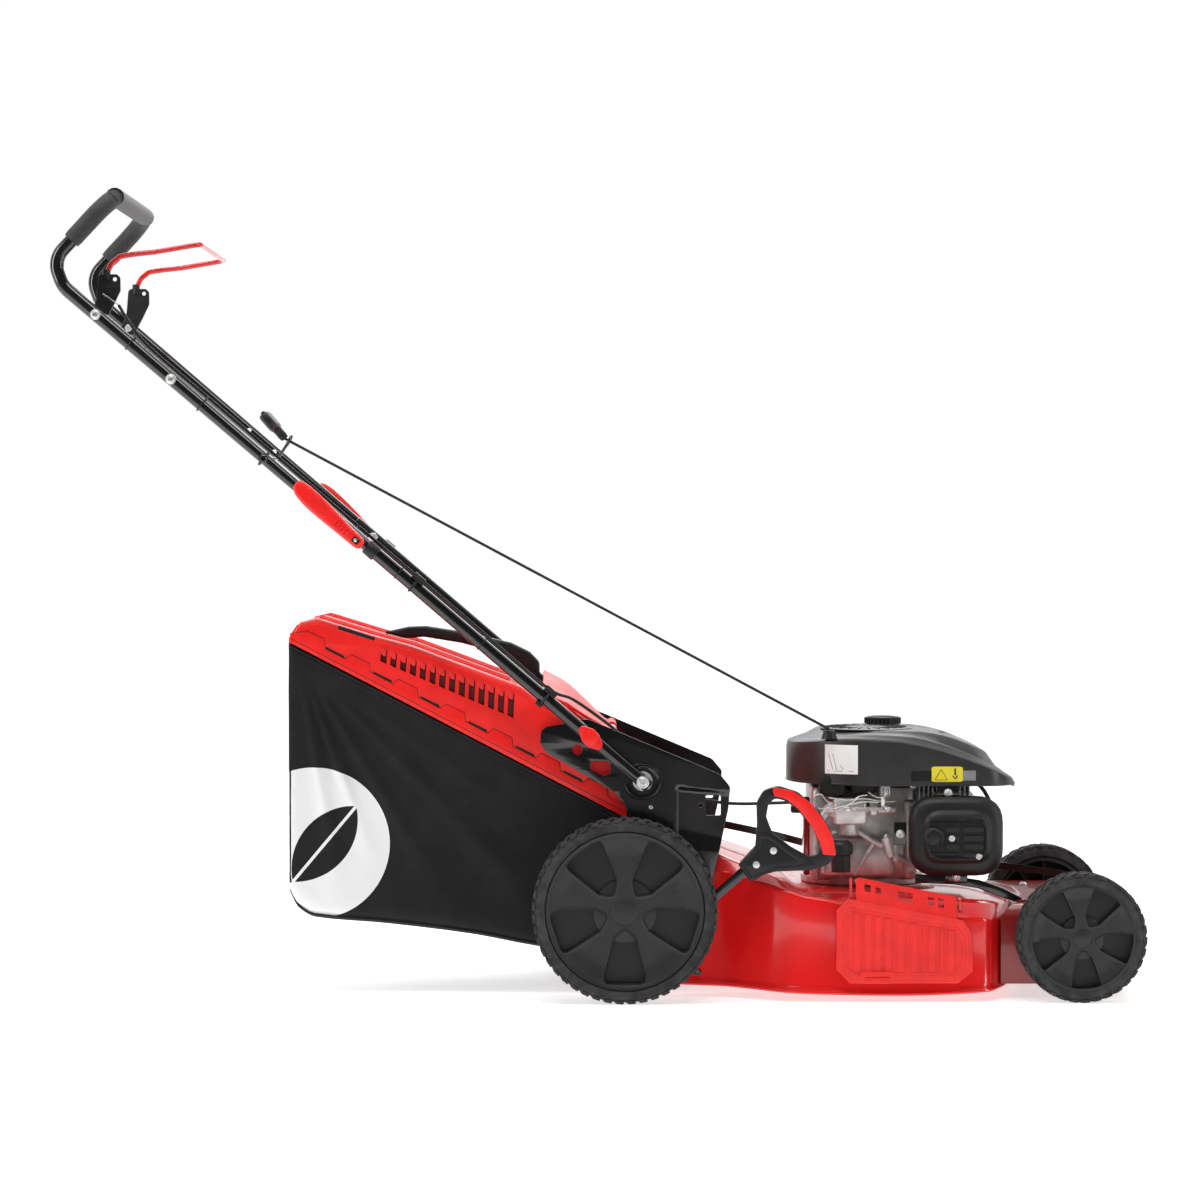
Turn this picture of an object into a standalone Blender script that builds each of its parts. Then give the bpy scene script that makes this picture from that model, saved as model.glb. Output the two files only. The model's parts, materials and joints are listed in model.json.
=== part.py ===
"""Push lawn mower with a rear catcher. Metres, +X forward, +Y to the operator's left, +Z up.

The origin is on the ground under the middle of the mower. Every mesh is modelled in place, and each moving
piece is parented to an empty on its joint's axis. Right is the operator's right, at -Y.
"""

import math

import bmesh
import bpy
from mathutils import Matrix, Vector

GAP = 0.0003  # between faces that touch

# Running gear: (x, z) of each wheel centre, and the cranked axles' pivots
REAR_WHEEL = (0.041, 0.143)
FRONT_WHEEL = (0.747, 0.100)
REAR_WHEEL_INNER_Y, REAR_WHEEL_WIDTH = 0.235, 0.050
FRONT_WHEEL_INNER_Y, FRONT_WHEEL_WIDTH = 0.225, 0.045
AXLE_RADIUS = 0.006
CRANK_ARM = 0.075
CRANK_RISE = math.radians(20)
CRANK_REACH = CRANK_ARM * math.cos(CRANK_RISE)
CRANK_DROP = CRANK_ARM * math.sin(CRANK_RISE)
REAR_PIVOT = (REAR_WHEEL[0] + CRANK_REACH, REAR_WHEEL[1] - CRANK_DROP)
FRONT_PIVOT = (FRONT_WHEEL[0] + CRANK_REACH, FRONT_WHEEL[1] - CRANK_DROP)
REAR_CRANK_Y = 0.2275
FRONT_CRANK_Y = 0.2165
LINK_ARM = 0.060
LINK_Y = 0.2078
LEVER_Y, LEVER_THICKNESS = 0.2140, 0.005
LEVER_GRIP_OUTER_Y, LEVER_GRIP_INNER_Y = -0.2465, -0.2300

# Deck
DECK_THICKNESS = 0.0025
PLATE_Y, PLATE_THICKNESS = 0.1850, 0.003
BLADE_X, BLADE_Z, BLADE_RADIUS = 0.425, 0.047, 0.220
FLAP_HINGE = (0.022, 0.408)
FLAP_ROD_RADIUS = 0.004
CHUTE_HINGE_Y = -0.232
CHUTE_HINGE_START = (0.398, 0.1855)
CHUTE_HINGE_SLOPE = -0.1927

# Handle: the pivot on the side plates, the run of the tubes, and distances along them
PIVOT = (0.0696, 0.337)
HANDLE_ANGLE = math.radians(139.4)
LOWER_Y, LOWER_RADIUS = 0.2000, 0.0100
UPPER_Y, UPPER_RADIUS = 0.2215, 0.0110
KNOB_AT, CLAMP_AT, GUIDE_AT, BAIL_AT = 0.107, 0.582, 0.773, 1.114
LOWER_END, UPPER_START = 0.622, 0.544
GOOSENECK = ((-0.8270, 1.1055), (-0.8420, 1.1470), (-0.7500, 1.2460))
GRIP_RADIUS = 0.0150
BAIL_Y = 0.1890
BAIL_RADIUS = 0.00425

# Starter rope, from the engine to the eye of the guide, in the plane y = ROPE_Y
ROPE_Y = -0.120
ROPE_EXIT = (0.3650, 0.4145)
ROPE_EYE = (-0.4900, 0.8710)
ROPE_RADIUS = 0.00225
GRIP_TILT = math.radians(130.7)

# Catcher: the seam between the lid and the bag runs straight from front to back
CATCHER_FRONT, CATCHER_REAR = 0.045, -0.4855
SEAM_FRONT_Z, SEAM_REAR_Z = 0.2775, 0.5535
BAG_HALF, LID_HALF = 0.1640, 0.1680

# Engine
CRANKCASE_FLOOR = 0.1640
SHROUD_FLOOR = 0.3275
BOSS_RADIUS = 0.034


# --- Materials ---------------------------------------------------------------------------------------


def paint(name, colour, roughness, metallic=0.0):
    material = bpy.data.materials.new(name)
    material.use_nodes = True
    shader = material.node_tree.nodes["Principled BSDF"]
    shader.inputs["Base Color"].default_value = (*colour, 1.0)
    shader.inputs["Roughness"].default_value = roughness
    shader.inputs["Metallic"].default_value = metallic
    return material


def make_materials():
    return {
        "red_paint": paint("red_paint", (0.72, 0.012, 0.012), 0.2),
        "red_plastic": paint("red_plastic", (0.78, 0.022, 0.02), 0.38),
        "black_paint": paint("black_paint", (0.012, 0.012, 0.012), 0.25),
        "black_plastic": paint("black_plastic", (0.018, 0.018, 0.019), 0.5),
        "shroud_plastic": paint("shroud_plastic", (0.02, 0.02, 0.022), 0.3),
        "rubber": paint("rubber", (0.03, 0.03, 0.03), 0.85),
        "foam": paint("foam", (0.02, 0.02, 0.02), 0.9),
        "fabric": paint("fabric", (0.016, 0.016, 0.018), 0.9),
        "aluminium": paint("aluminium", (0.6, 0.6, 0.6), 0.42, 1.0),
        "steel": paint("steel", (0.55, 0.55, 0.55), 0.3, 1.0),
        "blade_steel": paint("blade_steel", (0.1, 0.1, 0.105), 0.45, 0.8),
        "rope": paint("rope", (0.03, 0.03, 0.03), 0.8),
    }


# --- Objects, joints and modifiers -------------------------------------------------------------------


def empty(name, location):
    """An empty on a joint's axis, for the moving pieces' parent."""
    marker = bpy.data.objects.new(name, None)
    marker.empty_display_size = 0.03
    marker.location = location
    bpy.context.scene.collection.objects.link(marker)
    return marker


def add(name, shape, material=None, parent=None, sharp=35):
    """A mesh object from (vertices, faces), with its normals out and round stretches smooth."""
    mesh = bpy.data.meshes.new(name)
    mesh.from_pydata(*[list(shape[0]), [], list(shape[1])])
    tidy = bmesh.new()
    tidy.from_mesh(mesh)
    bmesh.ops.recalc_face_normals(tidy, faces=tidy.faces)
    tidy.to_mesh(mesh)
    tidy.free()
    if material:
        mesh.materials.append(material)
        mesh.shade_smooth()
        mesh.set_sharp_from_angle(angle=math.radians(sharp))
    piece = bpy.data.objects.new(name, mesh)
    bpy.context.scene.collection.objects.link(piece)
    if parent:
        piece.parent = parent
        piece.matrix_parent_inverse = Matrix.Translation(-parent.location)
    return piece


def boolean(piece, operation, *shapes):
    """Cuts shapes from the piece, or joins them to it, each with a hidden helper."""
    for number, shape in enumerate(shapes):
        helper = add(f"{piece.name}_{operation.lower()}_{len(piece.modifiers)}_{number}", shape)
        helper.hide_render = True
        helper.display_type = "WIRE"
        modifier = piece.modifiers.new(operation.lower(), "BOOLEAN")
        modifier.operation = operation
        modifier.object = helper
    return piece


def cut(piece, *shapes):
    return boolean(piece, "DIFFERENCE", *shapes)


def join(piece, *shapes):
    return boolean(piece, "UNION", *shapes)


def thicken(piece, thickness):
    shell = piece.modifiers.new("thickness", "SOLIDIFY")
    shell.thickness = thickness
    shell.offset = -1.0
    shell.use_even_offset = True
    shell.use_quality_normals = True
    return piece


# --- Shapes: each returns (vertices, faces) ----------------------------------------------------------


def box(low, high):
    (x0, y0, z0), (x1, y1, z1) = low, high
    return prism([(x0, z0), (x1, z0), (x1, z1), (x0, z1)], y0, y1)


def block(low, high, chamfer):
    """A box with its upright corners and its top edges cut back."""
    (x0, y0, z0), (x1, y1, z1) = low, high

    def ring(inset, z):
        corner = chamfer
        ax, bx, ay, by = x0 + inset, x1 - inset, y0 + inset, y1 - inset
        return [(ax + corner, ay, z), (bx - corner, ay, z), (bx, ay + corner, z), (bx, by - corner, z),
                (bx - corner, by, z), (ax + corner, by, z), (ax, by - corner, z), (ax, ay + corner, z)]

    return loft([ring(0, z0), ring(0, z1 - chamfer), ring(chamfer, z1)])


def prism(outline, y0, y1):
    """An outline of (x, z) points, pulled out along Y."""
    count = len(outline)
    vertices = [(x, y, z) for y in (y0, y1) for x, z in outline]
    faces = [tuple(range(count)), tuple(range(count, 2 * count))]
    faces += [(i, (i + 1) % count, (i + 1) % count + count, i + count) for i in range(count)]
    return vertices, faces


def loft(sections, closed=True, start_cap=True, end_cap=True):
    """A skin over sections of equal point counts; closed joins each section's last point to its first."""
    count = len(sections[0])
    vertices = [point for section in sections for point in section]
    faces = []
    for row in range(len(sections) - 1):
        for i in range(count if closed else count - 1):
            a, b = row * count + i, row * count + (i + 1) % count
            faces.append((a, b, b + count, a + count))
    if start_cap:
        faces.append(tuple(range(count)))
    if end_cap:
        faces.append(tuple(range(len(vertices) - count, len(vertices))))
    return vertices, faces


def both_sides(x, points):
    """The section at x, from the right wall over the middle to the left one."""
    return [(x, -y, z) for y, z in points] + [(x, y, z) for y, z in reversed(points)]


def turned(profile, centre, axis="Y", steps=24, phase=0.0):
    """A closed profile of (radius, position along the axis), turned about an axis through the centre.

    The phase turns it by a share of one step.
    """
    turn = {"X": Matrix.Rotation(math.pi / 2, 3, "Y"), "Y": Matrix.Rotation(-math.pi / 2, 3, "X")}
    turn["Z"] = Matrix.Identity(3)
    origin = Vector(centre)
    vertices, faces, rings = [], [], []
    for radius, along in profile:
        if radius == 0:
            rings.append([len(vertices)] * steps)
            vertices.append(origin + turn[axis] @ Vector((0, 0, along)))
            continue
        rings.append(list(range(len(vertices), len(vertices) + steps)))
        for step in range(steps):
            angle = 2 * math.pi * (step + phase) / steps
            spoke = Vector((radius * math.cos(angle), radius * math.sin(angle), along))
            vertices.append(origin + turn[axis] @ spoke)
    for ring, following in zip(rings, rings[1:] + rings[:1]):
        for step in range(steps):
            ahead = (step + 1) % steps
            corners = [ring[step], ring[ahead], following[ahead], following[step]]
            face = tuple(dict.fromkeys(corners))
            if len(face) > 2:
                faces.append(face)
    return vertices, faces


def rod(start, end, radius, sides=12):
    """A straight round bar between two points."""
    return swept([start, end], radius, sides)


def rounded(points, radius, steps=4):
    """The route through the points, with each inner corner turned into an arc."""
    route = [Vector(points[0])]
    for before, corner, after in zip(points, points[1:], points[2:]):
        before, corner, after = Vector(before), Vector(corner), Vector(after)
        back, ahead = (before - corner).normalized(), (after - corner).normalized()
        half = back.angle(ahead) / 2
        run = min(radius / math.tan(half), 0.49 * (before - corner).length, 0.49 * (after - corner).length)
        middle = corner + (back + ahead).normalized() * (run / math.cos(half))
        first, last = corner + back * run - middle, corner + ahead * run - middle
        route += [middle + arc_point(first, last, step / steps) for step in range(steps + 1)]
    return route + [Vector(points[-1])]


def arc_point(first, last, share):
    """The point a share of the way round the arc between two spokes of equal length."""
    angle = first.angle(last)
    return (first * math.sin((1 - share) * angle) + last * math.sin(share * angle)) / math.sin(angle)


def swept(route, radius, sides=12, bore=None, flat=1.0):
    """A round bar along a route, or with a bore a sleeve. A flat under 1 squeezes it sideways."""
    route = [Vector(point) for point in route]
    tangents = [(b - a).normalized() for a, b in zip(route, route[1:])]
    tangents = [tangents[0]] + [(a + b).normalized() for a, b in zip(tangents, tangents[1:])] + [tangents[-1]]
    side = tangents[0].orthogonal().normalized()
    if abs(tangents[0].y) < 0.9:
        side = Vector((0, 1, 0))
    rings = {radius: [], bore: []}
    for point, tangent in zip(route, tangents):
        side = (side - tangent * side.dot(tangent)).normalized()
        up = tangent.cross(side)
        for size in rings:
            if size is None:
                continue
            rings[size].append([
                point + side * (size * flat * math.cos(2 * math.pi * (k + 0.5) / sides))
                + up * (size * math.sin(2 * math.pi * (k + 0.5) / sides))
                for k in range(sides)
            ])
    if bore is None:
        return loft(rings[radius])
    outside, inside = rings[radius], rings[bore]
    loop = outside + inside[::-1]
    vertices, faces = loft(loop, start_cap=False, end_cap=False)
    last = len(loop) - 1
    faces += [(i, (i + 1) % sides, last * sides + (i + 1) % sides, last * sides + i) for i in range(sides)]
    return vertices, faces


def arc(centre, radius, start, end, steps):
    """Points (u, v) round a circle, angles in degrees."""
    return [
        (centre[0] + radius * math.cos(math.radians(start + (end - start) * i / steps)),
         centre[1] + radius * math.sin(math.radians(start + (end - start) * i / steps)))
        for i in range(steps + 1)
    ]


def smooth(points, count):
    """Evenly spaced points along a curve that passes smoothly through the given points."""
    points = [Vector(point) for point in points]
    padded = [2 * points[0] - points[1]] + points + [2 * points[-1] - points[-2]]
    fine = []
    for a, b, c, d in zip(padded, padded[1:], padded[2:], padded[3:]):
        for i in range(16):
            t = i / 16
            fine.append(0.5 * (2 * b + (c - a) * t + (2 * a - 5 * b + 4 * c - d) * t ** 2
                               + (3 * b - a - 3 * c + d) * t ** 3))
    fine.append(points[-1])
    lengths = [0.0]
    for a, b in zip(fine, fine[1:]):
        lengths.append(lengths[-1] + (b - a).length)
    result, index = [], 0
    for i in range(count):
        want = lengths[-1] * i / (count - 1)
        while index < len(lengths) - 2 and lengths[index + 1] < want:
            index += 1
        share = (want - lengths[index]) / (lengths[index + 1] - lengths[index])
        result.append(fine[index].lerp(fine[index + 1], min(1.0, share)))
    return result


def cord(name, points, radius, material, parent=None):
    """A cord as a curve with a round bevel and closed ends."""
    curve = bpy.data.curves.new(name, "CURVE")
    curve.dimensions = "3D"
    curve.bevel_depth = radius
    curve.bevel_resolution = 2
    curve.use_fill_caps = True
    spline = curve.splines.new("POLY")
    spline.points.add(len(points) - 1)
    for target, point in zip(spline.points, points):
        target.co = (*point, 1.0)
    curve.materials.append(material)
    piece = bpy.data.objects.new(name, curve)
    bpy.context.scene.collection.objects.link(piece)
    if parent:
        piece.parent = parent
        piece.matrix_parent_inverse = Matrix.Translation(-parent.location)
    return piece


def along(distance, y, rise=0.0):
    """A point on the handle's run: a distance up from the pivot, and a rise square to the tubes."""
    cos, sin = math.cos(HANDLE_ANGLE), math.sin(HANDLE_ANGLE)
    return Vector((PIVOT[0] + distance * cos + rise * sin, y, PIVOT[1] + distance * sin - rise * cos))


def on_ramp(x, stops):
    """The value at x on straight runs between (x, value) stops."""
    for (x0, v0), (x1, v1) in zip(stops, stops[1:]):
        if x <= x1 or (x1, v1) == stops[-1]:
            return v0 + (v1 - v0) * (x - x0) / (x1 - x0)


# --- Deck --------------------------------------------------------------------------------------------

# x, half-width of the wall, top of the wall, half-width of the top, height of the top
DECK_STATIONS = (
    (0.065, 0.1830, 0.200, 0.162, 0.375),
    (0.120, 0.1830, 0.200, 0.162, 0.300),
    (0.190, 0.1830, 0.196, 0.165, 0.224),
    (0.240, 0.2060, 0.184, 0.180, 0.204),
    (0.290, 0.2380, 0.172, 0.206, 0.184),
    (0.322, 0.2435, 0.167, 0.213, 0.1630),
    (0.400, 0.2450, 0.146, 0.215, 0.1625),
    (0.575, 0.2450, 0.128, 0.215, 0.154),
    (0.605, 0.2380, 0.126, 0.205, 0.151),
    (0.622, 0.2080, 0.124, 0.180, 0.148),
    (0.640, 0.1600, 0.122, 0.135, 0.145),
    (0.653, 0.0950, 0.121, 0.075, 0.143),
    (0.659, 0.0300, 0.120, 0.015, 0.142),
)
LIP_STOPS = ((0.065, 0.024), (0.47, 0.012), (0.62, 0.018), (0.66, 0.020))


def deck_section(x, wall, wall_top, top, height):
    lip = on_ramp(x, LIP_STOPS)
    half = [
        (wall + 0.006, lip),
        (wall + 0.001, lip + 0.010),
        (wall, 0.7 * wall_top),
        (wall, wall_top),
        (top + 0.006, height - 0.003),
        (top - 0.006, height),
    ]
    return both_sides(x, half)


def make_deck_shell(material):
    sections = [deck_section(*station) for station in DECK_STATIONS]
    vertices, faces = loft(sections, closed=False, start_cap=False)
    faces += [(0, 1, 10, 11), (1, 2, 9, 10)]
    shell = add("deck_shell", (vertices, faces), material)
    thicken(shell, DECK_THICKNESS)
    x, z = REAR_PIVOT
    for side in (-1, 1):
        cut(shell, rod((x, side * 0.17, z), (x, side * 0.2, z), AXLE_RADIUS + 0.0015))
    cut(shell, turned([(0, 0.13), (BOSS_RADIUS + 0.004, 0.13), (BOSS_RADIUS + 0.004, 0.20), (0, 0.20)],
                      (BLADE_X, 0, 0), "Z"))
    cut(shell, box((0.410, -0.27, 0.050), (0.545, -0.22, 0.115)))
    for x in (0.3915, 0.5605):
        z = CHUTE_HINGE_START[1] + CHUTE_HINGE_SLOPE * (x - CHUTE_HINGE_START[0])
        join(shell, loft([[(x + dx, -0.238, 0.140), (x + dx, -0.224, 0.145), (x + dx, -0.226, z + 0.004),
                           (x + dx, -0.238, z + 0.004)] for dx in (-0.002, 0.002)]))
    return shell


def make_front_apron(material):
    """A pressed cover from the deck's front wall to the nose, over the front axle."""
    outline = [(0.627, -0.2045), (0.800, -0.2045), (0.836, -0.165), (0.836, 0.165), (0.800, 0.2045),
               (0.627, 0.2045), (0.6655, 0.100), (0.6655, -0.100)]
    inner = [(0.641, -0.190), (0.794, -0.190), (0.822, -0.159), (0.822, 0.159), (0.794, 0.190),
             (0.641, 0.190), (0.679, 0.094), (0.679, -0.094)]
    rings = [[(x, y, 0.022) for x, y in outline], [(x, y, 0.128) for x, y in outline],
             [(x, y, 0.1445) for x, y in inner]]
    apron = thicken(add("front_apron", loft(rings, start_cap=False), material), DECK_THICKNESS)
    x, z = FRONT_PIVOT
    for side in (-1, 1):
        cut(apron, rod((x, side * 0.16, z), (x, side * 0.22, z), AXLE_RADIUS + 0.0015))
    return apron


def make_side_plate(name, side, material):
    """One of the two tall plates that carry the handle, with its lightening holes and its bolt's recess."""
    outline = [(-0.0905, 0.397), (-0.089, 0.4155), (-0.0800, 0.4225), (-0.0547, 0.4267), (-0.0300, 0.4340),
               (-0.0126, 0.4330), (0.1900, 0.3480), (0.2020, 0.3400), (0.2064, 0.3285), (0.2035, 0.2926),
               (0.1901, 0.2300), (0.1776, 0.1800), (0.1720, 0.1700), (0.0620, 0.1700), (0.0513, 0.2802),
               (0.0404, 0.3020), (0.0264, 0.3191), (-0.0827, 0.3830)]
    inner, outer = PLATE_Y - PLATE_THICKNESS / 2, PLATE_Y + PLATE_THICKNESS / 2
    low, high = sorted((side * inner, side * outer))
    plate = add(name, prism(outline, low, high), material)
    through = (low - 0.01, high + 0.01)
    window = [(-0.0095, 0.3706), (0.0150, 0.3610), (0.0233, 0.3530), (0.0180, 0.3380), (-0.0080, 0.3500),
              (-0.0140, 0.3600)]
    notch = [(0.1682, 0.2833), (0.1916, 0.2833), (0.1916, 0.3145), (0.1682, 0.3145)]
    cut(plate, prism(window, *through), prism(notch, *through))
    cut(plate, prism(arc((-0.0321, 0.3862), 0.008, 0, 315, 7), *through))
    cut(plate, prism(arc(PIVOT, 0.0045, 0, 330, 11), *through))
    return plate


def make_flap_rod(material):
    reach = PLATE_Y - PLATE_THICKNESS / 2 - GAP
    x, z = FLAP_HINGE
    add("flap_rod", rod((x, -reach, z), (x, reach, z), FLAP_ROD_RADIUS), material)


def make_rear_flap(material):
    """The arched cover over the catcher's mouth, with a sleeve round its rod."""
    x, z = FLAP_HINGE
    pivot = empty("rear_flap_hinge", (x, 0, z))
    half, reach = 0.170, 5
    profile = ((-0.0866, 0.503, 0.468), (-0.0528, 0.485, 0.454), (-0.0223, 0.458, 0.434),
               (0.0035, 0.4320, 0.420), (x - 0.003, z + 0.0075, z + 0.0060))
    sections = []
    for station, crown, edge in profile:
        arch = [(half * i / reach, edge + (crown - edge) * math.cos(math.pi * i / reach / 2)) for i in
                range(-reach, reach + 1)]
        sections.append([(station, y, height) for y, height in arch]
                        + [(station - 0.001, y, height - 0.0030) for y, height in reversed(arch)])
    flap = add("rear_flap", loft(sections), material, pivot)
    sleeve = swept([(x, -half, z), (x, half, z)], 0.0080, 12, FLAP_ROD_RADIUS + 0.0008)
    return join(flap, sleeve)


def chute_hinge_point(x):
    return (x, CHUTE_HINGE_Y, CHUTE_HINGE_START[1] + CHUTE_HINGE_SLOPE * (x - CHUTE_HINGE_START[0]))


def make_chute_flap(material):
    """The ribbed cover of the side discharge, which swings out and up about a sloping axis."""
    pivot = empty("chute_flap_hinge", chute_hinge_point(CHUTE_HINGE_START[0]))
    outline = [(0.3680, 0.050), (0.3880, 0.0290), (0.5560, 0.0290), (0.5790, 0.0480), (0.5790, 0.1030),
               (0.5640, 0.1260), (0.3860, 0.1600), (0.3680, 0.1420)]
    flap = add("chute_flap", prism(outline, -0.2590, -0.2520), material, pivot)
    strip = [[(x, -0.2585, z - 0.034), (x, -0.2525, z - 0.034), (x, CHUTE_HINGE_Y - 0.002, z - 0.004),
              (x, CHUTE_HINGE_Y - 0.004, z + 0.002)] for x, _, z in map(chute_hinge_point, (0.398, 0.554))]
    join(flap, loft(strip))
    join(flap, rod(chute_hinge_point(0.397), chute_hinge_point(0.555), 0.0050, 10))
    return flap


def make_front_strap(material):
    """The flat bracket that runs from the muffler's foot down to the apron."""
    top = [(0.505, 0.1860), (0.560, 0.1850), (0.600, 0.1790), (0.635, 0.1665), (0.668, 0.1500)]
    bottom = [(x - 0.002, z - 0.013) for x, z in top[:-1]] + [(0.668, 0.1450)]
    add("front_strap", prism(top + [(0.655, 0.1450)] + bottom[-2::-1], -0.1530, -0.1500), material)


# --- Engine and blade --------------------------------------------------------------------------------


def make_crankcase(material):
    x = BLADE_X
    case = add("crankcase", block((0.335, -0.088, 0.172), (0.506, 0.088, 0.322), 0.010), material)
    join(case, turned([(0.0135, 0.138), (BOSS_RADIUS, 0.138), (BOSS_RADIUS, CRANKCASE_FLOOR),
                       (0.098, CRANKCASE_FLOOR), (0.098, 0.1765), (0.0135, 0.1765)], (x, 0, 0), "Z", 20))
    join(case, box((0.352, -0.112, 0.1800), (0.470, -0.080, 0.240)))
    cut(case, turned([(0, 0.15), (0.0134, 0.15), (0.0134, 0.20), (0, 0.20)], (x, 0, 0), "Z", 20))
    return case


def make_cylinder_head(material):
    """The cylinder and head, pointing forward, with upright cooling fins as one comb outline."""
    outline = [(0.5065, 0.205)]
    for number in range(6):
        x = 0.5120 + number * 0.0135
        outline += [(x, 0.205), (x, 0.196), (x + 0.0055, 0.196), (x + 0.0055, 0.205)]
    outline += [(0.600, 0.205), (0.600, 0.312)]
    for number in range(5, -1, -1):
        x = 0.5120 + number * 0.0135
        outline += [(x + 0.0055, 0.312), (x + 0.0055, 0.321), (x, 0.321), (x, 0.312)]
    outline += [(0.5065, 0.312)]
    add("cylinder_head", prism(outline, -0.066, 0.066), material)


def shroud_outline(inset=0.0, steps=10):
    """The cowl in plan: a half circle behind and rounded corners in front."""
    radius, corner = 0.156 - inset, 0.060 - 0.6 * inset
    centre, front = 0.458, 0.662 - inset
    width = radius - 0.004
    points = arc((centre, 0), radius, 270, 90, steps)
    points += arc((front - corner, width - corner), corner, 90, 0, 3)
    points += arc((front - corner, corner - width), corner, 0, -90, 3)
    return points


def make_engine_shroud(material):
    def at_height(points, rear, front):
        return [(x, y, rear + (front - rear) * min(1.0, max(0.0, (x - 0.50) / 0.162))) for x, y in points]

    rings = [
        at_height(shroud_outline(), SHROUD_FLOOR, SHROUD_FLOOR),
        at_height(shroud_outline(), 0.378, 0.346),
        at_height(shroud_outline(0.010), 0.388, 0.357),
        at_height(shroud_outline(0.036), 0.408, 0.390),
        at_height(shroud_outline(0.060), 0.412, 0.399),
    ]
    shroud = thicken(add("engine_shroud", loft(rings, start_cap=False), material, sharp=28), 0.003)
    cut(shroud, rod((ROPE_EXIT[0] - 0.010, ROPE_Y, 0.36), (ROPE_EXIT[0] - 0.010, ROPE_Y, 0.44), 0.0060, 8))
    return shroud


def make_fuel_cap(material):
    x, y, z = 0.4635, 0.060, 0.4130
    pivot = empty("fuel_cap_axis", (x, y, z))
    cap = [(0, 0), (0.028, 0), (0.030, 0.002), (0.030, 0.010), (0.027, 0.0125), (0, 0.0125)]
    add("fuel_cap", turned(cap, (x, y, z), "Z", 24), material, pivot)


def make_muffler(steel):
    can = add("muffler", block((0.505, -0.176, 0.203), (0.618, -0.128, 0.294), 0.010), steel)
    join(can, rod((0.545, -0.130, 0.250), (0.545, -0.0675, 0.250), 0.012, 10))


def rounded_box(x0, x1, z0, z1, corner, y, steps=3):
    points = []
    for centre, start in (((x1 - corner, z0 + corner), 270), ((x1 - corner, z1 - corner), 0),
                          ((x0 + corner, z1 - corner), 90), ((x0 + corner, z0 + corner), 180)):
        points += arc(centre, corner, start, start + 90, steps)
    return [(x, y, z) for x, z in points]


def make_muffler_guard(material):
    """A dished cover over the muffler, open on the engine's side."""
    rings = [
        rounded_box(0.4885, 0.6350, 0.1870, 0.3110, 0.030, -0.142),
        rounded_box(0.4885, 0.6350, 0.1870, 0.3110, 0.030, -0.168),
        rounded_box(0.4955, 0.6280, 0.1940, 0.3040, 0.026, -0.183),
        rounded_box(0.5060, 0.6180, 0.2040, 0.2940, 0.018, -0.188),
    ]
    thicken(add("muffler_guard", loft(rings, start_cap=False), material), 0.002)


def make_carburettor(material):
    body = add("carburettor", block((0.372, -0.132, 0.262), (0.424, -0.0885, 0.306), 0.004), material)
    join(body, rod((0.398, -0.110, 0.265), (0.398, -0.110, 0.2460), 0.016, 12))
    join(body, rod((0.360, -0.114, 0.286), (0.470, -0.114, 0.286), 0.0070, 10))


def make_air_filter_cover(material):
    add("air_filter_cover", block((0.345, 0.0885, 0.235), (0.465, 0.140, 0.318), 0.010), material)


def make_oil_filler_cap(material):
    cap = [(0, 0.190), (0.015, 0.190), (0.015, 0.218), (0.019, 0.221), (0.019, 0.236), (0.015, 0.240), (0, 0.240)]
    add("oil_filler_cap", turned(cap, (0.383, -0.1325, 0), "Z", 16), material)


def make_spark_plug(material):
    boot = [(0, 0.6003), (0.010, 0.6003), (0.010, 0.618), (0.013, 0.622), (0.013, 0.640), (0, 0.640)]
    add("spark_plug", turned(boot, (0, 0.020, 0.258), "X", 12), material)


def make_blade_set(steel, blade_steel):
    """The crankshaft with its blade adapter, the blade and the bolt that holds it."""
    pivot = empty("crankshaft_axis", (BLADE_X, 0, BLADE_Z))
    top = BLADE_Z + 0.0020
    shaft = [(0, top + GAP), (0.030, top + GAP), (0.030, top + 0.010), (0.0200, top + 0.014),
             (0.0200, top + 0.026), (0.0125, top + 0.028), (0.0125, 0.195), (0, 0.195)]
    add("crankshaft", turned(shaft, (BLADE_X, 0, 0), "Z", 16), steel, pivot)
    bolt = [(0, BLADE_Z - 0.012), (0.009, BLADE_Z - 0.012), (0.009, BLADE_Z - 0.006), (0.016, BLADE_Z - 0.005),
            (0.016, BLADE_Z - 0.0020 - GAP), (0, BLADE_Z - 0.0020 - GAP)]
    add("blade_bolt", turned(bolt, (BLADE_X, 0, 0), "Z", 12), steel, pivot)
    add("blade", blade_shape(), blade_steel, pivot)


def blade_shape():
    """A flat bar with lifted trailing wings at both ends."""
    sections = []
    reach = BLADE_RADIUS
    for share in (-1.0, -0.98, -0.72, -0.55, 0.55, 0.72, 0.98, 1.0):
        x = BLADE_X + reach * share
        lift = 0.022 * min(1.0, max(0.0, (abs(share) - 0.6) / 0.25))
        front, back = (-0.025, 0.025) if share < 0 else (0.025, -0.025)
        if abs(share) == 1.0:
            front *= 0.6
        section = [(x, front, BLADE_Z - 0.002), (x, back * 0.45, BLADE_Z - 0.002),
                   (x, back, BLADE_Z - 0.002 + lift), (x, back, BLADE_Z + 0.002 + lift),
                   (x, back * 0.45, BLADE_Z + 0.002), (x, front, BLADE_Z + 0.002)]
        sections.append(section if share < 0 else mirror_order(section))
    return loft(sections)


def mirror_order(section):
    """The same ring for the other wing, started so that its points face those of the first."""
    a, b, c, d, e, f = section
    return [c, b, a, f, e, d]


# --- Wheels, axles and height adjustment -------------------------------------------------------------


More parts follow.
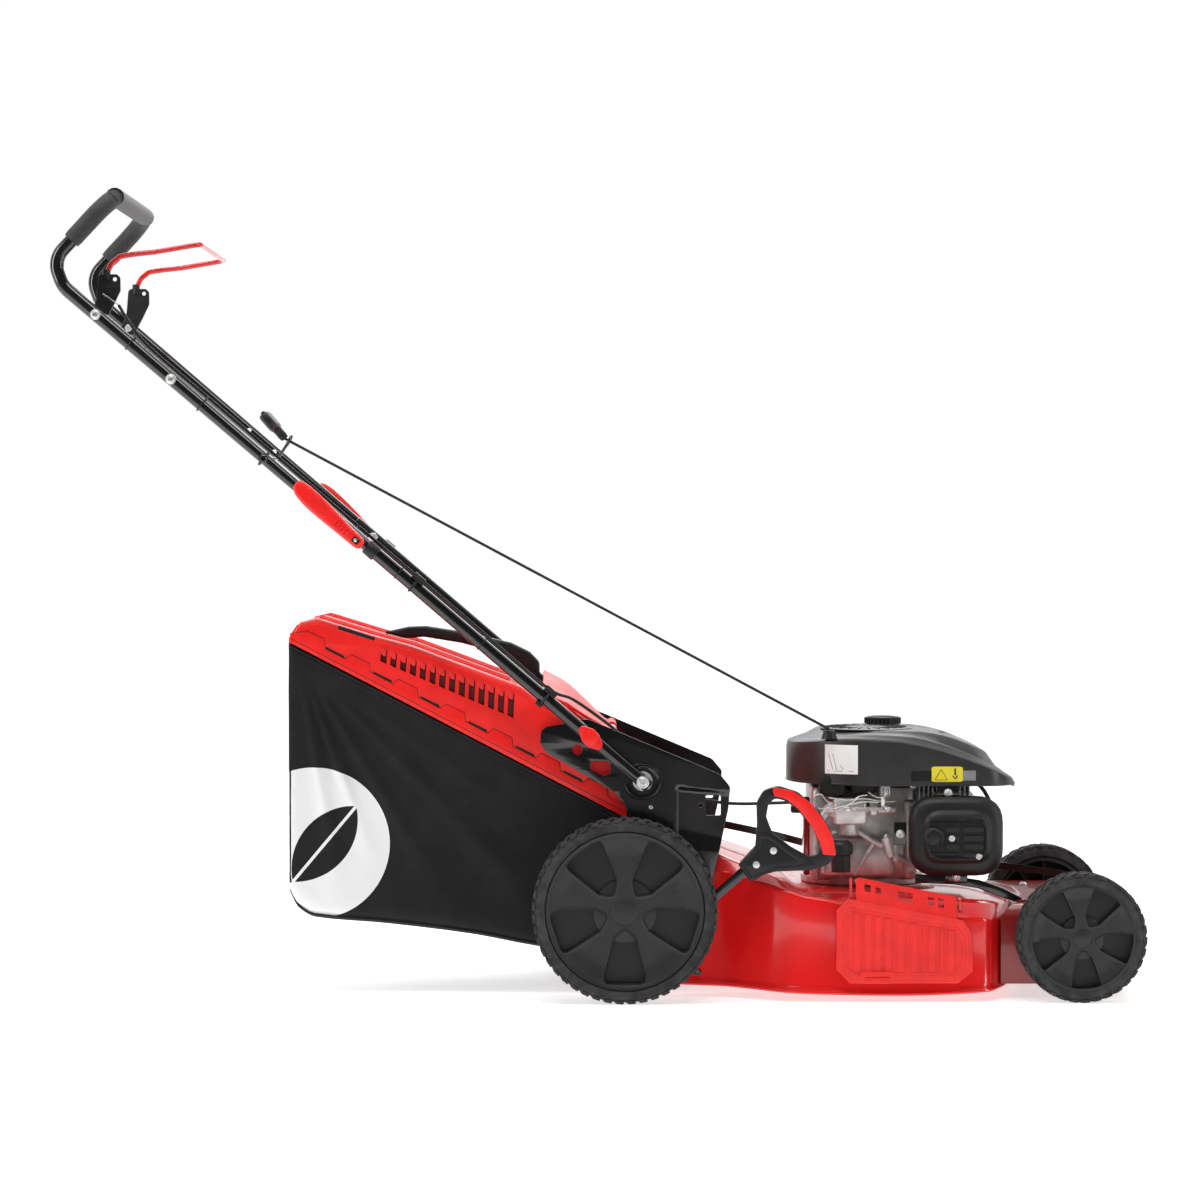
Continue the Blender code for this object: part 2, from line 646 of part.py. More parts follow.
def make_wheel(name, side, centre, inner_y, width, tyre_material, hub_material, parent):
    """A tyre that touches the ground and a hub with five pockets, on one axis."""
    x, z = centre
    radius = z
    rim = 0.855 * radius if name.startswith("rear") else 0.80 * radius
    low, high = sorted((side * inner_y, side * (inner_y + width)))
    outer, inner = (low, high) if side < 0 else (high, low)
    step = 0.006 if outer > inner else -0.006
    spin = empty(f"{name}_axis", (x, side * (inner_y + width / 2), z))
    spin.parent = parent
    spin.matrix_parent_inverse = Matrix.Translation(-parent.location)
    steps = 32
    tread = radius / math.cos(math.pi / steps)
    tyre = [(rim + GAP, inner), (tread - 0.006, inner), (tread, inner + 1.3 * step),
            (tread, outer - 1.3 * step), (tread - 0.006, outer), (rim + GAP, outer)]
    add_on_spin(f"{name}_tyre", turned(tyre, (x, 0, z), "Y", steps, 0.5), tyre_material, spin)
    face, bore = outer - 0.6 * step, AXLE_RADIUS + 0.0006
    hub = [(bore, inner + step), (0.020, inner + step), (0.024, outer - 4 * step),
           (rim - 0.010, outer - 4 * step), (rim - 0.006, inner), (rim, inner), (rim, outer),
           (rim - 0.005, outer), (0.66 * radius, face - step), (0.21 * radius, face - step),
           (0.17 * radius, face), (bore, face)]
    hub = add_on_spin(f"{name}_hub", turned(hub, (x, 0, z), "Y", steps, 0.5), hub_material, spin)
    near, far = sorted((outer + step, outer - 2.8 * step))
    for pocket in range(5):
        middle = 270 + 72 * pocket
        outline = arc((x, z), 0.64 * radius, middle - 26, middle + 26, 4) + \
            arc((x, z), 0.26 * radius, middle + 16, middle - 16, 2)
        cut(hub, prism(outline, near, far))
    return spin


def add_on_spin(name, shape, material, spin):
    """A piece in world coordinates under an empty that has a parent of its own."""
    piece = add(name, shape, material)
    piece.parent = spin
    piece.matrix_parent_inverse = Matrix.Translation(-spin.location)
    return piece


def axle_route(wheel, pivot, stub_end, crank_y):
    near = [(wheel[0], -stub_end, wheel[1]), (wheel[0], -crank_y, wheel[1]), (pivot[0], -crank_y, pivot[1])]
    return rounded(near + [(x, -y, z) for x, y, z in reversed(near)], 0.010, 3)


def link_point(pivot):
    """Where the height link meets a crank: above the pivot, leaning forward by half the travel."""
    return (pivot[0] + LINK_ARM * math.sin(CRANK_RISE), pivot[1] + LINK_ARM * math.cos(CRANK_RISE))


def make_axle(name, wheel, pivot, stub_end, crank_y, material, parent):
    """A cranked axle, with the upright arm that the height link pulls."""
    axle = add(name, swept(axle_route(wheel, pivot, stub_end, crank_y), AXLE_RADIUS, 10), material, parent)
    x, z = link_point(pivot)
    low, high = LINK_Y + 0.0015 + GAP, LINK_Y + 0.0015 + GAP + 0.004
    lean = -math.degrees(CRANK_RISE)
    outline = arc(pivot, 0.009, 180 + lean, 360 + lean, 4) + arc((x, z), 0.007, lean, 180 + lean, 4)
    return join(axle, prism(outline, low, high))


def make_height_link(material):
    """The bent strap between the two cranks, which passes over the deck's shoulder."""
    (x0, z0), (x1, z1) = link_point(REAR_PIVOT), link_point(FRONT_PIVOT)
    pivot = empty("height_link_pivot", (x0, LINK_Y, z0))
    middle = [(x0, z0), (0.152, 0.236), (0.215, 0.236), (0.300, 0.218), (0.420, 0.186), (0.640, 0.172),
              (0.770, 0.155), (x1, z1)]
    width = 0.006
    top, bottom = [], []
    for index, (x, z) in enumerate(middle):
        (xa, za), (xb, zb) = middle[max(0, index - 1)], middle[min(len(middle) - 1, index + 1)]
        length = math.hypot(xb - xa, zb - za)
        nx, nz = -(zb - za) / length * width, (xb - xa) / length * width
        top.append((x + nx, z + nz))
        bottom.append((x - nx, z - nz))
    add("height_link", prism(top + bottom[::-1], LINK_Y - 0.0015, LINK_Y + 0.0015), material, pivot)


def make_height_lever(steel, plastic, red, parent):
    """The flat lever on the rear axle. Its D-shaped grip stands outboard, so that it passes the fold knob."""
    outer, inner = -LEVER_Y - LEVER_THICKNESS / 2, -LEVER_Y + LEVER_THICKNESS / 2
    x, z = REAR_PIVOT
    sleeve = swept([(x, outer, z), (x, inner, z)], 0.0115, 12, AXLE_RADIUS + 0.0006)
    lever = add("height_lever", sleeve, steel, parent)
    bar = [(0.1150, 0.1262), (0.1205, 0.1160), (0.1860, 0.1530), (0.2480, 0.2060), (0.2720, 0.2330),
           (0.2620, 0.2420), (0.2360, 0.2170), (0.1800, 0.1680)]
    join(lever, prism(bar, outer, inner))
    outline = [(0.2170, 0.2110), (0.2350, 0.1850), (0.2440, 0.1880), (0.2750, 0.2010), (0.3300, 0.2030),
               (0.3560, 0.2120), (0.3700, 0.2290), (0.3640, 0.2550), (0.3450, 0.2900), (0.3100, 0.3240),
               (0.2780, 0.3340), (0.2560, 0.3270), (0.2450, 0.3080), (0.2460, 0.2750), (0.2430, 0.2380)]
    grip = add("lever_grip", prism(outline, LEVER_GRIP_OUTER_Y, LEVER_GRIP_INNER_Y), plastic, parent)
    root = [(0.2180, 0.2110), (0.2353, 0.1860), (0.2440, 0.1888), (0.2745, 0.2016), (0.2750, 0.2330),
            (0.2600, 0.2470), (0.2440, 0.2400)]
    join(grip, prism(root, LEVER_GRIP_INNER_Y - 0.001, outer - GAP))
    hollow = [(0.2600, 0.2900), (0.2640, 0.3080), (0.2760, 0.3180), (0.2950, 0.3140), (0.3150, 0.3010),
              (0.3400, 0.2700), (0.3520, 0.2400), (0.3460, 0.2250), (0.3300, 0.2220), (0.2990, 0.2390),
              (0.2700, 0.2620)]
    cut(grip, prism(hollow, LEVER_GRIP_OUTER_Y - 0.01, LEVER_GRIP_INNER_Y + 0.01))
    insert = [(0.2700, 0.3305), (0.3100, 0.3210), (0.3440, 0.2870), (0.3610, 0.2550), (0.3655, 0.2360),
              (0.3560, 0.2380), (0.3480, 0.2620), (0.3230, 0.3000), (0.2960, 0.3210), (0.2720, 0.3250)]
    face = LEVER_GRIP_OUTER_Y - GAP
    add("lever_grip_insert", prism(insert, face - 0.0020, face), red, parent)


# --- Handle ------------------------------------------------------------------------------------------


def handle_route():
    """The upper handle's centre line, from the right lower end round the grip to the left one."""
    end = along(UPPER_START, -UPPER_Y)
    points = [tuple(end)] + [(x, -UPPER_Y, z) for x, z in GOOSENECK]
    return rounded(points + [(x, -y, z) for x, y, z in reversed(points)], 0.045, 5)


def grip_route():
    """The straight legs and the cross part that the foam covers."""
    (x0, z0), (x1, z1) = GOOSENECK[1], GOOSENECK[2]
    share = 0.30
    start = (x0 + (x1 - x0) * share, -UPPER_Y, z0 + (z1 - z0) * share)
    points = [start, (x1, -UPPER_Y, z1), (x1, UPPER_Y, z1), (start[0], UPPER_Y, start[2])]
    return rounded(points, 0.045, 5)


def cross_hole(distance, side, y0, y1, radius):
    return rod(along(distance, side * y0), along(distance, side * y1), radius, 12)


def make_lower_tube(name, side, material, parent):
    y = side * LOWER_Y
    tube = add(name, swept([along(-0.013, y), along(LOWER_END, y)], LOWER_RADIUS, 14), material, parent)
    for distance in (0.0, KNOB_AT, CLAMP_AT):
        cut(tube, cross_hole(distance, side, 0.18, 0.22, 0.0045))
    return tube


def make_pivot_bolt(name, side, material):
    profile = [(0, 0.1790), (0.0085, 0.1790), (0.0085, 0.1832), (0.0040, 0.1832), (0.0040, 0.2105),
               (0.0105, 0.2105), (0.0100, 0.2150), (0, 0.2155)]
    profile = [(radius, side * y) for radius, y in profile]
    add(name, turned(profile, (PIVOT[0], 0, PIVOT[1]), "Y", 16), material)


def make_fold_knob(name, side, material, parent):
    """A wing nut of plastic with its stud, which presses the tube to the side plate."""
    centre = along(KNOB_AT, 0)
    spin = empty(f"{name}_axis", along(KNOB_AT, side * 0.222))
    spin.parent = parent
    spin.matrix_parent_inverse = Matrix.Translation(-parent.location)
    outline = []
    for step in range(16):
        angle = 2 * math.pi * step / 16
        reach = 0.0125 + 0.0105 * abs(math.cos(angle)) ** 3
        turn = angle + HANDLE_ANGLE
        outline.append((centre.x + reach * math.cos(turn), centre.z + reach * math.sin(turn)))
    low, high = sorted((side * 0.2108, side * 0.2290))
    knob = add_on_spin(name, prism(outline, low, high), material, spin)
    return join(knob, cross_hole(KNOB_AT, side, 0.1872, 0.2200, 0.0040))


def make_upper_tube(material, parent):
    tube = add("upper_handle_tube", swept(handle_route(), UPPER_RADIUS, 14), material, parent)
    for side in (-1, 1):
        cut(tube, cross_hole(CLAMP_AT, side, 0.205, 0.240, 0.0045))
        cut(tube, cross_hole(BAIL_AT, side, 0.205, 0.240, 0.0040))
    return tube


def make_cam_bolt(name, side, material, parent):
    centre = along(CLAMP_AT, 0)
    profile = [(0, 0.1840), (0.0090, 0.1840), (0.0090, 0.1895), (0.0040, 0.1895), (0.0040, 0.2330), (0, 0.2330)]
    profile = [(radius, side * y) for radius, y in profile]
    add(name, turned(profile, centre, "Y", 12), material, parent)


def make_clamp_lever(name, side, material, parent):
    """The cam lever that locks the two tubes. It swings away from them about a pin square to the bolt."""
    root = along(CLAMP_AT - 0.004, side * 0.2440)
    pivot = empty(f"{name}_axis", root)
    pivot.parent = parent
    pivot.matrix_parent_inverse = Matrix.Translation(-parent.location)
    stations = ((-0.0138, -0.0040, 0.0070, 0.2398, 0.2478), (-0.0110, -0.0035, 0.0098, 0.2362, 0.2508),
                (-0.0040, -0.0030, 0.0115, 0.2334, 0.2530), (0.0100, -0.0030, 0.0118, 0.2336, 0.2536),
                (0.0300, -0.0030, 0.0130, 0.2350, 0.2540), (0.0700, -0.0030, 0.0140, 0.2380, 0.2520),
                (0.1050, 0.0000, 0.0125, 0.2385, 0.2500), (0.1280, 0.0030, 0.0070, 0.2390, 0.2470))
    sections = []
    for distance, shift, half, inner, outer in stations:
        sections.append([
            along(CLAMP_AT + distance, side * inner, shift - half),
            along(CLAMP_AT + distance, side * (outer - 0.004), shift - half),
            along(CLAMP_AT + distance, side * outer, shift - half + 0.004),
            along(CLAMP_AT + distance, side * outer, shift + half - 0.004),
            along(CLAMP_AT + distance, side * (outer - 0.004), shift + half),
            along(CLAMP_AT + distance, side * inner, shift + half),
        ])
    return add_on_spin(name, loft(sections), material, pivot)


def make_rope_guide(material, parent):
    """A bent wire from the right tube to an eye round the rope."""
    foot = along(GUIDE_AT, -UPPER_Y + UPPER_RADIUS + GAP)
    pull = Vector((ROPE_EYE[0] - ROPE_EXIT[0], 0, ROPE_EYE[1] - ROPE_EXIT[1])).normalized()
    centre = Vector((ROPE_EYE[0], ROPE_Y, ROPE_EYE[1])) - pull * 0.004
    up, side = Vector((-pull.z, 0, pull.x)) * -1, Vector((0, -1, 0))
    eye = [centre + (side * math.cos(math.radians(a)) + up * math.sin(math.radians(a))) * 0.0085
           for a in range(-60, 211, 30)]
    first = foot + Vector((0, 0.014, 0))
    bend = Vector((ROPE_EYE[0] - 0.012, ROPE_Y - 0.030, ROPE_EYE[1] - 0.030))
    add("rope_guide", swept([foot, first, bend] + eye, 0.0024, 8), material, parent)


def make_bail(red, black, steel, parent):
    """The engine brake's red wire, with a black lever at each end."""
    axis = along(BAIL_AT, 0)
    pivot = empty("bail_axis", axis)
    pivot.parent = parent
    pivot.matrix_parent_inverse = Matrix.Translation(-parent.location)
    points = [(-0.7645, -BAIL_Y, 1.1295), (-0.7520, -BAIL_Y, 1.1510), (-0.7250, -BAIL_Y, 1.1570),
              (-0.6180, -BAIL_Y, 1.1735)]
    route = rounded(points + [(x, -y, z) for x, y, z in reversed(points)], 0.012, 3)
    add_on_spin("bail", swept(route, BAIL_RADIUS, 8), red, pivot)
    outline = [(-0.7770, 1.1220), (-0.7730, 1.1268), (-0.7480, 1.1268), (-0.7430, 1.1220), (-0.7410, 1.1020),
               (-0.7520, 1.0780)] + arc((axis.x, axis.z), 0.0125, -25, -190, 5) + [(-0.7830, 1.0900)]
    for name, side in (("right", -1), ("left", 1)):
        low, high = sorted((side * (BAIL_Y - 0.0035), side * (BAIL_Y + 0.0035)))
        plate = add_on_spin(f"bail_lever_{name}", prism(outline, low, high), black, pivot)
        cut(plate, cross_hole(BAIL_AT, side, 0.170, 0.205, 0.0038))
        profile = [(0, 0.1800), (0.0070, 0.1800), (0.0070, 0.1850), (0.0034, 0.1850), (0.0034, 0.2330),
                   (0.0083, 0.2330), (0.0078, 0.2370), (0, 0.2375)]
        profile = [(radius, side * y) for radius, y in profile]
        add(f"bail_bolt_{name}", turned(profile, axis, "Y", 12), steel, parent)


def make_brake_cable(material, parent):
    """The engine brake's cable: down the right tubes, inside the side plate and forward to the engine."""
    rise, y = 0.0150, -0.2115
    top = [(-0.7440, -0.2000, 1.0780), (-0.7300, -0.2060, 1.0560), tuple(along(1.020, y, rise)),
           tuple(along(0.880, y, rise)), tuple(along(0.740, y, rise)), tuple(along(0.596, y, rise))]
    cord("brake_cable_upper", smooth(top, 44), 0.0025, material, parent)
    bottom = [tuple(along(0.594, y, rise)), tuple(along(0.480, y, rise)), tuple(along(0.340, y, rise)),
              tuple(along(0.210, y, rise)), (-0.0400, -0.2000, 0.4660), (0.0030, -0.1880, 0.4360),
              (0.0300, -0.1760, 0.4130), (0.0560, -0.1756, 0.3790), (0.1150, -0.1750, 0.3220),
              (0.1950, -0.1680, 0.3020), (0.2800, -0.1350, 0.2990), (0.3310, -0.0950, 0.2990)]
    cord("brake_cable_lower", smooth(bottom, 70), 0.0025, material)


def make_starter(rope_material, plastic, parent):
    """The rope from the cowl to the guide's eye, and the grip that rests against the eye."""
    start, eye = Vector((ROPE_EXIT[0], ROPE_Y, ROPE_EXIT[1])), Vector((ROPE_EYE[0], ROPE_Y, ROPE_EYE[1]))
    pull = (eye - start).normalized()
    pivot = empty("starter_rope_axis", start)
    rope = [start.lerp(eye, i / 40) for i in range(41)]
    cord("starter_rope", rope, ROPE_RADIUS, rope_material, pivot)
    base = eye + pull * GAP
    run = Vector((math.cos(GRIP_TILT), 0, math.sin(GRIP_TILT)))
    across, thick = Vector((0, 1, 0)), Vector((-run.z, 0, run.x))
    stations = ((0.0000, 0.0080, 0.0060), (0.0080, 0.0130, 0.0085), (0.0220, 0.0200, 0.0092),
                (0.0300, 0.0400, 0.0092), (0.0460, 0.0425, 0.0092), (0.0500, 0.0390, 0.0080))
    corners = ((-1, -0.6), (-0.9, -1), (0.9, -1), (1, -0.6), (1, 0.6), (0.9, 1), (-0.9, 1), (-1, 0.6))
    sections = []
    for distance, half, depth in stations:
        middle = base + run * distance + pull * 0.003
        sections.append([middle + across * (half * a) + thick * (depth * b) for a, b in corners])
    grip = empty("starter_grip_slide", eye)
    grip.parent = parent
    grip.matrix_parent_inverse = Matrix.Translation(-parent.location)
    add_on_spin("starter_grip", loft(sections), plastic, grip)


# --- Catcher -----------------------------------------------------------------------------------------


def seam_height(x):
    share = (x - CATCHER_FRONT) / (CATCHER_REAR - CATCHER_FRONT)
    return SEAM_FRONT_Z + (SEAM_REAR_Z - SEAM_FRONT_Z) * share


def make_catcher(fabric, red, black):
    slide = empty("catcher_slide", (CATCHER_FRONT, 0, SEAM_FRONT_Z))
    floor = ((CATCHER_REAR, 0.158), (-0.472, 0.134), (-0.445, 0.119), (-0.338, 0.1094), (-0.199, 0.0922),
             (-0.108, 0.075), (-0.050, 0.066), (CATCHER_FRONT, 0.060))
    sections = []
    for index, (x, z) in enumerate(floor):
        half = BAG_HALF - (0.012 if index == 0 else 0.003 if index == 1 else 0.0)
        top = seam_height(x) - GAP
        points = [(half, top), (half, z + 0.045), (half - 0.010, z + 0.014), (half - 0.035, z)]
        sections.append(both_sides(x, points))
    bag = add("catcher_bag", loft(sections, closed=False, end_cap=False), fabric, slide)
    thicken(bag, 0.0025)

    ridge = ((CATCHER_REAR + 0.0015, 0.5610), (-0.4664, 0.5850), (-0.4393, 0.5915), (-0.350, 0.564),
             (-0.292, 0.5486), (-0.119, 0.4842), (-0.083, 0.4544), (CATCHER_FRONT, 0.3850))
    sections = []
    for index, (x, z) in enumerate(ridge):
        half = LID_HALF - (0.012 if index == 0 else 0.003 if index == 1 else 0.0)
        seam = seam_height(x) + (0.0015 if index == 0 else 0.0)
        points = [(half, seam), (half - 0.002, z - 0.0055), (half - 0.016, z)]
        sections.append(both_sides(x, points))
    lid = add("catcher_lid", loft(sections, closed=False, end_cap=False), red, slide)
    thicken(lid, 0.0025)

    top = [(-0.345, 0.5640), (-0.331, 0.5670), (-0.305, 0.5730), (-0.2765, 0.5740), (-0.2186, 0.5650),
           (-0.140, 0.5475), (-0.110, 0.5330), (-0.0935, 0.5160), (-0.0935, 0.4640)]
    bottom = [(-0.112, 0.4810), (-0.120, 0.5050), (-0.145, 0.5270), (-0.2186, 0.5470), (-0.280, 0.5570),
              (-0.298, 0.5550), (-0.312, 0.5550)]
    add("catcher_handle", prism(top + bottom, -0.016, 0.016), black, slide)


# --- The whole mower ---------------------------------------------------------------------------------


def make_running_gear(paints):
    black, steel = paints["black_paint"], paints["steel"]
    tyre, hub = paints["rubber"], paints["black_plastic"]
    for name, wheel, pivot, inner, width, crank_y in (
        ("rear", REAR_WHEEL, REAR_PIVOT, REAR_WHEEL_INNER_Y, REAR_WHEEL_WIDTH, REAR_CRANK_Y),
        ("front", FRONT_WHEEL, FRONT_PIVOT, FRONT_WHEEL_INNER_Y, FRONT_WHEEL_WIDTH, FRONT_CRANK_Y),
    ):
        axis = empty(f"{name}_axle_pivot", (pivot[0], 0, pivot[1]))
        make_axle(f"{name}_axle", wheel, pivot, inner + 0.75 * width, crank_y, steel, axis)
        for word, side in (("right", -1), ("left", 1)):
            make_wheel(f"{name}_{word}", side, wheel, inner, width, tyre, hub, axis)
        if name == "rear":
            make_height_lever(black, paints["black_plastic"], paints["red_plastic"], axis)
    make_height_link(black)


def make_handle(paints):
    black, steel = paints["black_paint"], paints["steel"]
    plastic, red = paints["black_plastic"], paints["red_plastic"]
    lower = empty("lower_handle_pivot", (PIVOT[0], 0, PIVOT[1]))
    upper = empty("upper_handle_pivot", along(CLAMP_AT, 0))
    for word, side in (("right", -1), ("left", 1)):
        make_pivot_bolt(f"pivot_bolt_{word}", side, steel)
        make_lower_tube(f"lower_tube_{word}", side, black, lower)
        make_fold_knob(f"fold_knob_{word}", side, red, lower)
        make_cam_bolt(f"cam_bolt_{word}", side, steel, upper)
        make_clamp_lever(f"clamp_lever_{word}", side, red, upper)
    make_upper_tube(black, upper)
    add("handle_grip", swept(grip_route(), GRIP_RADIUS, 14, UPPER_RADIUS + 0.0006), paints["foam"], upper)
    make_rope_guide(black, upper)
    make_bail(red, plastic, steel, upper)
    make_brake_cable(plastic, upper)
    make_starter(paints["rope"], plastic, upper)


def make_body(paints):
    red, black = paints["red_paint"], paints["black_paint"]
    make_deck_shell(red)
    make_front_apron(red)
    make_side_plate("side_plate_right", -1, black)
    make_side_plate("side_plate_left", 1, black)
    make_flap_rod(paints["steel"])
    make_rear_flap(paints["red_plastic"])
    make_chute_flap(paints["red_plastic"])
    make_front_strap(black)


def make_engine(paints):
    metal, plastic = paints["aluminium"], paints["black_plastic"]
    make_crankcase(metal)
    make_cylinder_head(metal)
    make_engine_shroud(paints["shroud_plastic"])
    make_fuel_cap(plastic)
    make_muffler(paints["steel"])
    make_muffler_guard(paints["black_paint"])
    make_carburettor(metal)
    make_air_filter_cover(plastic)
    make_oil_filler_cap(plastic)
    make_spark_plug(plastic)
    make_blade_set(paints["steel"], paints["blade_steel"])


def main():
    for item in list(bpy.data.objects):
        bpy.data.objects.remove(item)
    paints = make_materials()
    make_body(paints)
    make_engine(paints)
    make_running_gear(paints)
    make_handle(paints)
    make_catcher(paints["fabric"], paints["red_plastic"], paints["black_plastic"])


main()
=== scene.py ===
"""The looks of the push lawn mower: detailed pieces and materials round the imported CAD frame.

Metres, +X forward, +Y to the operator's left, +Z up. Every piece is modelled in place, in the frame's
coordinates.
"""

import json
import math

import bmesh
import bpy
from mathutils import Matrix, Vector, noise


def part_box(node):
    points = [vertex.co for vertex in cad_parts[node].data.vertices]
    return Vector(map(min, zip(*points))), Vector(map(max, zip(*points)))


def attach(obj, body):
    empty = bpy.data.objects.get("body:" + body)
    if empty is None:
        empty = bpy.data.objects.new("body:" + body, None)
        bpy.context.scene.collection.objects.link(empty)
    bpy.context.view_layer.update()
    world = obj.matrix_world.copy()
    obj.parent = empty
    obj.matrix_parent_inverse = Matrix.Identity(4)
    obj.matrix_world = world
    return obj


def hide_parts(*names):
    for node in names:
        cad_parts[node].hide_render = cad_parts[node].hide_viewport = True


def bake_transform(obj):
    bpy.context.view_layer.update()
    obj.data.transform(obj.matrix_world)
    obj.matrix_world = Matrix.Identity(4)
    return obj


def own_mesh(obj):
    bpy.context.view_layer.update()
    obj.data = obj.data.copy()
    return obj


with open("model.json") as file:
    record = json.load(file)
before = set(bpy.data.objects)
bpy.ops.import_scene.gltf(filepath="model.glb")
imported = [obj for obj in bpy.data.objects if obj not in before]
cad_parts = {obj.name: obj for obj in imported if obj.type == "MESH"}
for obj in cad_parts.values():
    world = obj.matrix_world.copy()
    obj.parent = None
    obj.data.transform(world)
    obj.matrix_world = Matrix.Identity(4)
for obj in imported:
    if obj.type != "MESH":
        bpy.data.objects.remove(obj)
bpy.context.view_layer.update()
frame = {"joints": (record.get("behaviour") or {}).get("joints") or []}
JOINTS = {joint["name"]: joint for joint in frame["joints"]}


def centre_of(node):
    """The middle of a CAD node's box."""
    low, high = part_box(node)
    return (low + high) / 2


PIVOT = Vector(JOINTS["handle_fold"]["pos_m"])
CLAMP = Vector(JOINTS["upper_handle_fold"]["pos_m"])
BAIL_PIVOT = Vector(JOINTS["bail_pull"]["pos_m"])
UP_TUBE = (CLAMP - PIVOT).normalized()
OFF_TUBE = Vector((UP_TUBE.z, 0, -UP_TUBE.x))
LOWER_Y = abs(centre_of("lower_tube_right").y)
UPPER_Y = 0.2215
LOWER_RADIUS, UPPER_RADIUS, GRIP_RADIUS = 0.01, 0.011, 0.015
SIDES = (("right", -1), ("left", 1))


def along(distance, y, rise=0.0):
    """A point on the handle's run: a distance up from its pivot, and a rise square to the tubes."""
    return PIVOT + UP_TUBE * distance + OFF_TUBE * rise + Vector((0, y, 0))


# --- Shapes: each returns (vertices, faces) ----------------------------------------------------------


def loft(sections, closed=True, start_cap=True, end_cap=True):
    """Skin between rings or open rows of points, with end caps if wanted."""
    count = len(sections[0])
    vertices = [Vector(point) for section in sections for point in section]
    faces = []
    for row in range(len(sections) - 1):
        for i in range(count if closed else count - 1):
            a, b = row * count + i, row * count + (i + 1) % count
            faces.append((a, b, b + count, a + count))
    if start_cap:
        faces.append(tuple(range(count)))
    if end_cap:
        faces.append(tuple(range(len(vertices) - count, len(vertices))))
    return vertices, faces


def turned(profile, centre, axis=(0, 1, 0), steps=48, closed=True):
    """A profile of (radius, position along the axis) points, turned about an axis through the centre."""
    turn = Vector((0, 0, 1)).rotation_difference(Vector(axis)).to_matrix()
    rings = []
    for radius, height in profile:
        rings.append([
            Vector(centre) + turn @ Vector((radius * math.cos(a), radius * math.sin(a), height))
            for a in (2 * math.pi * (step + 0.5) / steps for step in range(steps))
        ])
    vertices, faces = loft(rings, start_cap=False, end_cap=False)
    if closed:
        last = len(vertices) - steps
        faces += [(i, (i + 1) % steps, last + (i + 1) % steps, last + i) for i in range(steps)]
    elif profile[0][0] > 0 and profile[-1][0] > 0:
        faces += [tuple(range(steps)), tuple(range(len(vertices) - steps, len(vertices)))]
    return vertices, faces


def solid_turned(profile, centre, axis=(0, 1, 0), steps=32):
    """As turned, for a solid piece: its ends are closed with flat discs."""
    return turned(profile, centre, axis, steps, closed=False)


def rounded(points, radius, steps=6):
    """The route through the points, with each inner corner turned into an arc."""
    route = [Vector(points[0])]
    for before, corner, after in zip(points, points[1:], points[2:]):
        before, corner, after = Vector(before), Vector(corner), Vector(after)
        back, ahead = (before - corner).normalized(), (after - corner).normalized()
        half = back.angle(ahead) / 2
        run = min(radius / math.tan(half), 0.49 * (before - corner).length, 0.49 * (after - corner).length)
        middle = corner + (back + ahead).normalized() * (run / math.cos(half))
        first, last = corner + back * run - middle, corner + ahead * run - middle
        angle = first.angle(last)
        for step in range(steps + 1):
            share = step / steps
            spoke = first * math.sin((1 - share) * angle) + last * math.sin(share * angle)
            route.append(middle + spoke / math.sin(angle))
    return route + [Vector(points[-1])]


def rounded_outline(points, radius, steps=4):
    """A closed (u, v) outline with its corners rounded. A point may carry its own radius as a third value."""
    outline = []
    count = len(points)
    for index, point in enumerate(points):
        before, after = Vector(points[index - 1][:2]), Vector(points[(index + 1) % count][:2])
        corner = Vector(point[:2])
        size = point[2] if len(point) > 2 else radius
        back, ahead = (before - corner), (after - corner)
        room = 0.49 * min(back.length, ahead.length)
        back.normalize()
        ahead.normalize()
        half = math.acos(max(-1.0, min(1.0, back.dot(ahead)))) / 2
        if size <= 0 or half > math.radians(88):
            outline.append(corner)
            continue
        run = min(size / math.tan(half), room)
        start, end = corner + back * run, corner + ahead * run
        for step in range(steps + 1):
            t = step / steps
            outline.append(start * (1 - t) ** 2 + corner * (2 * t * (1 - t)) + end * t ** 2)
    return outline


def directions(route):
    """The route's direction at each of its points."""
    runs = [(b - a).normalized() for a, b in zip(route, route[1:])]
    return [runs[0]] + [(a + b).normalized() for a, b in zip(runs, runs[1:])] + [runs[-1]]


def swept(route, radius, sides=20, caps=True, radii=None):
    """A round bar along a route. Radii, if given, hold a share of the radius for each point."""
    route = [Vector(point) for point in route]
    tangents = directions(route)
    side = Vector((0, 1, 0)) if abs(tangents[0].y) < 0.9 else Vector((0, 0, 1))
    rings = []
    for index, (point, tangent) in enumerate(zip(route, tangents)):
        side = (side - tangent * side.dot(tangent)).normalized()
        up = tangent.cross(side)
        size = radius * (radii[index] if radii else 1.0)
        rings.append(
            [point + side * (size * math.cos(2 * math.pi * k / sides))
                + up * (size * math.sin(2 * math.pi * k / sides)) for k in range(sides)])
    return loft(rings, start_cap=caps, end_cap=caps)


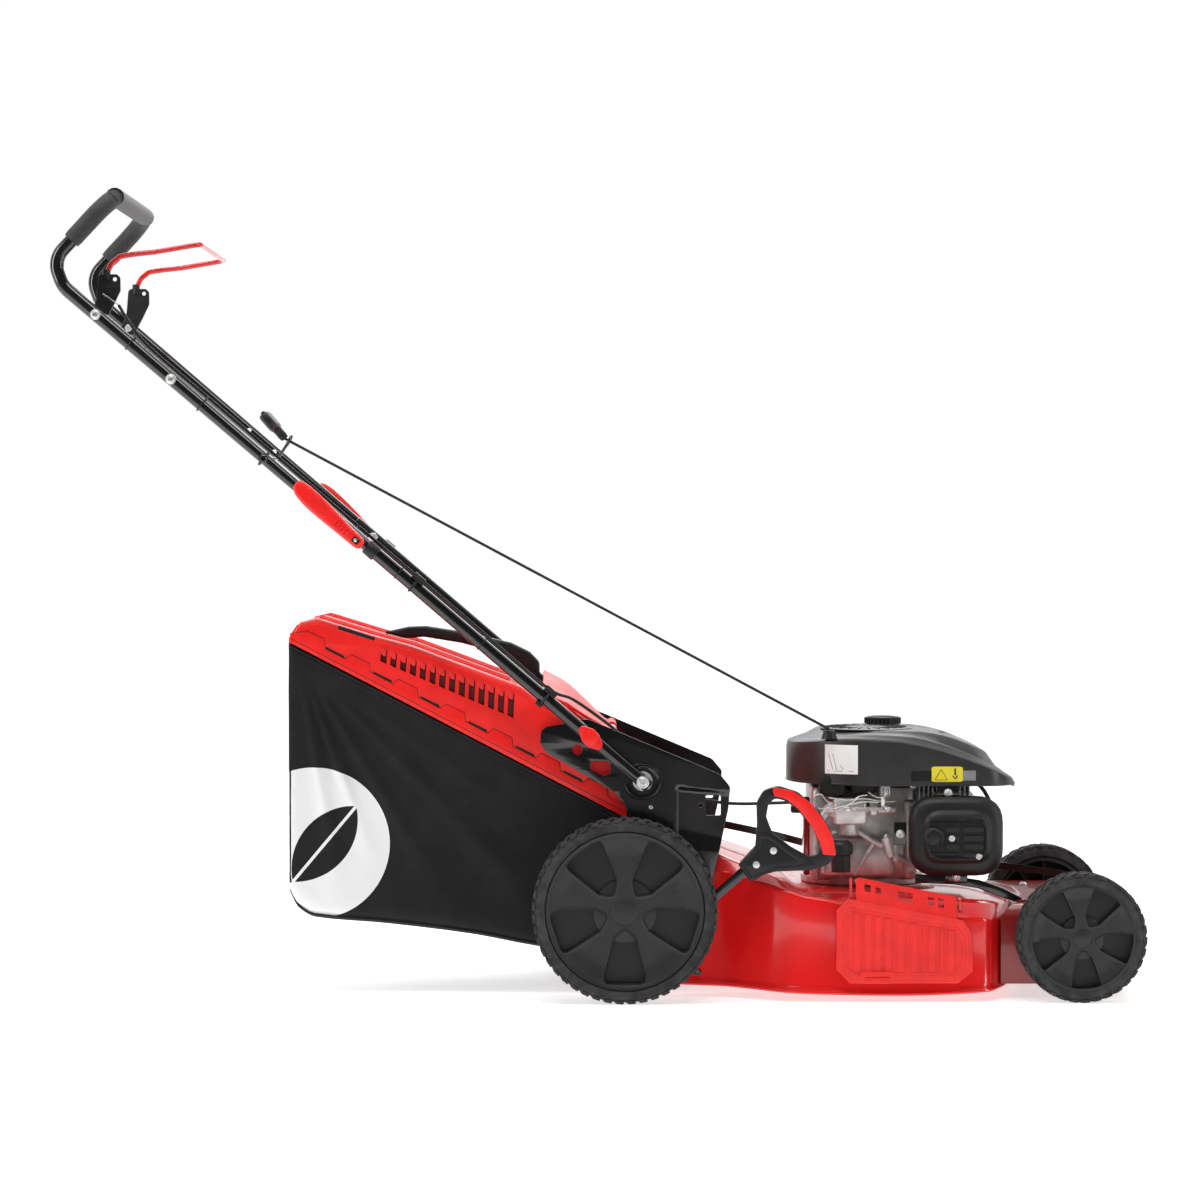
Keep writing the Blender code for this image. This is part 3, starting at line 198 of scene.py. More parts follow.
def smooth_route(points, count):
    """Evenly spaced points along a curve that passes smoothly through the given points."""
    points = [Vector(point) for point in points]
    padded = [2 * points[0] - points[1]] + points + [2 * points[-1] - points[-2]]
    fine = []
    for a, b, c, d in zip(padded, padded[1:], padded[2:], padded[3:]):
        for i in range(16):
            t = i / 16
            fine.append(0.5 * (2 * b + (c - a) * t + (2 * a - 5 * b + 4 * c - d) * t ** 2
                               + (3 * b - a - 3 * c + d) * t ** 3))
    fine.append(points[-1])
    lengths = [0.0]
    for a, b in zip(fine, fine[1:]):
        lengths.append(lengths[-1] + (b - a).length)
    result, index = [], 0
    for i in range(count):
        want = lengths[-1] * i / (count - 1)
        while index < len(lengths) - 2 and lengths[index + 1] < want:
            index += 1
        share = (want - lengths[index]) / (lengths[index + 1] - lengths[index])
        result.append(fine[index].lerp(fine[index + 1], min(1.0, share)))
    return result


def coil(start, end, across, radius, count, per_turn):
    """A spring's centre line between two points, wound round its axis in the plane of across and Z."""
    start, end, across, up = Vector(start), Vector(end), Vector(across), Vector((0, 0, 1))
    turns = [2 * math.pi * i / per_turn for i in range(count)]
    return [
        start.lerp(end, i / (count - 1)) + (across * math.cos(turn) + up * math.sin(turn)) * radius
        for i, turn in enumerate(turns)
    ]


def arc(centre, radius, start, end, steps):
    """Points (u, v) round a circle, angles in degrees."""
    return [
        (centre[0] + radius * math.cos(math.radians(start + (end - start) * i / steps)),
         centre[1] + radius * math.sin(math.radians(start + (end - start) * i / steps)))
        for i in range(steps + 1)
    ]


def loop(centre, radius, start, end, steps):
    return [Vector(point) for point in arc(centre, radius, start, end, steps)]


def facing(side, profile):
    """A (radius, position) profile, its positions counted toward the left (1) or the right (-1)."""
    return [(radius, side * position) for radius, position in profile]


def crossings(outline, x):
    """The v of each place where a closed (u, v) outline crosses u = x."""
    return [
        a.y + (b.y - a.y) * (x - a.x) / (b.x - a.x)
        for a, b in zip(outline, outline[1:] + outline[:1])
        if (a.x - x) * (b.x - x) <= 0 and abs(a.x - b.x) > 1e-9
    ]


def on_curve(x, stops):
    """The value at x on a smooth curve through (x, value) stops that doesn't overshoot them."""
    if x <= stops[0][0]:
        return stops[0][1]
    if x >= stops[-1][0]:
        return stops[-1][1]
    slopes = [(b[1] - a[1]) / (b[0] - a[0]) for a, b in zip(stops, stops[1:])]
    bends = [slopes[0]] + [2 * p * q / (p + q) if p * q > 0 else 0.0
        for p, q in zip(slopes, slopes[1:])] + [slopes[-1]]
    for index, ((x0, v0), (x1, v1)) in enumerate(zip(stops, stops[1:])):
        if x <= x1:
            t, span = (x - x0) / (x1 - x0), x1 - x0
            return (v0 * (1 + 2 * t) * (1 - t) ** 2 + bends[index] * span * t * (1 - t) ** 2
                    + v1 * t * t * (3 - 2 * t) - bends[index + 1] * span * t * t * (1 - t))
    return stops[-1][1]


# --- Objects -----------------------------------------------------------------------------------------


def build(name, shape, material, body, replaces=(), slot=None, sharp=35, bevel=0.0, segments=2, subdivide=0):
    """A mesh piece with the material, riding on a body and standing for CAD nodes."""
    mesh = bpy.data.meshes.new(name)
    mesh.from_pydata([tuple(point) for point in shape[0]], [], [tuple(face) for face in shape[1]])
    return settle(name, mesh, material, body, replaces, slot, sharp, bevel, segments, subdivide)


def settle(name, mesh, material, body, replaces=(), slot=None, sharp=35, bevel=0.0, segments=2, subdivide=0):
    """Make a piece of a finished mesh: its shading, edges, body and the CAD nodes it replaces. The slot
    argument is not used.
    """
    clean = bmesh.new()
    clean.from_mesh(mesh)
    bmesh.ops.remove_doubles(clean, verts=clean.verts, dist=1e-6)
    bmesh.ops.recalc_face_normals(clean, faces=clean.faces)
    clean.to_mesh(mesh)
    clean.free()
    mesh.materials.clear()
    mesh.materials.append(material)
    mesh.shade_smooth()
    mesh.set_sharp_from_angle(angle=math.radians(sharp))
    piece = bpy.data.objects.new(name, mesh)
    bpy.context.scene.collection.objects.link(piece)
    if bevel:
        edge = piece.modifiers.new("edge", "BEVEL")
        edge.width, edge.segments = bevel, segments
        edge.limit_method, edge.angle_limit = "ANGLE", math.radians(40)
        edge.harden_normals = True
    if subdivide:
        rounder = piece.modifiers.new("rounder", "SUBSURF")
        rounder.levels = rounder.render_levels = subdivide
    if body:
        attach(piece, body)
    if replaces:
        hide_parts(*([replaces] if isinstance(replaces, str) else replaces))
    return piece


def thicken(piece, thickness, offset=-1.0):
    """Give a surface its wall; the offset says on which side."""
    shell = piece.modifiers.new("thickness", "SOLIDIFY")
    shell.thickness, shell.offset = thickness, offset


def plate_mesh(outline, holes, thickness, edge, segments=2):
    """A flat plate in local XY with rounded edges, made as a filled curve. The outline keeps its size."""
    curve = bpy.data.curves.new("plate", "CURVE")
    curve.dimensions = "2D"
    curve.fill_mode = "BOTH"
    curve.extrude = max(1e-5, thickness / 2 - edge)
    curve.bevel_depth, curve.bevel_resolution = edge, segments
    curve.offset = -edge
    for ring in [outline, *holes]:
        spline = curve.splines.new("POLY")
        spline.points.add(len(ring) - 1)
        for target, point in zip(spline.points, ring):
            target.co = (point[0], point[1], 0, 1)
        spline.use_cyclic_u = True
    holder = bpy.data.objects.new("plate", curve)
    bpy.context.scene.collection.objects.link(holder)
    graph = bpy.context.evaluated_depsgraph_get()
    mesh = bpy.data.meshes.new_from_object(holder.evaluated_get(graph))
    bpy.data.objects.remove(holder)
    bpy.data.curves.remove(curve)
    return mesh


UPRIGHT = Matrix(((1, 0, 0, 0), (0, 0, -1, 0), (0, 1, 0, 0), (0, 0, 0, 1)))


def plate(name, outline, y0, y1, material, body, holes=(), edge=0.0006, bend=None, **options):
    """A plate whose outline lies in X and Z, between two Y levels. Bend, if given, moves each point."""
    mesh = plate_mesh(outline, holes, abs(y1 - y0), edge)
    mesh.transform(Matrix.Translation((0, (y0 + y1) / 2, 0)) @ UPRIGHT)
    if bend:
        for vertex in mesh.vertices:
            vertex.co = bend(vertex.co)
    return settle(name, mesh, material, body, **options)


def plate_shape(outline, thickness, edge, y):
    """A plate in X and Z as (vertices, faces), to join with others."""
    mesh = plate_mesh(outline, [], thickness, edge)
    mesh.transform(Matrix.Translation((0, y, 0)) @ UPRIGHT)
    shape = [v.co.copy() for v in mesh.vertices], [tuple(p.vertices) for p in mesh.polygons]
    bpy.data.meshes.remove(mesh)
    return shape


def joined(shapes):
    """Several shapes as one (vertices, faces)."""
    vertices, faces = [], []
    for more_vertices, more_faces in shapes:
        base = len(vertices)
        vertices += list(more_vertices)
        faces += [tuple(index + base for index in face) for face in more_faces]
    return vertices, faces


def box(low, high):
    (x0, y0, z0), (x1, y1, z1) = low, high
    return loft([[(x0, y, z0), (x1, y, z0), (x1, y, z1), (x0, y, z1)] for y in (y0, y1)])


def hexagon_head(centre, axis, across, height, flange=0.0, recess=0.0):
    """A hexagon bolt head, with a washer under it when a flange radius is given."""
    turn = Vector((0, 0, 1)).rotation_difference(Vector(axis)).to_matrix()
    radius = across / math.sqrt(3)
    rings = []
    for size, level in ((1.0, 0.0), (1.0, height * 0.85), (0.86, height), (0.5, height - recess)):
        rings.append([
            Vector(centre) + turn @ Vector((radius * size * math.cos(a), radius * size * math.sin(a), level))
            for a in (math.radians(60 * k) for k in range(6))
        ])
    shapes = [loft(rings)]
    if flange:
        shapes.append(solid_turned([(flange * 0.4, -0.0002), (flange, -0.0002), (flange, 0.001),
                    (flange * 0.9, 0.0014), (flange * 0.3, 0.0014)], centre, axis))
    return joined(shapes)


def round_head(centre, axis, radius, height, recess=True):
    """A domed bolt head with a washer's flange and a small hexagon recess."""
    profile = [(radius, 0), (radius, height * 0.25), (radius * 0.97, height * 0.4),
        (radius * 0.78, height * 0.5), (radius * 0.72, height * 0.85), (radius * 0.6, height),
        (radius * 0.34, height)]
    if recess:
        profile += [(radius * 0.3, height * 0.55), (0.0001, height * 0.5)]
    else:
        profile += [(0.0001, height * 1.02)]
    return solid_turned(profile, centre, axis, 32)


# --- Materials ---------------------------------------------------------------------------------------


class Paint:
    """A Principled material under construction, with helpers for its procedural detail."""

    def __init__(self, name, colour, roughness, metallic=0.0, coat=0.0, sheen=0.0, slot=None, shine=0.5):
        self.material = bpy.data.materials.new(name)
        self.material.use_nodes = True
        self.tree = self.material.node_tree
        self.shader = self.tree.nodes["Principled BSDF"]
        self.colour, self.roughness = colour, roughness
        self.shader.inputs["Base Color"].default_value = (*colour, 1)
        self.shader.inputs["Roughness"].default_value = roughness
        self.shader.inputs["Metallic"].default_value = metallic
        self.shader.inputs["Specular IOR Level"].default_value = shine
        self.shader.inputs["Coat Weight"].default_value = coat
        self.shader.inputs["Coat Roughness"].default_value = 0.06
        self.shader.inputs["Sheen Weight"].default_value = sheen
        self.place = self.tree.nodes.new("ShaderNodeTexCoord").outputs["Object"]
        self.height = None
        self.material["slot"] = slot or name

    def link(self, a, b):
        self.tree.links.new(a, b)

    def node(self, kind, **values):
        node = self.tree.nodes.new(kind)
        for key, value in values.items():
            setattr(node, key, value)
        return node

    def stretched(self, scale=(1, 1, 1), rotation=(0, 0, 0)):
        mapping = self.node("ShaderNodeMapping")
        mapping.inputs["Scale"].default_value = scale
        mapping.inputs["Rotation"].default_value = rotation
        self.link(self.place, mapping.inputs["Vector"])
        return mapping.outputs["Vector"]

    def noise(self, scale, detail=3.0, where=None, roughness=0.55):
        node = self.node("ShaderNodeTexNoise")
        node.inputs["Scale"].default_value = scale
        node.inputs["Detail"].default_value = detail
        node.inputs["Roughness"].default_value = roughness
        self.link(where or self.place, node.inputs["Vector"])
        return node.outputs["Fac"]

    def cells(self, scale, where=None):
        node = self.node("ShaderNodeTexVoronoi")
        node.inputs["Scale"].default_value = scale
        self.link(where or self.place, node.inputs["Vector"])
        return node.outputs["Distance"]

    def wave(self, scale, direction="X", where=None, profile="SIN"):
        node = self.node("ShaderNodeTexWave", bands_direction=direction, wave_profile=profile)
        node.inputs["Scale"].default_value = scale
        self.link(where or self.place, node.inputs["Vector"])
        return node.outputs["Fac"]

    def ramp(self, value, low, high, from_low=0.3, from_high=0.7):
        node = self.node("ShaderNodeMapRange")
        for key, number in (("From Min", from_low), ("From Max", from_high), ("To Min", low),
                ("To Max", high)):
            node.inputs[key].default_value = number
        self.link(value, node.inputs["Value"])
        return node.outputs["Result"]

    def math(self, operation, a, b):
        node = self.node("ShaderNodeMath", operation=operation)
        for socket, value in zip(node.inputs, (a, b)):
            if isinstance(value, (int, float)):
                socket.default_value = value
            else:
                self.link(value, socket)
        return node.outputs[0]

    def mix_colour(self, factor, a, b):
        node = self.node("ShaderNodeMix", data_type="RGBA")
        self.link(factor, node.inputs["Factor"])
        for socket, value in ((node.inputs[6], a), (node.inputs[7], b)):
            if isinstance(value, tuple):
                socket.default_value = (*value, 1)
            else:
                self.link(value, socket)
        return node.outputs[2]

    def vary_colour(self, factor, a, b):
        result = self.mix_colour(factor, a, b)
        self.link(result, self.shader.inputs["Base Color"])
        return result

    def vary_roughness(self, value, spread):
        self.link(self.ramp(value, self.roughness - spread, self.roughness + spread),
            self.shader.inputs["Roughness"])
        return self

    def bump(self, value, strength, depth):
        node = self.node("ShaderNodeBump")
        node.inputs["Strength"].default_value = strength
        node.inputs["Distance"].default_value = depth
        self.link(value, node.inputs["Height"])
        if self.height:
            self.link(self.height, node.inputs["Normal"])
        self.height = node.outputs["Normal"]
        self.link(self.height, self.shader.inputs["Normal"])
        return self


def shades(colour, spread):
    return tuple(c * (1 - spread) for c in colour), tuple(min(1.0, c * (1 + spread)) for c in colour)


def lacquer(name, colour, slot, roughness=0.24):
    """Powder paint on steel: glossy, with a faint orange peel and a little dust in its shine."""
    paint = Paint(name, colour, roughness, coat=0.6, slot=slot)
    paint.bump(paint.noise(420, 2), 0.05, 0.00012)
    paint.vary_roughness(paint.noise(14, 5), 0.05)
    paint.vary_colour(paint.ramp(paint.noise(9, 4), 0, 1), *shades(colour, 0.06))
    return paint.material


def moulded(name, colour, slot, roughness=0.42, grain=900, depth=0.25, spread=0.1):
    """Moulded plastic with a fine spark-eroded grain."""
    paint = Paint(name, colour, roughness, slot=slot, shine=0.4)
    paint.bump(paint.noise(grain, 2), depth, 0.00005)
    paint.vary_roughness(paint.noise(22, 5), 0.06)
    paint.vary_colour(paint.ramp(paint.noise(30, 5), 0, 1), *shades(colour, spread))
    return paint.material


def tyre_rubber():
    """Dull black rubber, slightly dusty and finely rough."""
    paint = Paint("tyre_rubber", (0.034, 0.034, 0.035), 0.78, slot="rubber", shine=0.3)
    paint.bump(paint.noise(260, 5, roughness=0.7), 0.5, 0.00022)
    paint.vary_roughness(paint.noise(60, 4), 0.1)
    paint.vary_colour(paint.ramp(paint.noise(48, 6, roughness=0.65), 0, 1, 0.36, 0.68),
        (0.021, 0.021, 0.0215), (0.058, 0.057, 0.056))
    return paint.material


def grip_foam():
    """Closed-cell foam with small pits."""
    paint = Paint("grip_foam", (0.03, 0.03, 0.031), 0.62, sheen=0.12, slot="foam", shine=0.45)
    paint.bump(paint.cells(1400), 0.4, 0.00012)
    paint.bump(paint.noise(90, 4), 0.15, 0.0004)
    paint.vary_colour(paint.ramp(paint.noise(160, 4), 0, 1), (0.02, 0.02, 0.0205), (0.034, 0.034, 0.035))
    return paint.material


def woven(name, colour, slot, thread=0.0007, contrast=0.5):
    """Coated woven cloth: warp and weft as crossed waves, with slubs, dust and a soft sheen."""
    paint = Paint(name, colour, 0.74, sheen=0.03, slot=slot, shine=0.22)
    bands = 1 / thread / 20
    warp = paint.wave(bands * 3.1, "X")
    weft = paint.wave(bands * 3.1, "Z")
    weave = paint.math("MULTIPLY", warp, weft)
    paint.bump(weave, 0.55, 0.0003)
    paint.bump(paint.noise(35, 5), 0.12, 0.002)
    dust = paint.ramp(paint.noise(18, 6, roughness=0.62), 0, 1, 0.35, 0.75)
    light = tuple(c * (1 + contrast) + 0.004 for c in colour)
    speckle = paint.mix_colour(weave, shades(colour, 0.25)[0], light)
    paint.vary_colour(dust, speckle, tuple(c * 1.5 + 0.003 for c in colour))
    return paint


def cast_metal():
    """Sand-cast aluminium with a grainy skin."""
    paint = Paint("cast_aluminium", (0.7, 0.695, 0.68), 0.44, metallic=0.6, slot="cast_aluminium")
    paint.bump(paint.noise(380, 4, roughness=0.7), 0.35, 0.0005)
    paint.bump(paint.noise(30, 4), 0.25, 0.002)
    paint.vary_roughness(paint.noise(40, 5), 0.14)
    paint.vary_colour(paint.ramp(paint.noise(34, 6), 0, 1, 0.3, 0.66), (0.46, 0.455, 0.45),
        (0.84, 0.835, 0.82))
    return paint.material


def plated_steel(name="zinc_plate", colour=(0.78, 0.78, 0.77), roughness=0.32):
    """Bright plated steel, faintly clouded."""
    paint = Paint(name, colour, roughness, metallic=0.6, slot="steel")
    paint.bump(paint.noise(700, 3), 0.1, 0.0003)
    paint.vary_roughness(paint.noise(120, 4), 0.1)
    paint.vary_colour(paint.ramp(paint.noise(90, 4), 0, 1), tuple(c * 0.8 for c in colour),
        tuple(min(1, c * 1.12) for c in colour))
    return paint.material


def dark_steel():
    """Oil-dark rolled steel."""
    paint = Paint("blade_steel", (0.1, 0.1, 0.105), 0.45, metallic=0.9, slot="blade_steel")
    paint.bump(paint.noise(300, 4, paint.stretched((1, 8, 1))), 0.2, 0.0004)
    paint.vary_roughness(paint.noise(70, 5), 0.12)
    paint.vary_colour(paint.ramp(paint.noise(40, 6), 0, 1), (0.06, 0.055, 0.05), (0.17, 0.17, 0.175))
    return paint.material


def rope_fibre():
    """Braided dark cord."""
    paint = Paint("rope_fibre", (0.02, 0.02, 0.021), 0.85, sheen=0.2, slot="rope")
    turned_place = paint.stretched((1, 1, 1), (0, math.radians(28), 0))
    paint.bump(paint.wave(260, "DIAGONAL", turned_place), 0.5, 0.0004)
    paint.vary_colour(paint.wave(260, "DIAGONAL", turned_place), (0.008, 0.008, 0.009), (0.022, 0.022, 0.023))
    return paint.material


def printed(name, colour, roughness=0.35):
    """Smooth printed film for the plain labels."""
    paint = Paint(name, colour, roughness, slot="shroud_plastic")
    paint.bump(paint.noise(500, 2), 0.06, 0.0002)
    paint.vary_roughness(paint.noise(60, 3), 0.05)
    return paint.material


RED_PAINT = lacquer("red_lacquer", (0.8, 0.0095, 0.01), "red_paint", 0.22)
BAIL_RED = lacquer("bail_lacquer", (0.62, 0.009, 0.009), "red_plastic", 0.26)
DARK_RED = lacquer("dark_red_lacquer", (0.3, 0.012, 0.012), "red_paint", 0.34)
BLACK_PAINT = lacquer("black_lacquer", (0.0075, 0.0075, 0.008), "black_paint", 0.17)
RED_PLASTIC = moulded("red_moulding", (0.9, 0.017, 0.013), "red_plastic", 0.36)
FLAP_PLASTIC = moulded("flap_moulding", (0.84, 0.024, 0.02), "red_plastic", 0.46)
# Dark red for painted shade: the sheet behind the lid's vents, the shadow line along its tabs and its groove
# line.
SHADE_RED = moulded("painted_shade_red", (0.13, 0.004, 0.003), "red_plastic", 0.55)
BLACK_PLASTIC = moulded("black_moulding", (0.011, 0.011, 0.0115), "black_plastic", 0.44)
HUB_PLASTIC = moulded("hub_moulding", (0.019, 0.019, 0.0195), "black_plastic", 0.46, 1100, 0.3)
SHROUD = moulded("shroud_moulding", (0.03, 0.0295, 0.029), "shroud_plastic", 0.36, 1500, 0.45)
# Near black; among other uses, painted shade in slots, holes and under the cowl.
DEEP_BLACK = moulded("deep_black", (0.004, 0.004, 0.004), "black_plastic", 0.6)
# Darker than the hub plastic: painted shade for the floor deep behind the wheels' pockets.
POCKET_SHADE = moulded("pocket_painted_shade", (0.01, 0.01, 0.01), "black_plastic", 0.5)
RUBBER = tyre_rubber()
FOAM = grip_foam()
ALUMINIUM = cast_metal()
ZINC = plated_steel()
BARE_STEEL = plated_steel("bare_steel", (0.58, 0.58, 0.585), 0.33)
BLADE = dark_steel()
ROPE = rope_fibre()
# White for the side label's print, and for the drilled holes in the handle tube, where it is painted light:
# the bright room seen through the holes.
WHITE_PRINT_AND_HOLE_LIGHT = printed("white_print_and_hole_light", (0.93, 0.93, 0.93))
YELLOW_LABEL = printed("yellow_label", (0.8, 0.66, 0.03))
GREY_LABEL = printed("grey_label", (0.23, 0.23, 0.23))
INK = printed("label_ink", (0.02, 0.02, 0.02))


# --- Stage: floor, light and the camera at the photograph's view --------------------------------------

CAMERA_PLACE = (-0.0126, -6.0, 0.7525)
CAMERA_PITCH = math.radians(88.694)
CAMERA_YAW = math.radians(-0.154)
LENS = 111.87

# The studio is dim toward the front, so that the object's near side stays deep in colour, but the camera sees
# it white all round.
DIM_SIDE, BRIGHT_SIDE = 0.06, 1.02
BACK_OF_ROOM = (0.0, 0.94, 0.34)
FLOOR_FADE = (-2.8, -2.0)
FLOOR_HALF = 40.0


def eased(tree, value, ends, dark, bright, smooth=True):
    """A socket that goes from dark to bright as the value goes between the two ends."""
    node = tree.nodes.new("ShaderNodeMapRange")
    node.interpolation_type = "SMOOTHSTEP" if smooth else "LINEAR"
    for socket, number in zip(("From Min", "From Max", "To Min", "To Max"), (*ends, dark, bright)):
        node.inputs[socket].default_value = number
    tree.links.new(value, node.inputs["Value"])
    return node.outputs["Result"]


def lit_and_seen(tree, lit, seen, target):
    """Feed a socket with one value for the light it gives and another for what the camera sees of it."""
    mix = tree.nodes.new("ShaderNodeMix")
    tree.links.new(tree.nodes.new("ShaderNodeLightPath").outputs["Is Camera Ray"], mix.inputs["Factor"])
    tree.links.new(lit, mix.inputs["A"])
    if isinstance(seen, float):
        mix.inputs["B"].default_value = seen
    else:
        tree.links.new(seen, mix.inputs["B"])
    tree.links.new(mix.outputs["Result"], target)


def make_camera(scene):
    """The photograph's view."""
    camera = bpy.data.objects.new("camera", bpy.data.cameras.new("camera"))
    camera.data.lens, camera.data.sensor_width = LENS, 36
    camera.location = CAMERA_PLACE
    camera.rotation_euler = (CAMERA_PITCH, 0, CAMERA_YAW)
    scene.collection.objects.link(camera)
    scene.camera = camera


def make_world(scene):
    """Light from all round, dim from the front."""
    world = bpy.data.worlds.new("studio")
    world.use_nodes = True
    tree = world.node_tree
    background = tree.nodes["Background"]
    background.inputs["Color"].default_value = (1.0, 1.0, 1.0, 1)
    toward_back = tree.nodes.new("ShaderNodeVectorMath")
    toward_back.operation = "DOT_PRODUCT"
    toward_back.inputs[1].default_value = BACK_OF_ROOM
    tree.links.new(tree.nodes.new("ShaderNodeTexCoord").outputs["Generated"], toward_back.inputs[0])
    strength = eased(tree, toward_back.outputs["Value"], (0.02, 0.5), DIM_SIDE, BRIGHT_SIDE)
    lit_and_seen(tree, strength, BRIGHT_SIDE, background.inputs["Strength"])
    scene.world = world


def make_floor(scene):
    """A white floor that darkens toward the front for everything but the camera."""
    ground = bpy.data.materials.new("studio_floor")
    ground.use_nodes = True
    tree = ground.node_tree
    shader = tree.nodes["Principled BSDF"]
    shader.inputs["Roughness"].default_value = 0.7
    shader.inputs["Emission Color"].default_value = (1, 1, 1, 1)
    split = tree.nodes.new("ShaderNodeSeparateXYZ")
    tree.links.new(tree.nodes.new("ShaderNodeTexCoord").outputs["Object"], split.inputs[0])
    for key, dark, bright, seen_as in (("Emission Strength", 0.02, 0.62, 0.95),
            ("Base Color", 0.2, 0.8, 0.8)):
        lit = eased(tree, split.outputs["Y"], FLOOR_FADE, dark, bright)
        seen = eased(tree, split.outputs["Y"], FLOOR_FADE, seen_as, bright, smooth=False)
        lit_and_seen(tree, lit, seen, shader.inputs[key])
    mesh = bpy.data.meshes.new("floor")
    corners = [(u * FLOOR_HALF, v * FLOOR_HALF, 0) for u, v in ((-1, -1), (1, -1), (1, 1), (-1, 1))]
    mesh.from_pydata(corners, [], [(0, 1, 2, 3)])
    mesh.materials.append(ground)
    floor = bpy.data.objects.new("floor", mesh)
    floor.location.z = -0.0005
    scene.collection.objects.link(floor)


LAMPS = (
    # name, place, width, height, watts
    ("top_soft", (-0.2, -0.9, 2.8), 2.6, 0.7, 36),
    ("left_soft", (-3.0, -1.2, 1.5), 0.5, 2.4, 40),
    ("right_soft", (3.0, -1.5, 1.2), 0.4, 2.0, 24),
    ("front_soft", (-1.2, -4.0, 3.0), 1.0, 0.8, 10),
    ("back_soft", (0.2, 3.0, 2.2), 3.0, 1.4, 30),
)
LAMP_TARGET = Vector((0.05, 0, 0.4))


def make_stage():
    """Camera, world, floor and soft lamps."""
    scene = bpy.context.scene
    scene.view_settings.view_transform = "Standard"
    scene.view_settings.look = "None"
    make_camera(scene)
    make_world(scene)
    make_floor(scene)
    for name, place, width, height, watts in LAMPS:
        light = bpy.data.lights.new(name, "AREA")
        light.shape, light.size, light.size_y, light.energy = "RECTANGLE", width, height, watts
        lamp = bpy.data.objects.new(name, light)
        lamp.location = place
        lamp.rotation_euler = (LAMP_TARGET - Vector(place)).to_track_quat("-Z", "Y").to_euler()
        scene.collection.objects.link(lamp)


# --- Wheels ------------------------------------------------------------------------------------------


def pocket_outline(radius, steps=5):
    """One wheel pocket about its own downward centre line: a trapezoid with round corners, in metres."""
    corners = [
        (-0.245 * radius, -0.785 * radius, 0.075 * radius), (0.245 * radius, -0.785 * radius, 0.075 * radius),
        (0.12 * radius, -0.31 * radius, 0.075 * radius), (0.0, -0.19 * radius, 0.06 * radius),
        (-0.12 * radius, -0.31 * radius, 0.075 * radius),
    ]
    outline = rounded_outline(corners, 0, steps)
    fine = []
    for a, b in zip(outline, outline[1:] + outline[:1]):
        count = max(1, math.ceil((b - a).length / (0.04 * radius)))
        fine += [a.lerp(b, step / count) for step in range(count)]
    return fine


def dish(radius, r):
    """How far the wheel's face lies below its rim at a distance from the centre."""
    share = r / radius
    return on_curve(share, ((0.15, 0.0052), (0.6, 0.006), (0.655, 0.0064), (0.7, 0.004), (0.76, 0.0018),
            (0.81, 0.0008)))


def offset_loop(loop, distance):
    """A closed (u, v) loop moved outwards, for one that runs anticlockwise."""
    result = []
    count = len(loop)
    for index, point in enumerate(loop):
        run = (loop[(index + 1) % count] - loop[index - 1]).normalized()
        result.append(point + Vector((run.y, -run.x)) * distance)
    return result


def wheel_face(radius, centre, outward, face_y, turn):
    """The five-spoke face: from each pocket's floor over its rounded lip to the sector's edges."""
    vertices, faces = [], []
    inner, outer, half = 0.155 * radius, 0.812 * radius, math.radians(36)
    pocket = pocket_outline(radius)
    middle = Vector((0, -0.52 * radius))

    def sector_edge(direction):
        best = 1e9
        for angle in (-half, half):
            wall = Vector((math.sin(angle), -math.cos(angle)))
            normal = Vector((wall.y, -wall.x))
            slope = direction.dot(normal)
            if abs(slope) > 1e-9:
                reach = -middle.dot(normal) / slope
                if reach > 0:
                    best = min(best, reach)
        for size in (inner, outer):
            b, c = middle.dot(direction), middle.length_squared - size * size
            root = b * b - c
            if root > 0:
                for reach in (-b - math.sqrt(root), -b + math.sqrt(root)):
                    if reach > 1e-6:
                        best = min(best, reach)
        return middle + direction * best

    lip = 0.01 * radius
    depth = 0.0135
    loops = [(offset_loop(pocket, -0.55 * lip), depth), (offset_loop(pocket, -0.25 * lip), depth * 0.25),
        (pocket, 0.0016), (offset_loop(pocket, 0.35 * lip), 0.0001),
        (offset_loop(pocket, 0.9 * lip), -0.0007), (offset_loop(pocket, 1.7 * lip), -0.0004),
        (offset_loop(pocket, 2.3 * lip), 0.0)]
    start = loops[-1][0]
    edges = [sector_edge((point - middle).normalized()) for point in start]
    for size in (inner, outer):
        for angle in (-half, half):
            corner = Vector((math.sin(angle), -math.cos(angle))) * size
            edges[min(range(len(edges)), key=lambda index: (edges[index] - corner).length)] = corner
    for share in (0.2, 0.4, 0.6, 0.8, 1.0):
        loops.append(([a.lerp(b, share) for a, b in zip(start, edges)], 0.0))
    for sector in range(5):
        angle = math.radians(72 * sector) + turn
        cos, sin = math.cos(angle), math.sin(angle)
        rings = []
        for loop, drop in loops:
            ring = []
            for point in loop:
                r = min(point.length, outer)
                level = face_y - outward * (dish(radius, r) + drop)
                if drop == depth:
                    level = face_y - outward * (depth + 0.004)
                ring.append(Vector((centre.x + point.x * cos - point.y * sin, level,
                            centre.z + point.x * sin + point.y * cos)))
            rings.append(ring)
        more_vertices, more_faces = loft(rings, start_cap=False, end_cap=False)
        base = len(vertices)
        vertices += more_vertices
        faces += [tuple(index + base for index in face) for face in more_faces]
    return vertices, faces


def lug(centre, radius, angle, span, y0, y1, skew, height, outward):
    """One tread block, bent to the tyre, with its outer face slightly narrower than its root."""
    vertices = []
    for level, shrink in ((radius - height - 0.001, 1.0), (radius, 0.86)):
        for y, lean in ((y0, -skew), (y1, skew)):
            for side in (-1, 1):
                a = angle + lean + side * span / 2 * shrink
                vertices.append(Vector((centre.x + level * math.cos(a), centre.y + outward * y,
                            centre.z + level * math.sin(a))))
    faces = [(0, 1, 3, 2), (4, 5, 7, 6), (0, 1, 5, 4), (2, 3, 7, 6), (0, 2, 6, 4), (1, 3, 7, 5)]
    return vertices, faces


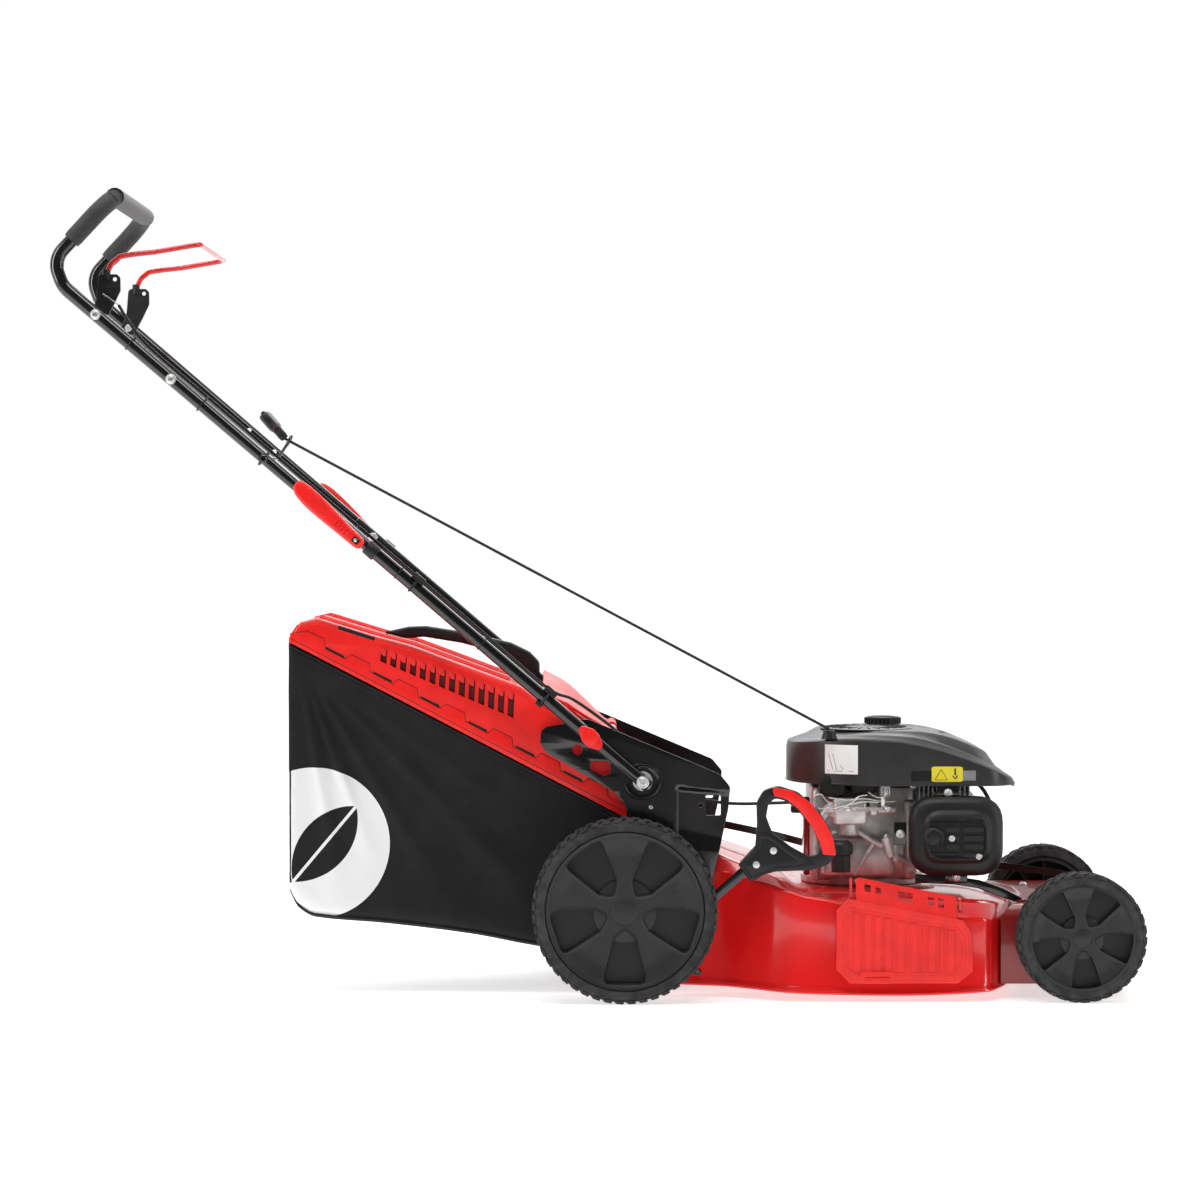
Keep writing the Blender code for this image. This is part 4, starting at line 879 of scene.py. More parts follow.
def make_wheel(end, word, outward):
    name = f"{end}_{word}"
    body = f"{name}_wheel"
    low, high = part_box(f"{name}_tyre")
    centre = (low + high) / 2
    radius = centre.z
    half = (high.y - low.y) / 2
    rear = end == "rear"
    rim = (0.857 if rear else 0.8) * radius
    turn = math.radians(0 if rear else 5) * -outward
    outer_y = centre.y + outward * half

    bead = 0.0042
    profile = [(rim, half - 0.006), (rim + 0.0006, half - 0.0016), (rim + 0.0026, half - 0.0009),
        (radius - 0.0105, half - 0.0004), (radius - 0.0078, half - 0.0008), (radius - bead, half - 0.0038),
        (radius - bead, -half + 0.0038), (radius - 0.0078, -half + 0.0008),
        (radius - 0.0105, -half + 0.0004), (rim + 0.002, -half + 0.001), (rim, -half + 0.006)]
    shapes = [turned(facing(outward, profile), centre, steps=120)]
    count = 48 if rear else 34
    pitch = 2 * math.pi / count
    lean = 0.1 * pitch if rear else 0.34 * pitch
    for index in range(count):
        angle = index * pitch
        shapes.append(lug(centre, radius, angle, pitch * 0.7, 0.0015, half - 0.0012, lean, bead, 1))
        shapes.append(lug(centre, radius, angle + pitch / 2, pitch * 0.7, -0.0015, -half + 0.0012, lean,
                bead, 1))
    build(f"{name}_tyre_detail", joined(shapes), RUBBER, body, f"{name}_tyre", sharp=30, bevel=0.0006,
        segments=1)

    face_y = outer_y - outward * 0.0008
    shapes = [wheel_face(radius, centre, outward, face_y, turn)]
    ring = [(0.812 * radius, half - 0.0016), (0.82 * radius, half - 0.0006), (rim - 0.0018, half - 0.0002),
            (rim - 0.0005, half - 0.0016), (rim - 0.0005, -half + 0.004), (rim - 0.006, -half + 0.003),
            (rim - 0.009, -half + 0.012), (0.812 * radius, half - 0.02)]
    shapes.append(turned(facing(outward, ring), centre, steps=120))
    cap = [(0.155 * radius, half - 0.0062), (0.15 * radius, half - 0.0072), (0.143 * radius, half - 0.0054),
           (0.135 * radius, half - 0.005), (0.0001, half - 0.0046)]
    shapes.append(turned(facing(outward, cap), centre, steps=64, closed=False))
    build(f"{name}_hub_detail", joined(shapes), HUB_PLASTIC, body, f"{name}_hub", sharp=50)

    boss = [(0.0001, half - 0.012), (0.33 * radius, half - 0.012), (0.34 * radius, half - 0.0128),
        (0.34 * radius, half - 0.018)]
    build(f"{name}_pocket_boss", turned(facing(outward, boss), centre, steps=64, closed=False), HUB_PLASTIC,
        body, sharp=40)
    # The disc behind the pockets is darker than the hub: painted shade in the pockets' depth.
    floor = [(0.0001, half - 0.017), (0.815 * radius, half - 0.0175), (0.815 * radius, half - 0.0205),
        (0.25 * radius, half - 0.0205), (0.2 * radius, -half + 0.006), (0.15 * radius, -half + 0.004),
        (0.0001, -half + 0.004)]
    build(f"{name}_pocket_floor", turned(facing(outward, floor), centre, steps=64, closed=False),
        POCKET_SHADE, body, sharp=40)
    ribs = []
    for index in range(10):
        angle = math.radians(36 * index + 18)
        across, out = Vector((-math.sin(angle), 0, math.cos(angle))), Vector((math.cos(angle), 0,
                math.sin(angle)))
        inside = centre - Vector((0, outward, 0)) * (half - 0.007)
        near = centre + Vector((0, outward, 0)) * (half - 0.0206)
        rings = []
        for r in (0.19 * radius, 0.8 * radius):
            rings.append([near + out * r - across * 0.0012, near + out * r + across * 0.0012,
                          inside + out * r + across * 0.0012, inside + out * r - across * 0.0012])
        ribs.append(loft(rings))
    build(f"{name}_back_ribs", joined(ribs), HUB_PLASTIC, body, sharp=30)


# --- Handle ------------------------------------------------------------------------------------------

GOOSENECK = ((-0.827, 1.1055), (-0.842, 1.147), (-0.75, 1.246))


def handle_route(steps=10):
    """The upper tube's centre line, from one clamp round the grip to the other."""
    points = [along(0.544, -UPPER_Y)] + [Vector((x, -UPPER_Y, z)) for x, z in GOOSENECK]
    return rounded(points + [Vector((p.x, -p.y, p.z)) for p in reversed(points)], 0.045, steps)


def grip_route(steps=10):
    """The stretch of the upper tube that the foam covers."""
    (x0, z0), (x1, z1) = GOOSENECK[1], GOOSENECK[2]
    start = Vector((x0 + (x1 - x0) * 0.3, -UPPER_Y, z0 + (z1 - z0) * 0.3))
    points = [start, Vector((x1, -UPPER_Y, z1)), Vector((x1, UPPER_Y, z1)),
        Vector((start.x, UPPER_Y, start.z))]
    return rounded(points, 0.045, steps)


def tube_end(route):
    """Shares of the radius that round off both ends of a bar."""
    return [0.72] + [1.0] * (len(route) - 2) + [0.72]


def make_tubes():
    """The two lower tubes with the upper tube's end collars, and the bent upper tube."""
    for word, side in SIDES:
        y = side * LOWER_Y
        route = [along(d, y) for d in (-0.0128, -0.011, 0.02, 0.3, 0.6205, 0.622)]
        build(f"lower_tube_{word}_detail", swept(route, LOWER_RADIUS, 32, radii=[0.7, 1, 1, 1, 1, 0.8]),
            BLACK_PAINT, "lower_handle", f"lower_tube_{word}", sharp=50)
        collar = [along(d, side * UPPER_Y) for d in (0.5445, 0.546, 0.553, 0.562, 0.564)]
        build(f"tube_collar_{word}", swept(collar, UPPER_RADIUS + 0.0006, 32, radii=[0.95, 1, 1, 1, 0.95]),
            BLACK_PLASTIC, "upper_handle", sharp=50)
    route = handle_route()
    build("upper_tube_detail", swept(route, UPPER_RADIUS, 32, radii=tube_end(route)), BLACK_PAINT,
          "upper_handle", "upper_handle_tube", sharp=50)


def make_foam():
    """The foam sleeve round the grip, very slightly uneven."""
    route = grip_route()
    fine = smooth_route(route, 90)
    fine[0], fine[-1] = route[0], route[-1]
    radii = [1 + 0.012 * noise.noise(point * 60) for point in fine]
    radii[0] = radii[-1] = 0.93
    shape = swept(fine, GRIP_RADIUS * 0.97, 32, radii=radii)
    piece = build("handle_grip_detail", shape, FOAM, "upper_handle", "handle_grip", sharp=50)


BOLTS = (
    # name, CAD name, body, distance up the tube, outer |y|, head radius and height,
    # shaft radius and length, the nut's |y|, radius and height
    ("pivot_bolt", "pivot_bolt", "deck", 0.0, 0.2102, 0.01, 0.005,
     (0.0038, 0.0315), (0.183, 0.013, 0.004)),
    ("bail_bolt", "bail_bolt", "upper_handle", 1.114, 0.2328, 0.0083, 0.0046,
     (0.0033, 0.05), (0.185, 0.011, 0.0045)),
    ("handle_bolt", None, "upper_handle", 0.961, 0.2326, 0.0083, 0.0046, None, None),
    ("cam_pin", "cam_bolt", "upper_handle", 0.582, 0.2318, 0.004, 0.001,
     (0.0038, 0.046), (0.1892, 0.014, 0.005)),
)


def make_bolts():
    """The round heads on the tubes, and the shafts and nuts of those that pass through them."""
    for name, node, body, distance, level, radius, height, shaft, nut in BOLTS:
        centre = along(distance, 0)
        for word, side in SIDES:
            place = Vector((centre.x, side * level, centre.z))
            shapes = [round_head(place, (0, side, 0), radius, height)]
            if node:
                shapes.append(solid_turned([(shaft[0], -shaft[1]), (shaft[0], 0.0)], place, (0, side, 0)))
                end = Vector((centre.x, side * nut[0], centre.z))
                shapes.append(hexagon_head(end, (0, -side, 0), nut[1], nut[2]))
            build(f"{name}_{word}_detail", joined(shapes), ZINC, body, f"{node}_{word}" if node else (),
                sharp=40)


def make_fold_knobs():
    """The red wing nuts: a thick oval with two ears, a raised middle and finger scallops."""
    for word, side in SIDES:
        centre = along(0.107, 0)
        body = f"fold_knob_{word}"
        tilt = math.radians(135)
        outline = []
        for step in range(64):
            angle = 2 * math.pi * step / 64
            ear = abs(math.cos(angle)) ** 5
            reach = 0.0135 + 0.0092 * ear + 0.0006 * math.cos(6 * angle)
            outline.append(Vector((centre.x + reach * math.cos(angle + tilt),
                        centre.z + reach * math.sin(angle + tilt))))
        plate(f"{body}_wing", outline, side * 0.2112, side * 0.2262, RED_PLASTIC, body, edge=0.0022,
            replaces=body, sharp=30)
        dome = [(0.0118, 0.0), (0.0112, 0.0016), (0.0085, 0.0025), (0.0001, 0.0028)]
        build(f"{body}_dome", turned(dome, (centre.x, side * 0.2262, centre.z), (0, side, 0), 40, False),
            RED_PLASTIC, body)
        build(f"{body}_stud", solid_turned([(0.0038, -0.024), (0.0038, 0.0)],
                (centre.x, side * 0.2115, centre.z), (0, side, 0)), ZINC, body)


def clamp_section(distance, side, half, inner, outer, shift):
    """A rounded cross-section of the clamp lever at a distance along the tubes."""
    points = []
    depth = outer - inner
    for a, b in ((-1, 0.0), (-1, 0.45), (-0.92, 0.75), (-0.7, 0.94), (-0.35, 1.0), (0.35, 1.0), (0.7, 0.94),
            (0.92, 0.75), (1, 0.45), (1, 0.0)):
        points.append(along(distance, side * (inner + depth * b), shift + half * a))
    return points


def make_clamp_levers():
    """The red cam levers: a long waisted body with ribs, a slot and a cross pin."""
    for word, side in SIDES:
        body = f"clamp_lever_{word}"
        stations = ((0.5682, 0.005, 0.24, 0.2476, -0.003), (0.571, 0.0084, 0.2364, 0.2506, -0.003),
            (0.578, 0.0106, 0.2338, 0.253, -0.003), (0.592, 0.0106, 0.2338, 0.2536, -0.003),
            (0.612, 0.0118, 0.235, 0.2538, -0.002), (0.64, 0.0138, 0.237, 0.2526, -0.001),
            (0.665, 0.015, 0.238, 0.2514, 0.0), (0.685, 0.0148, 0.2384, 0.2502, 0.001),
            (0.7, 0.0126, 0.2388, 0.2488, 0.002), (0.707, 0.009, 0.239, 0.2474, 0.003),
            (0.71, 0.005, 0.2392, 0.246, 0.0035))
        sections = [clamp_section(d, side, half, inner, outer, shift)
            for d, half, inner, outer, shift in stations]
        build(f"{body}_detail", loft(sections), RED_PLASTIC, body, body, sharp=60, subdivide=1)
        ribs = []
        for index in range(5):
            d = 0.598 + 0.0065 * index
            ribs.append(swept([along(d, side * 0.2537, r)
                        for r in (-0.0105, -0.0102, -0.003, 0.0042, 0.0045)], 0.001, 8,
                    radii=[0.4, 1, 1, 1, 0.4]))
        build(f"{body}_ribs", joined(ribs), RED_PLASTIC, body)
        # The slot is a thin dark box on the lever's face: painted shade.
        slot = box_along(0.5755, 0.587, side, 0.2528, 0.254, -0.0075, 0.0015)
        build(f"{body}_slot", slot, DEEP_BLACK, body)
        pin = solid_turned([(0.0028, 0), (0.0028, 0.0012), (0.002, 0.0016)],
            along(0.582, side * 0.253, -0.003), (0, side, 0), 20)
        build(f"{body}_pin", pin, ZINC, body)


def box_along(d0, d1, side, y0, y1, rise0, rise1):
    """A box in the handle's own directions."""
    rings = []
    for y in (y0, y1):
        rings.append([along(d0, side * y, rise0), along(d1, side * y, rise0), along(d1, side * y, rise1),
                along(d0, side * y, rise1)])
    return loft(rings)


def make_bail():
    """The red wire that is held to run the engine, and its two black pivot plates."""
    y = 0.189
    points = [(-0.7645, -y, 1.1272), (-0.756, -y, 1.144), (-0.743, -y, 1.1545), (-0.72, -y, 1.158),
        (-0.69, -y, 1.1612), (-0.618, -y, 1.1735)]
    route = [Vector(p) for p in points] + [Vector((p[0], -p[1], p[2])) for p in reversed(points)]
    path = rounded(route, 0.013, 7)
    build("bail_wire", swept(path, 0.00425, 16), BAIL_RED, "bail", "bail", sharp=60)
    pivot = BAIL_PIVOT
    outline = [(-0.7772, 1.1225, 0.002), (-0.7735, 1.1268, 0.003), (-0.7478, 1.1268, 0.004),
        (-0.7428, 1.1215, 0.004), (-0.7425, 1.101, 0.004), (-0.753, 1.079, 0.004)]
    outline += [(u, v, 0) for u, v in arc((pivot.x, pivot.z), 0.0125, -20, -190, 12)] + [(-0.78, 1.088,
            0.006)]
    shape = rounded_outline(outline, 0.003)
    hole = loop((-0.7512, 1.119), 0.0032, 0, 345, 23)
    for word, side in SIDES:
        plate(f"bail_lever_{word}_plate", shape, side * 0.1858, side * 0.1922, BLACK_PLASTIC, "bail",
            holes=[hole], edge=0.0012, replaces=f"bail_lever_{word}", sharp=40)
        raised = rounded_outline([(-0.7735, 1.108), (-0.746, 1.108), (-0.7465, 1.1015), (-0.756, 1.081),
                (-0.7665, 1.073), (-0.7755, 1.09)], 0.004)
        level = side * 0.1922
        plate(f"bail_lever_{word}_rib", raised, level - side * 0.001, level + side * 0.0012, BLACK_PLASTIC,
            "bail", edge=0.0007)
        sleeve = [(0.0042, 0.0), (0.0062, 0.0004), (0.0062, 0.015), (0.0055, 0.016)]
        foot = Vector((-0.7645, side * y, 1.118))
        build(f"bail_socket_{word}", solid_turned(sleeve, foot, (0.02, 0, 1), 20), BLACK_PLASTIC, "bail")


def hoop(distance, y, radius, start=0, end=360):
    """A loop round a right-hand tube, square to it."""
    return [along(distance, -y - across, up) for across, up in arc((0, 0), radius, start, end, 24)]


def make_tube_trim():
    """Cable clips and ties, the rope guide's band and the drilled holes."""
    for number, distance in enumerate((0.2, 0.47)):
        band = swept(hoop(distance, LOWER_Y, 0.0116, -60, 240), 0.0022, 8)
        build(f"cable_clip_{number}", band, BLACK_PLASTIC, "lower_handle", sharp=50)
        block = box_along(distance - 0.011, distance + 0.011, -1, LOWER_Y - 0.006, LOWER_Y + 0.0115, 0.0085,
            0.019)
        build(f"cable_clip_{number}_block", block, BLACK_PLASTIC, "lower_handle", bevel=0.0015)
    tab = box_along(0.196, 0.208, -1, LOWER_Y - 0.004, LOWER_Y + 0.009, -0.016, -0.009)
    build("cable_clip_tab", tab, BLACK_PLASTIC, "lower_handle", bevel=0.0012)
    build("rope_guide_band", swept(hoop(0.773, UPPER_Y, 0.0118), 0.002, 8), BLACK_PLASTIC, "upper_handle")
    build("rope_guide_nut", round_head(along(0.773, -0.2325), (0, -1, 0), 0.0074, 0.0045), BLACK_PAINT,
        "upper_handle")
    # The drilled holes are white discs: painted light, the brightness seen through the tube.
    for number, distance in enumerate((0.855, 0.8)):
        hole = [(0.0038, 0.0), (0.0038, 0.0004), (0.0001, 0.0004)]
        place = along(distance, UPPER_Y - UPPER_RADIUS + 0.0004)
        build(f"tube_hole_{number}", turned(hole, place, (0, -1, 0), 24, False), WHITE_PRINT_AND_HOLE_LIGHT, "upper_handle")
    for number, distance in enumerate((1.045, 0.9, 0.5, 0.33)):
        on_upper = distance > 0.6
        radius, y = (UPPER_RADIUS, UPPER_Y) if on_upper else (LOWER_RADIUS, LOWER_Y)
        tie = [along(distance, -y + (radius + 0.0007) * math.cos(a), 0.0016 + (radius + 0.0023) * math.sin(a))
               for a in (2 * math.pi * step / 24 for step in range(25))]
        build(f"cable_tie_{number}", swept(tie, 0.0009, 8), BLACK_PLASTIC, "upper_handle" if on_upper
            else "lower_handle")


def make_handle():
    """Everything on the handle but the cords."""
    make_tubes()
    make_foam()
    make_bolts()
    make_fold_knobs()
    make_clamp_levers()
    make_bail()
    make_tube_trim()


# --- Deck, side plates and flaps ----------------------------------------------------------------------

# x, half-width of the wall, top of the wall, half-width of the top, height of the top
DECK_STATIONS = (
    (0.065, 0.183, 0.2, 0.162, 0.375),
    (0.12, 0.183, 0.2, 0.162, 0.3),
    (0.19, 0.183, 0.196, 0.165, 0.224),
    (0.24, 0.206, 0.184, 0.18, 0.204),
    (0.29, 0.238, 0.172, 0.206, 0.184),
    (0.322, 0.2435, 0.167, 0.213, 0.163),
    (0.4, 0.245, 0.146, 0.215, 0.1625),
    (0.575, 0.245, 0.128, 0.215, 0.154),
    (0.605, 0.238, 0.126, 0.205, 0.151),
    (0.622, 0.208, 0.124, 0.18, 0.148),
    (0.64, 0.16, 0.122, 0.135, 0.145),
    (0.653, 0.095, 0.121, 0.075, 0.143),
    (0.659, 0.03, 0.12, 0.015, 0.142),
)
LIP_STOPS = ((0.065, 0.024), (0.47, 0.012), (0.62, 0.018), (0.66, 0.02))
CHUTE_HINGE_Y = -0.232


def deck_station(x):
    """The deck's five station values at x, eased between the given stations."""
    columns = list(zip(*DECK_STATIONS))
    return (x,) + tuple(on_curve(x, tuple(zip(columns[0], column))) for column in columns[1:])


def deck_half(x, wall, wall_top, top, height):
    """Half of the deck's section from the rolled lip to the top, with round shoulders."""
    lip = on_curve(x, LIP_STOPS)
    corners = [(wall + 0.001, lip + 0.01), (wall, 0.7 * wall_top), (wall - 0.0004, wall_top),
        (top + 0.006, height - 0.003), (top - 0.006, height)]
    points = [Vector((y, 0, z)) for y, z in corners]
    route = [(wall + 0.006, lip), (wall + 0.0052, lip + 0.003), (wall + 0.0022, lip + 0.006)]
    smooth_part = rounded(points, 0.009, 4)
    return route + [(p.x, p.z) for p in smooth_part]


def chute_hinge(x):
    """A point on the side flap's hinge line."""
    return Vector((x, CHUTE_HINGE_Y, 0.1855 - 0.1927 * (x - 0.398)))


def make_deck():
    """The deck shell, lofted from stations along its length and given its wall."""
    xs = []
    for (a, *_), (b, *_) in zip(DECK_STATIONS, DECK_STATIONS[1:]):
        count = max(2, round((b - a) / 0.012))
        xs += [a + (b - a) * i / count for i in range(count)]
    xs.append(DECK_STATIONS[-1][0])
    sections = []
    for x in xs:
        half = deck_half(*deck_station(x))
        sections.append([(x, -y, z) for y, z in half] + [(x, y, z) for y, z in reversed(half)])
    vertices, faces = loft(sections, closed=False, start_cap=False, end_cap=False)
    count = len(sections[0])
    last = len(vertices) - count
    half = count // 2
    faces += [(last + i, last + i + 1, last + count - 2 - i, last + count - 1 - i) for i in range(half - 1)]
    piece = build("deck_detail", (vertices, faces), RED_PAINT, "deck", "deck_shell", sharp=40)
    thicken(piece, 0.0025)
    cut_through(piece, [(BLADE_X - 0.038, -0.038, 0.13), (BLADE_X + 0.038, 0.038, 0.2)])
    cut_through(piece, [(0.41, -0.27, 0.05), (0.545, -0.22, 0.115)])
    for word, side in SIDES:
        route = [(x, side * (deck_station(x)[1] + 0.0052), on_curve(x, LIP_STOPS)) for x in xs]
        build(f"deck_bead_{word}", swept(route, 0.003, 10), RED_PAINT, "deck")
    tabs = []
    for x in (0.3915, 0.5605):
        z = chute_hinge(x).z
        tabs.append(loft([[(x + dx, -0.238, 0.14), (x + dx, -0.224, 0.145), (x + dx, -0.226, z + 0.004),
                    (x + dx, -0.238, z + 0.004)] for dx in (-0.002, 0.002)]))
    build("chute_hinge_tabs", joined(tabs), RED_PAINT, "deck", bevel=0.0006)
    bolt = round_head((0.156, -0.1845, 0.0376), (0, -1, 0), 0.006, 0.0045)
    build("deck_side_bolt", bolt, BLACK_PAINT, "deck")
    pressed = [solid_turned([(0.118, 0.0), (0.112, 0.0016), (0.104, 0.0022), (0.0001, 0.0022)],
            (BLADE_X, 0, 0.1612), (0, 0, 1), 64)]
    build("deck_engine_seat", joined(pressed), RED_PAINT, "deck")


def cut_through(piece, corners):
    """Cuts a plain box from the piece."""
    mesh = bpy.data.meshes.new(piece.name + "_cutter")
    vertices, faces = box(*corners)
    mesh.from_pydata([tuple(point) for point in vertices], [], faces)
    return cut_with(piece, mesh)


def cut_with(piece, mesh):
    """Cuts a mesh from the piece and drops the mesh again."""
    clean = bmesh.new()
    clean.from_mesh(mesh)
    bmesh.ops.recalc_face_normals(clean, faces=clean.faces)
    clean.to_mesh(mesh)
    clean.free()
    cutter = bpy.data.objects.new("cutter", mesh)
    bpy.context.scene.collection.objects.link(cutter)
    modifier = piece.modifiers.new("cut", "BOOLEAN")
    modifier.operation, modifier.object = "DIFFERENCE", cutter
    graph = bpy.context.evaluated_depsgraph_get()
    result = bpy.data.meshes.new_from_object(piece.evaluated_get(graph))
    piece.modifiers.clear()
    piece.data = result
    bpy.data.objects.remove(cutter)
    return piece


PLATE_OUTLINE = ((-0.0905, 0.397, 0.004), (-0.089, 0.4155, 0.004), (-0.08, 0.4225, 0.006),
    (-0.0547, 0.4267, 0.01), (-0.03, 0.434, 0.008), (-0.0126, 0.433, 0.01), (0.19, 0.348, 0.014),
    (0.2064, 0.3285, 0.01), (0.2035, 0.2926, 0.01), (0.1901, 0.23, 0.02), (0.1776, 0.18, 0.004),
    (0.172, 0.17, 0.003), (0.062, 0.17, 0.004), (0.0513, 0.2802, 0.02), (0.0404, 0.302, 0.012),
    (0.0264, 0.3191, 0.012), (-0.0827, 0.383, 0.012))
POCKET = (0.123, 0.2025, 0.241, 0.3285)


def plate_depth(x, z):
    """How far the side plate is pressed in at a point: the pocket, and the dish round the pivot."""
    def ease(value, low, high):
        share = min(1.0, max(0.0, (value - low) / (high - low)))
        return share * share * (3 - 2 * share)

    x0, _, z0, z1 = POCKET
    top = z1 - 0.1 * max(0.0, x - x0)
    inside = ease(x, x0 - 0.0015, x0 + 0.0035) * (1 - ease(z, top - 0.006, top + 0.0015)) * ease(z,
        z0 - 0.014, z0 + 0.004 + 0.25 * (x0 - x + 0.08))
    distance = math.hypot(x - PIVOT.x, z - PIVOT.z)
    dish = 1 - ease(distance, 0.0225, 0.0275)
    return 0.004 * inside + 0.0016 * dish


def make_side_plates():
    """The stamped plates that carry the handle, with raised fields, holes and a pivot ring."""
    outline = rounded_outline(PLATE_OUTLINE, 0.006)
    window = rounded_outline([(-0.01, 0.369), (0.015, 0.368), (0.0185, 0.364), (0.0195, 0.348),
            (0.008, 0.345), (-0.0125, 0.356)], 0.0028)
    square = rounded_outline([(0.1682, 0.2833), (0.1916, 0.2833), (0.1916, 0.3145), (0.1682, 0.3145)], 0.0022)
    small = loop((0.1605, 0.2985), 0.0032, 0, 345, 23)
    round_hole = loop((-0.0321, 0.3862), 0.008, 0, 348, 29)
    holes = [window, square, small, round_hole]
    for word, side in SIDES:
        name = f"side_plate_{word}"
        mesh = plate_mesh(outline, holes, 0.003, 0.0007)
        grid = bmesh.new()
        grid.from_mesh(mesh)
        for axis, start, end, step in ((0, 0.036, 0.205, 0.0028), (1, 0.226, 0.366, 0.0028)):
            place = start
            while place < end:
                normal = Vector((1, 0, 0)) if axis == 0 else Vector((0, 1, 0))
                bmesh.ops.bisect_plane(grid, geom=grid.verts[:] + grid.edges[:] + grid.faces[:],
                    plane_co=normal * place, plane_no=normal)
                place += step
        grid.to_mesh(mesh)
        grid.free()
        mesh.transform(Matrix.Translation((0, side * 0.185, 0)) @ UPRIGHT)
        for vertex in mesh.vertices:
            vertex.co.y -= side * plate_depth(vertex.co.x, vertex.co.z)
        settle(f"{name}_detail", mesh, BLACK_PAINT, "deck", name, sharp=32)
        ring = [(0.0255, 0.0), (0.0262, 0.0008), (0.0272, 0.001), (0.0282, 0.0006), (0.0284, 0.0)]
        build(f"{name}_ring", turned(facing(side, ring), (PIVOT.x, side * 0.1865, PIVOT.z), steps=56),
            BLACK_PAINT, "deck")
        washer = [(0.004, 0.0), (0.015, 0.0), (0.0155, 0.0006), (0.015, 0.0012), (0.004, 0.0012)]
        build(f"{name}_washer", turned(facing(side, washer), (PIVOT.x, side * 0.186, PIVOT.z), steps=40),
            ZINC, "deck")
        stud = round_head((0.0823, side * 0.1862, 0.296), (0, side, 0), 0.0034, 0.0026)
        build(f"{name}_rivet", stud, ZINC, "deck")


def make_rear_flap():
    """The arched red cover over the catcher's mouth."""
    x, z = 0.022, 0.408
    half = 0.17
    stops = ((-0.0866, 0.503, 0.468), (-0.0528, 0.485, 0.454), (-0.0223, 0.458, 0.434),
        (0.0035, 0.432, 0.42), (0.019, 0.4155, 0.414))
    sections = []
    for i in range(17):
        station = -0.0866 + (0.019 + 0.0866) * i / 16
        crown = on_curve(station, tuple((a, b) for a, b, _ in stops))
        edge = on_curve(station, tuple((a, c) for a, _, c in stops))
        arch = [(half * j / 14, edge + (crown - edge) * math.cos(math.pi * j / 14 / 2))
            for j in range(-14, 15)]
        sections.append([(station, y, height) for y, height in arch] + [(station - 0.001, y,
                    height - 0.003) for y, height in reversed(arch)])
    build("rear_flap_skin", loft(sections), RED_PLASTIC, "rear_flap", "rear_flap", sharp=35, bevel=0.0006)
    ribs = []
    for y in (-0.1655, 0.1655):
        ribs.append(swept([(-0.083, y, 0.4705), (-0.05, y, 0.457), (-0.02, y, 0.437), (0.004, y, 0.4235)],
                0.0026, 10))
    ribs.append(solid_turned([(0.0082, -half), (0.0088, -half + 0.001), (0.0088, -0.06), (0.008, -0.059)],
            (x, 0, z), steps=24))
    ribs.append(solid_turned([(0.008, 0.059), (0.0088, 0.06), (0.0088, half - 0.001), (0.0082, half)],
            (x, 0, z), steps=24))
    build("rear_flap_ribs", joined(ribs), RED_PLASTIC, "rear_flap")
    spring = coil((x, -0.052, z), (x, 0.0, z), (1, 0, 0), 0.007, 150, 18)
    build("rear_flap_spring", swept(spring, 0.001, 8), ZINC, "rear_flap")
    rod = solid_turned([(0.0036, -0.1832), (0.004, -0.1828), (0.004, 0.1828), (0.0036, 0.1832)], (x, 0, z),
        steps=24)
    build("flap_rod_detail", rod, BARE_STEEL, "deck", "flap_rod")


CHUTE_OUTLINE = ((0.368, 0.05), (0.388, 0.029), (0.556, 0.029), (0.579, 0.048), (0.579, 0.103),
    (0.564, 0.126), (0.386, 0.16), (0.368, 0.142))


def inset(outline, distance):
    """A closed anticlockwise (u, v) outline moved inwards by a distance, corner by corner."""
    result = []
    count = len(outline)
    for index in range(count):
        before, corner, after = (Vector(outline[(index + k) % count][:2]) for k in (-1, 0, 1))
        back, ahead = (corner - before).normalized(), (after - corner).normalized()
        normal = Vector((-back.y - ahead.y, back.x + ahead.x)).normalized()
        reach = distance / max(0.2, normal.dot(Vector((-back.y, back.x))))
        result.append(corner + normal * reach)
    return result


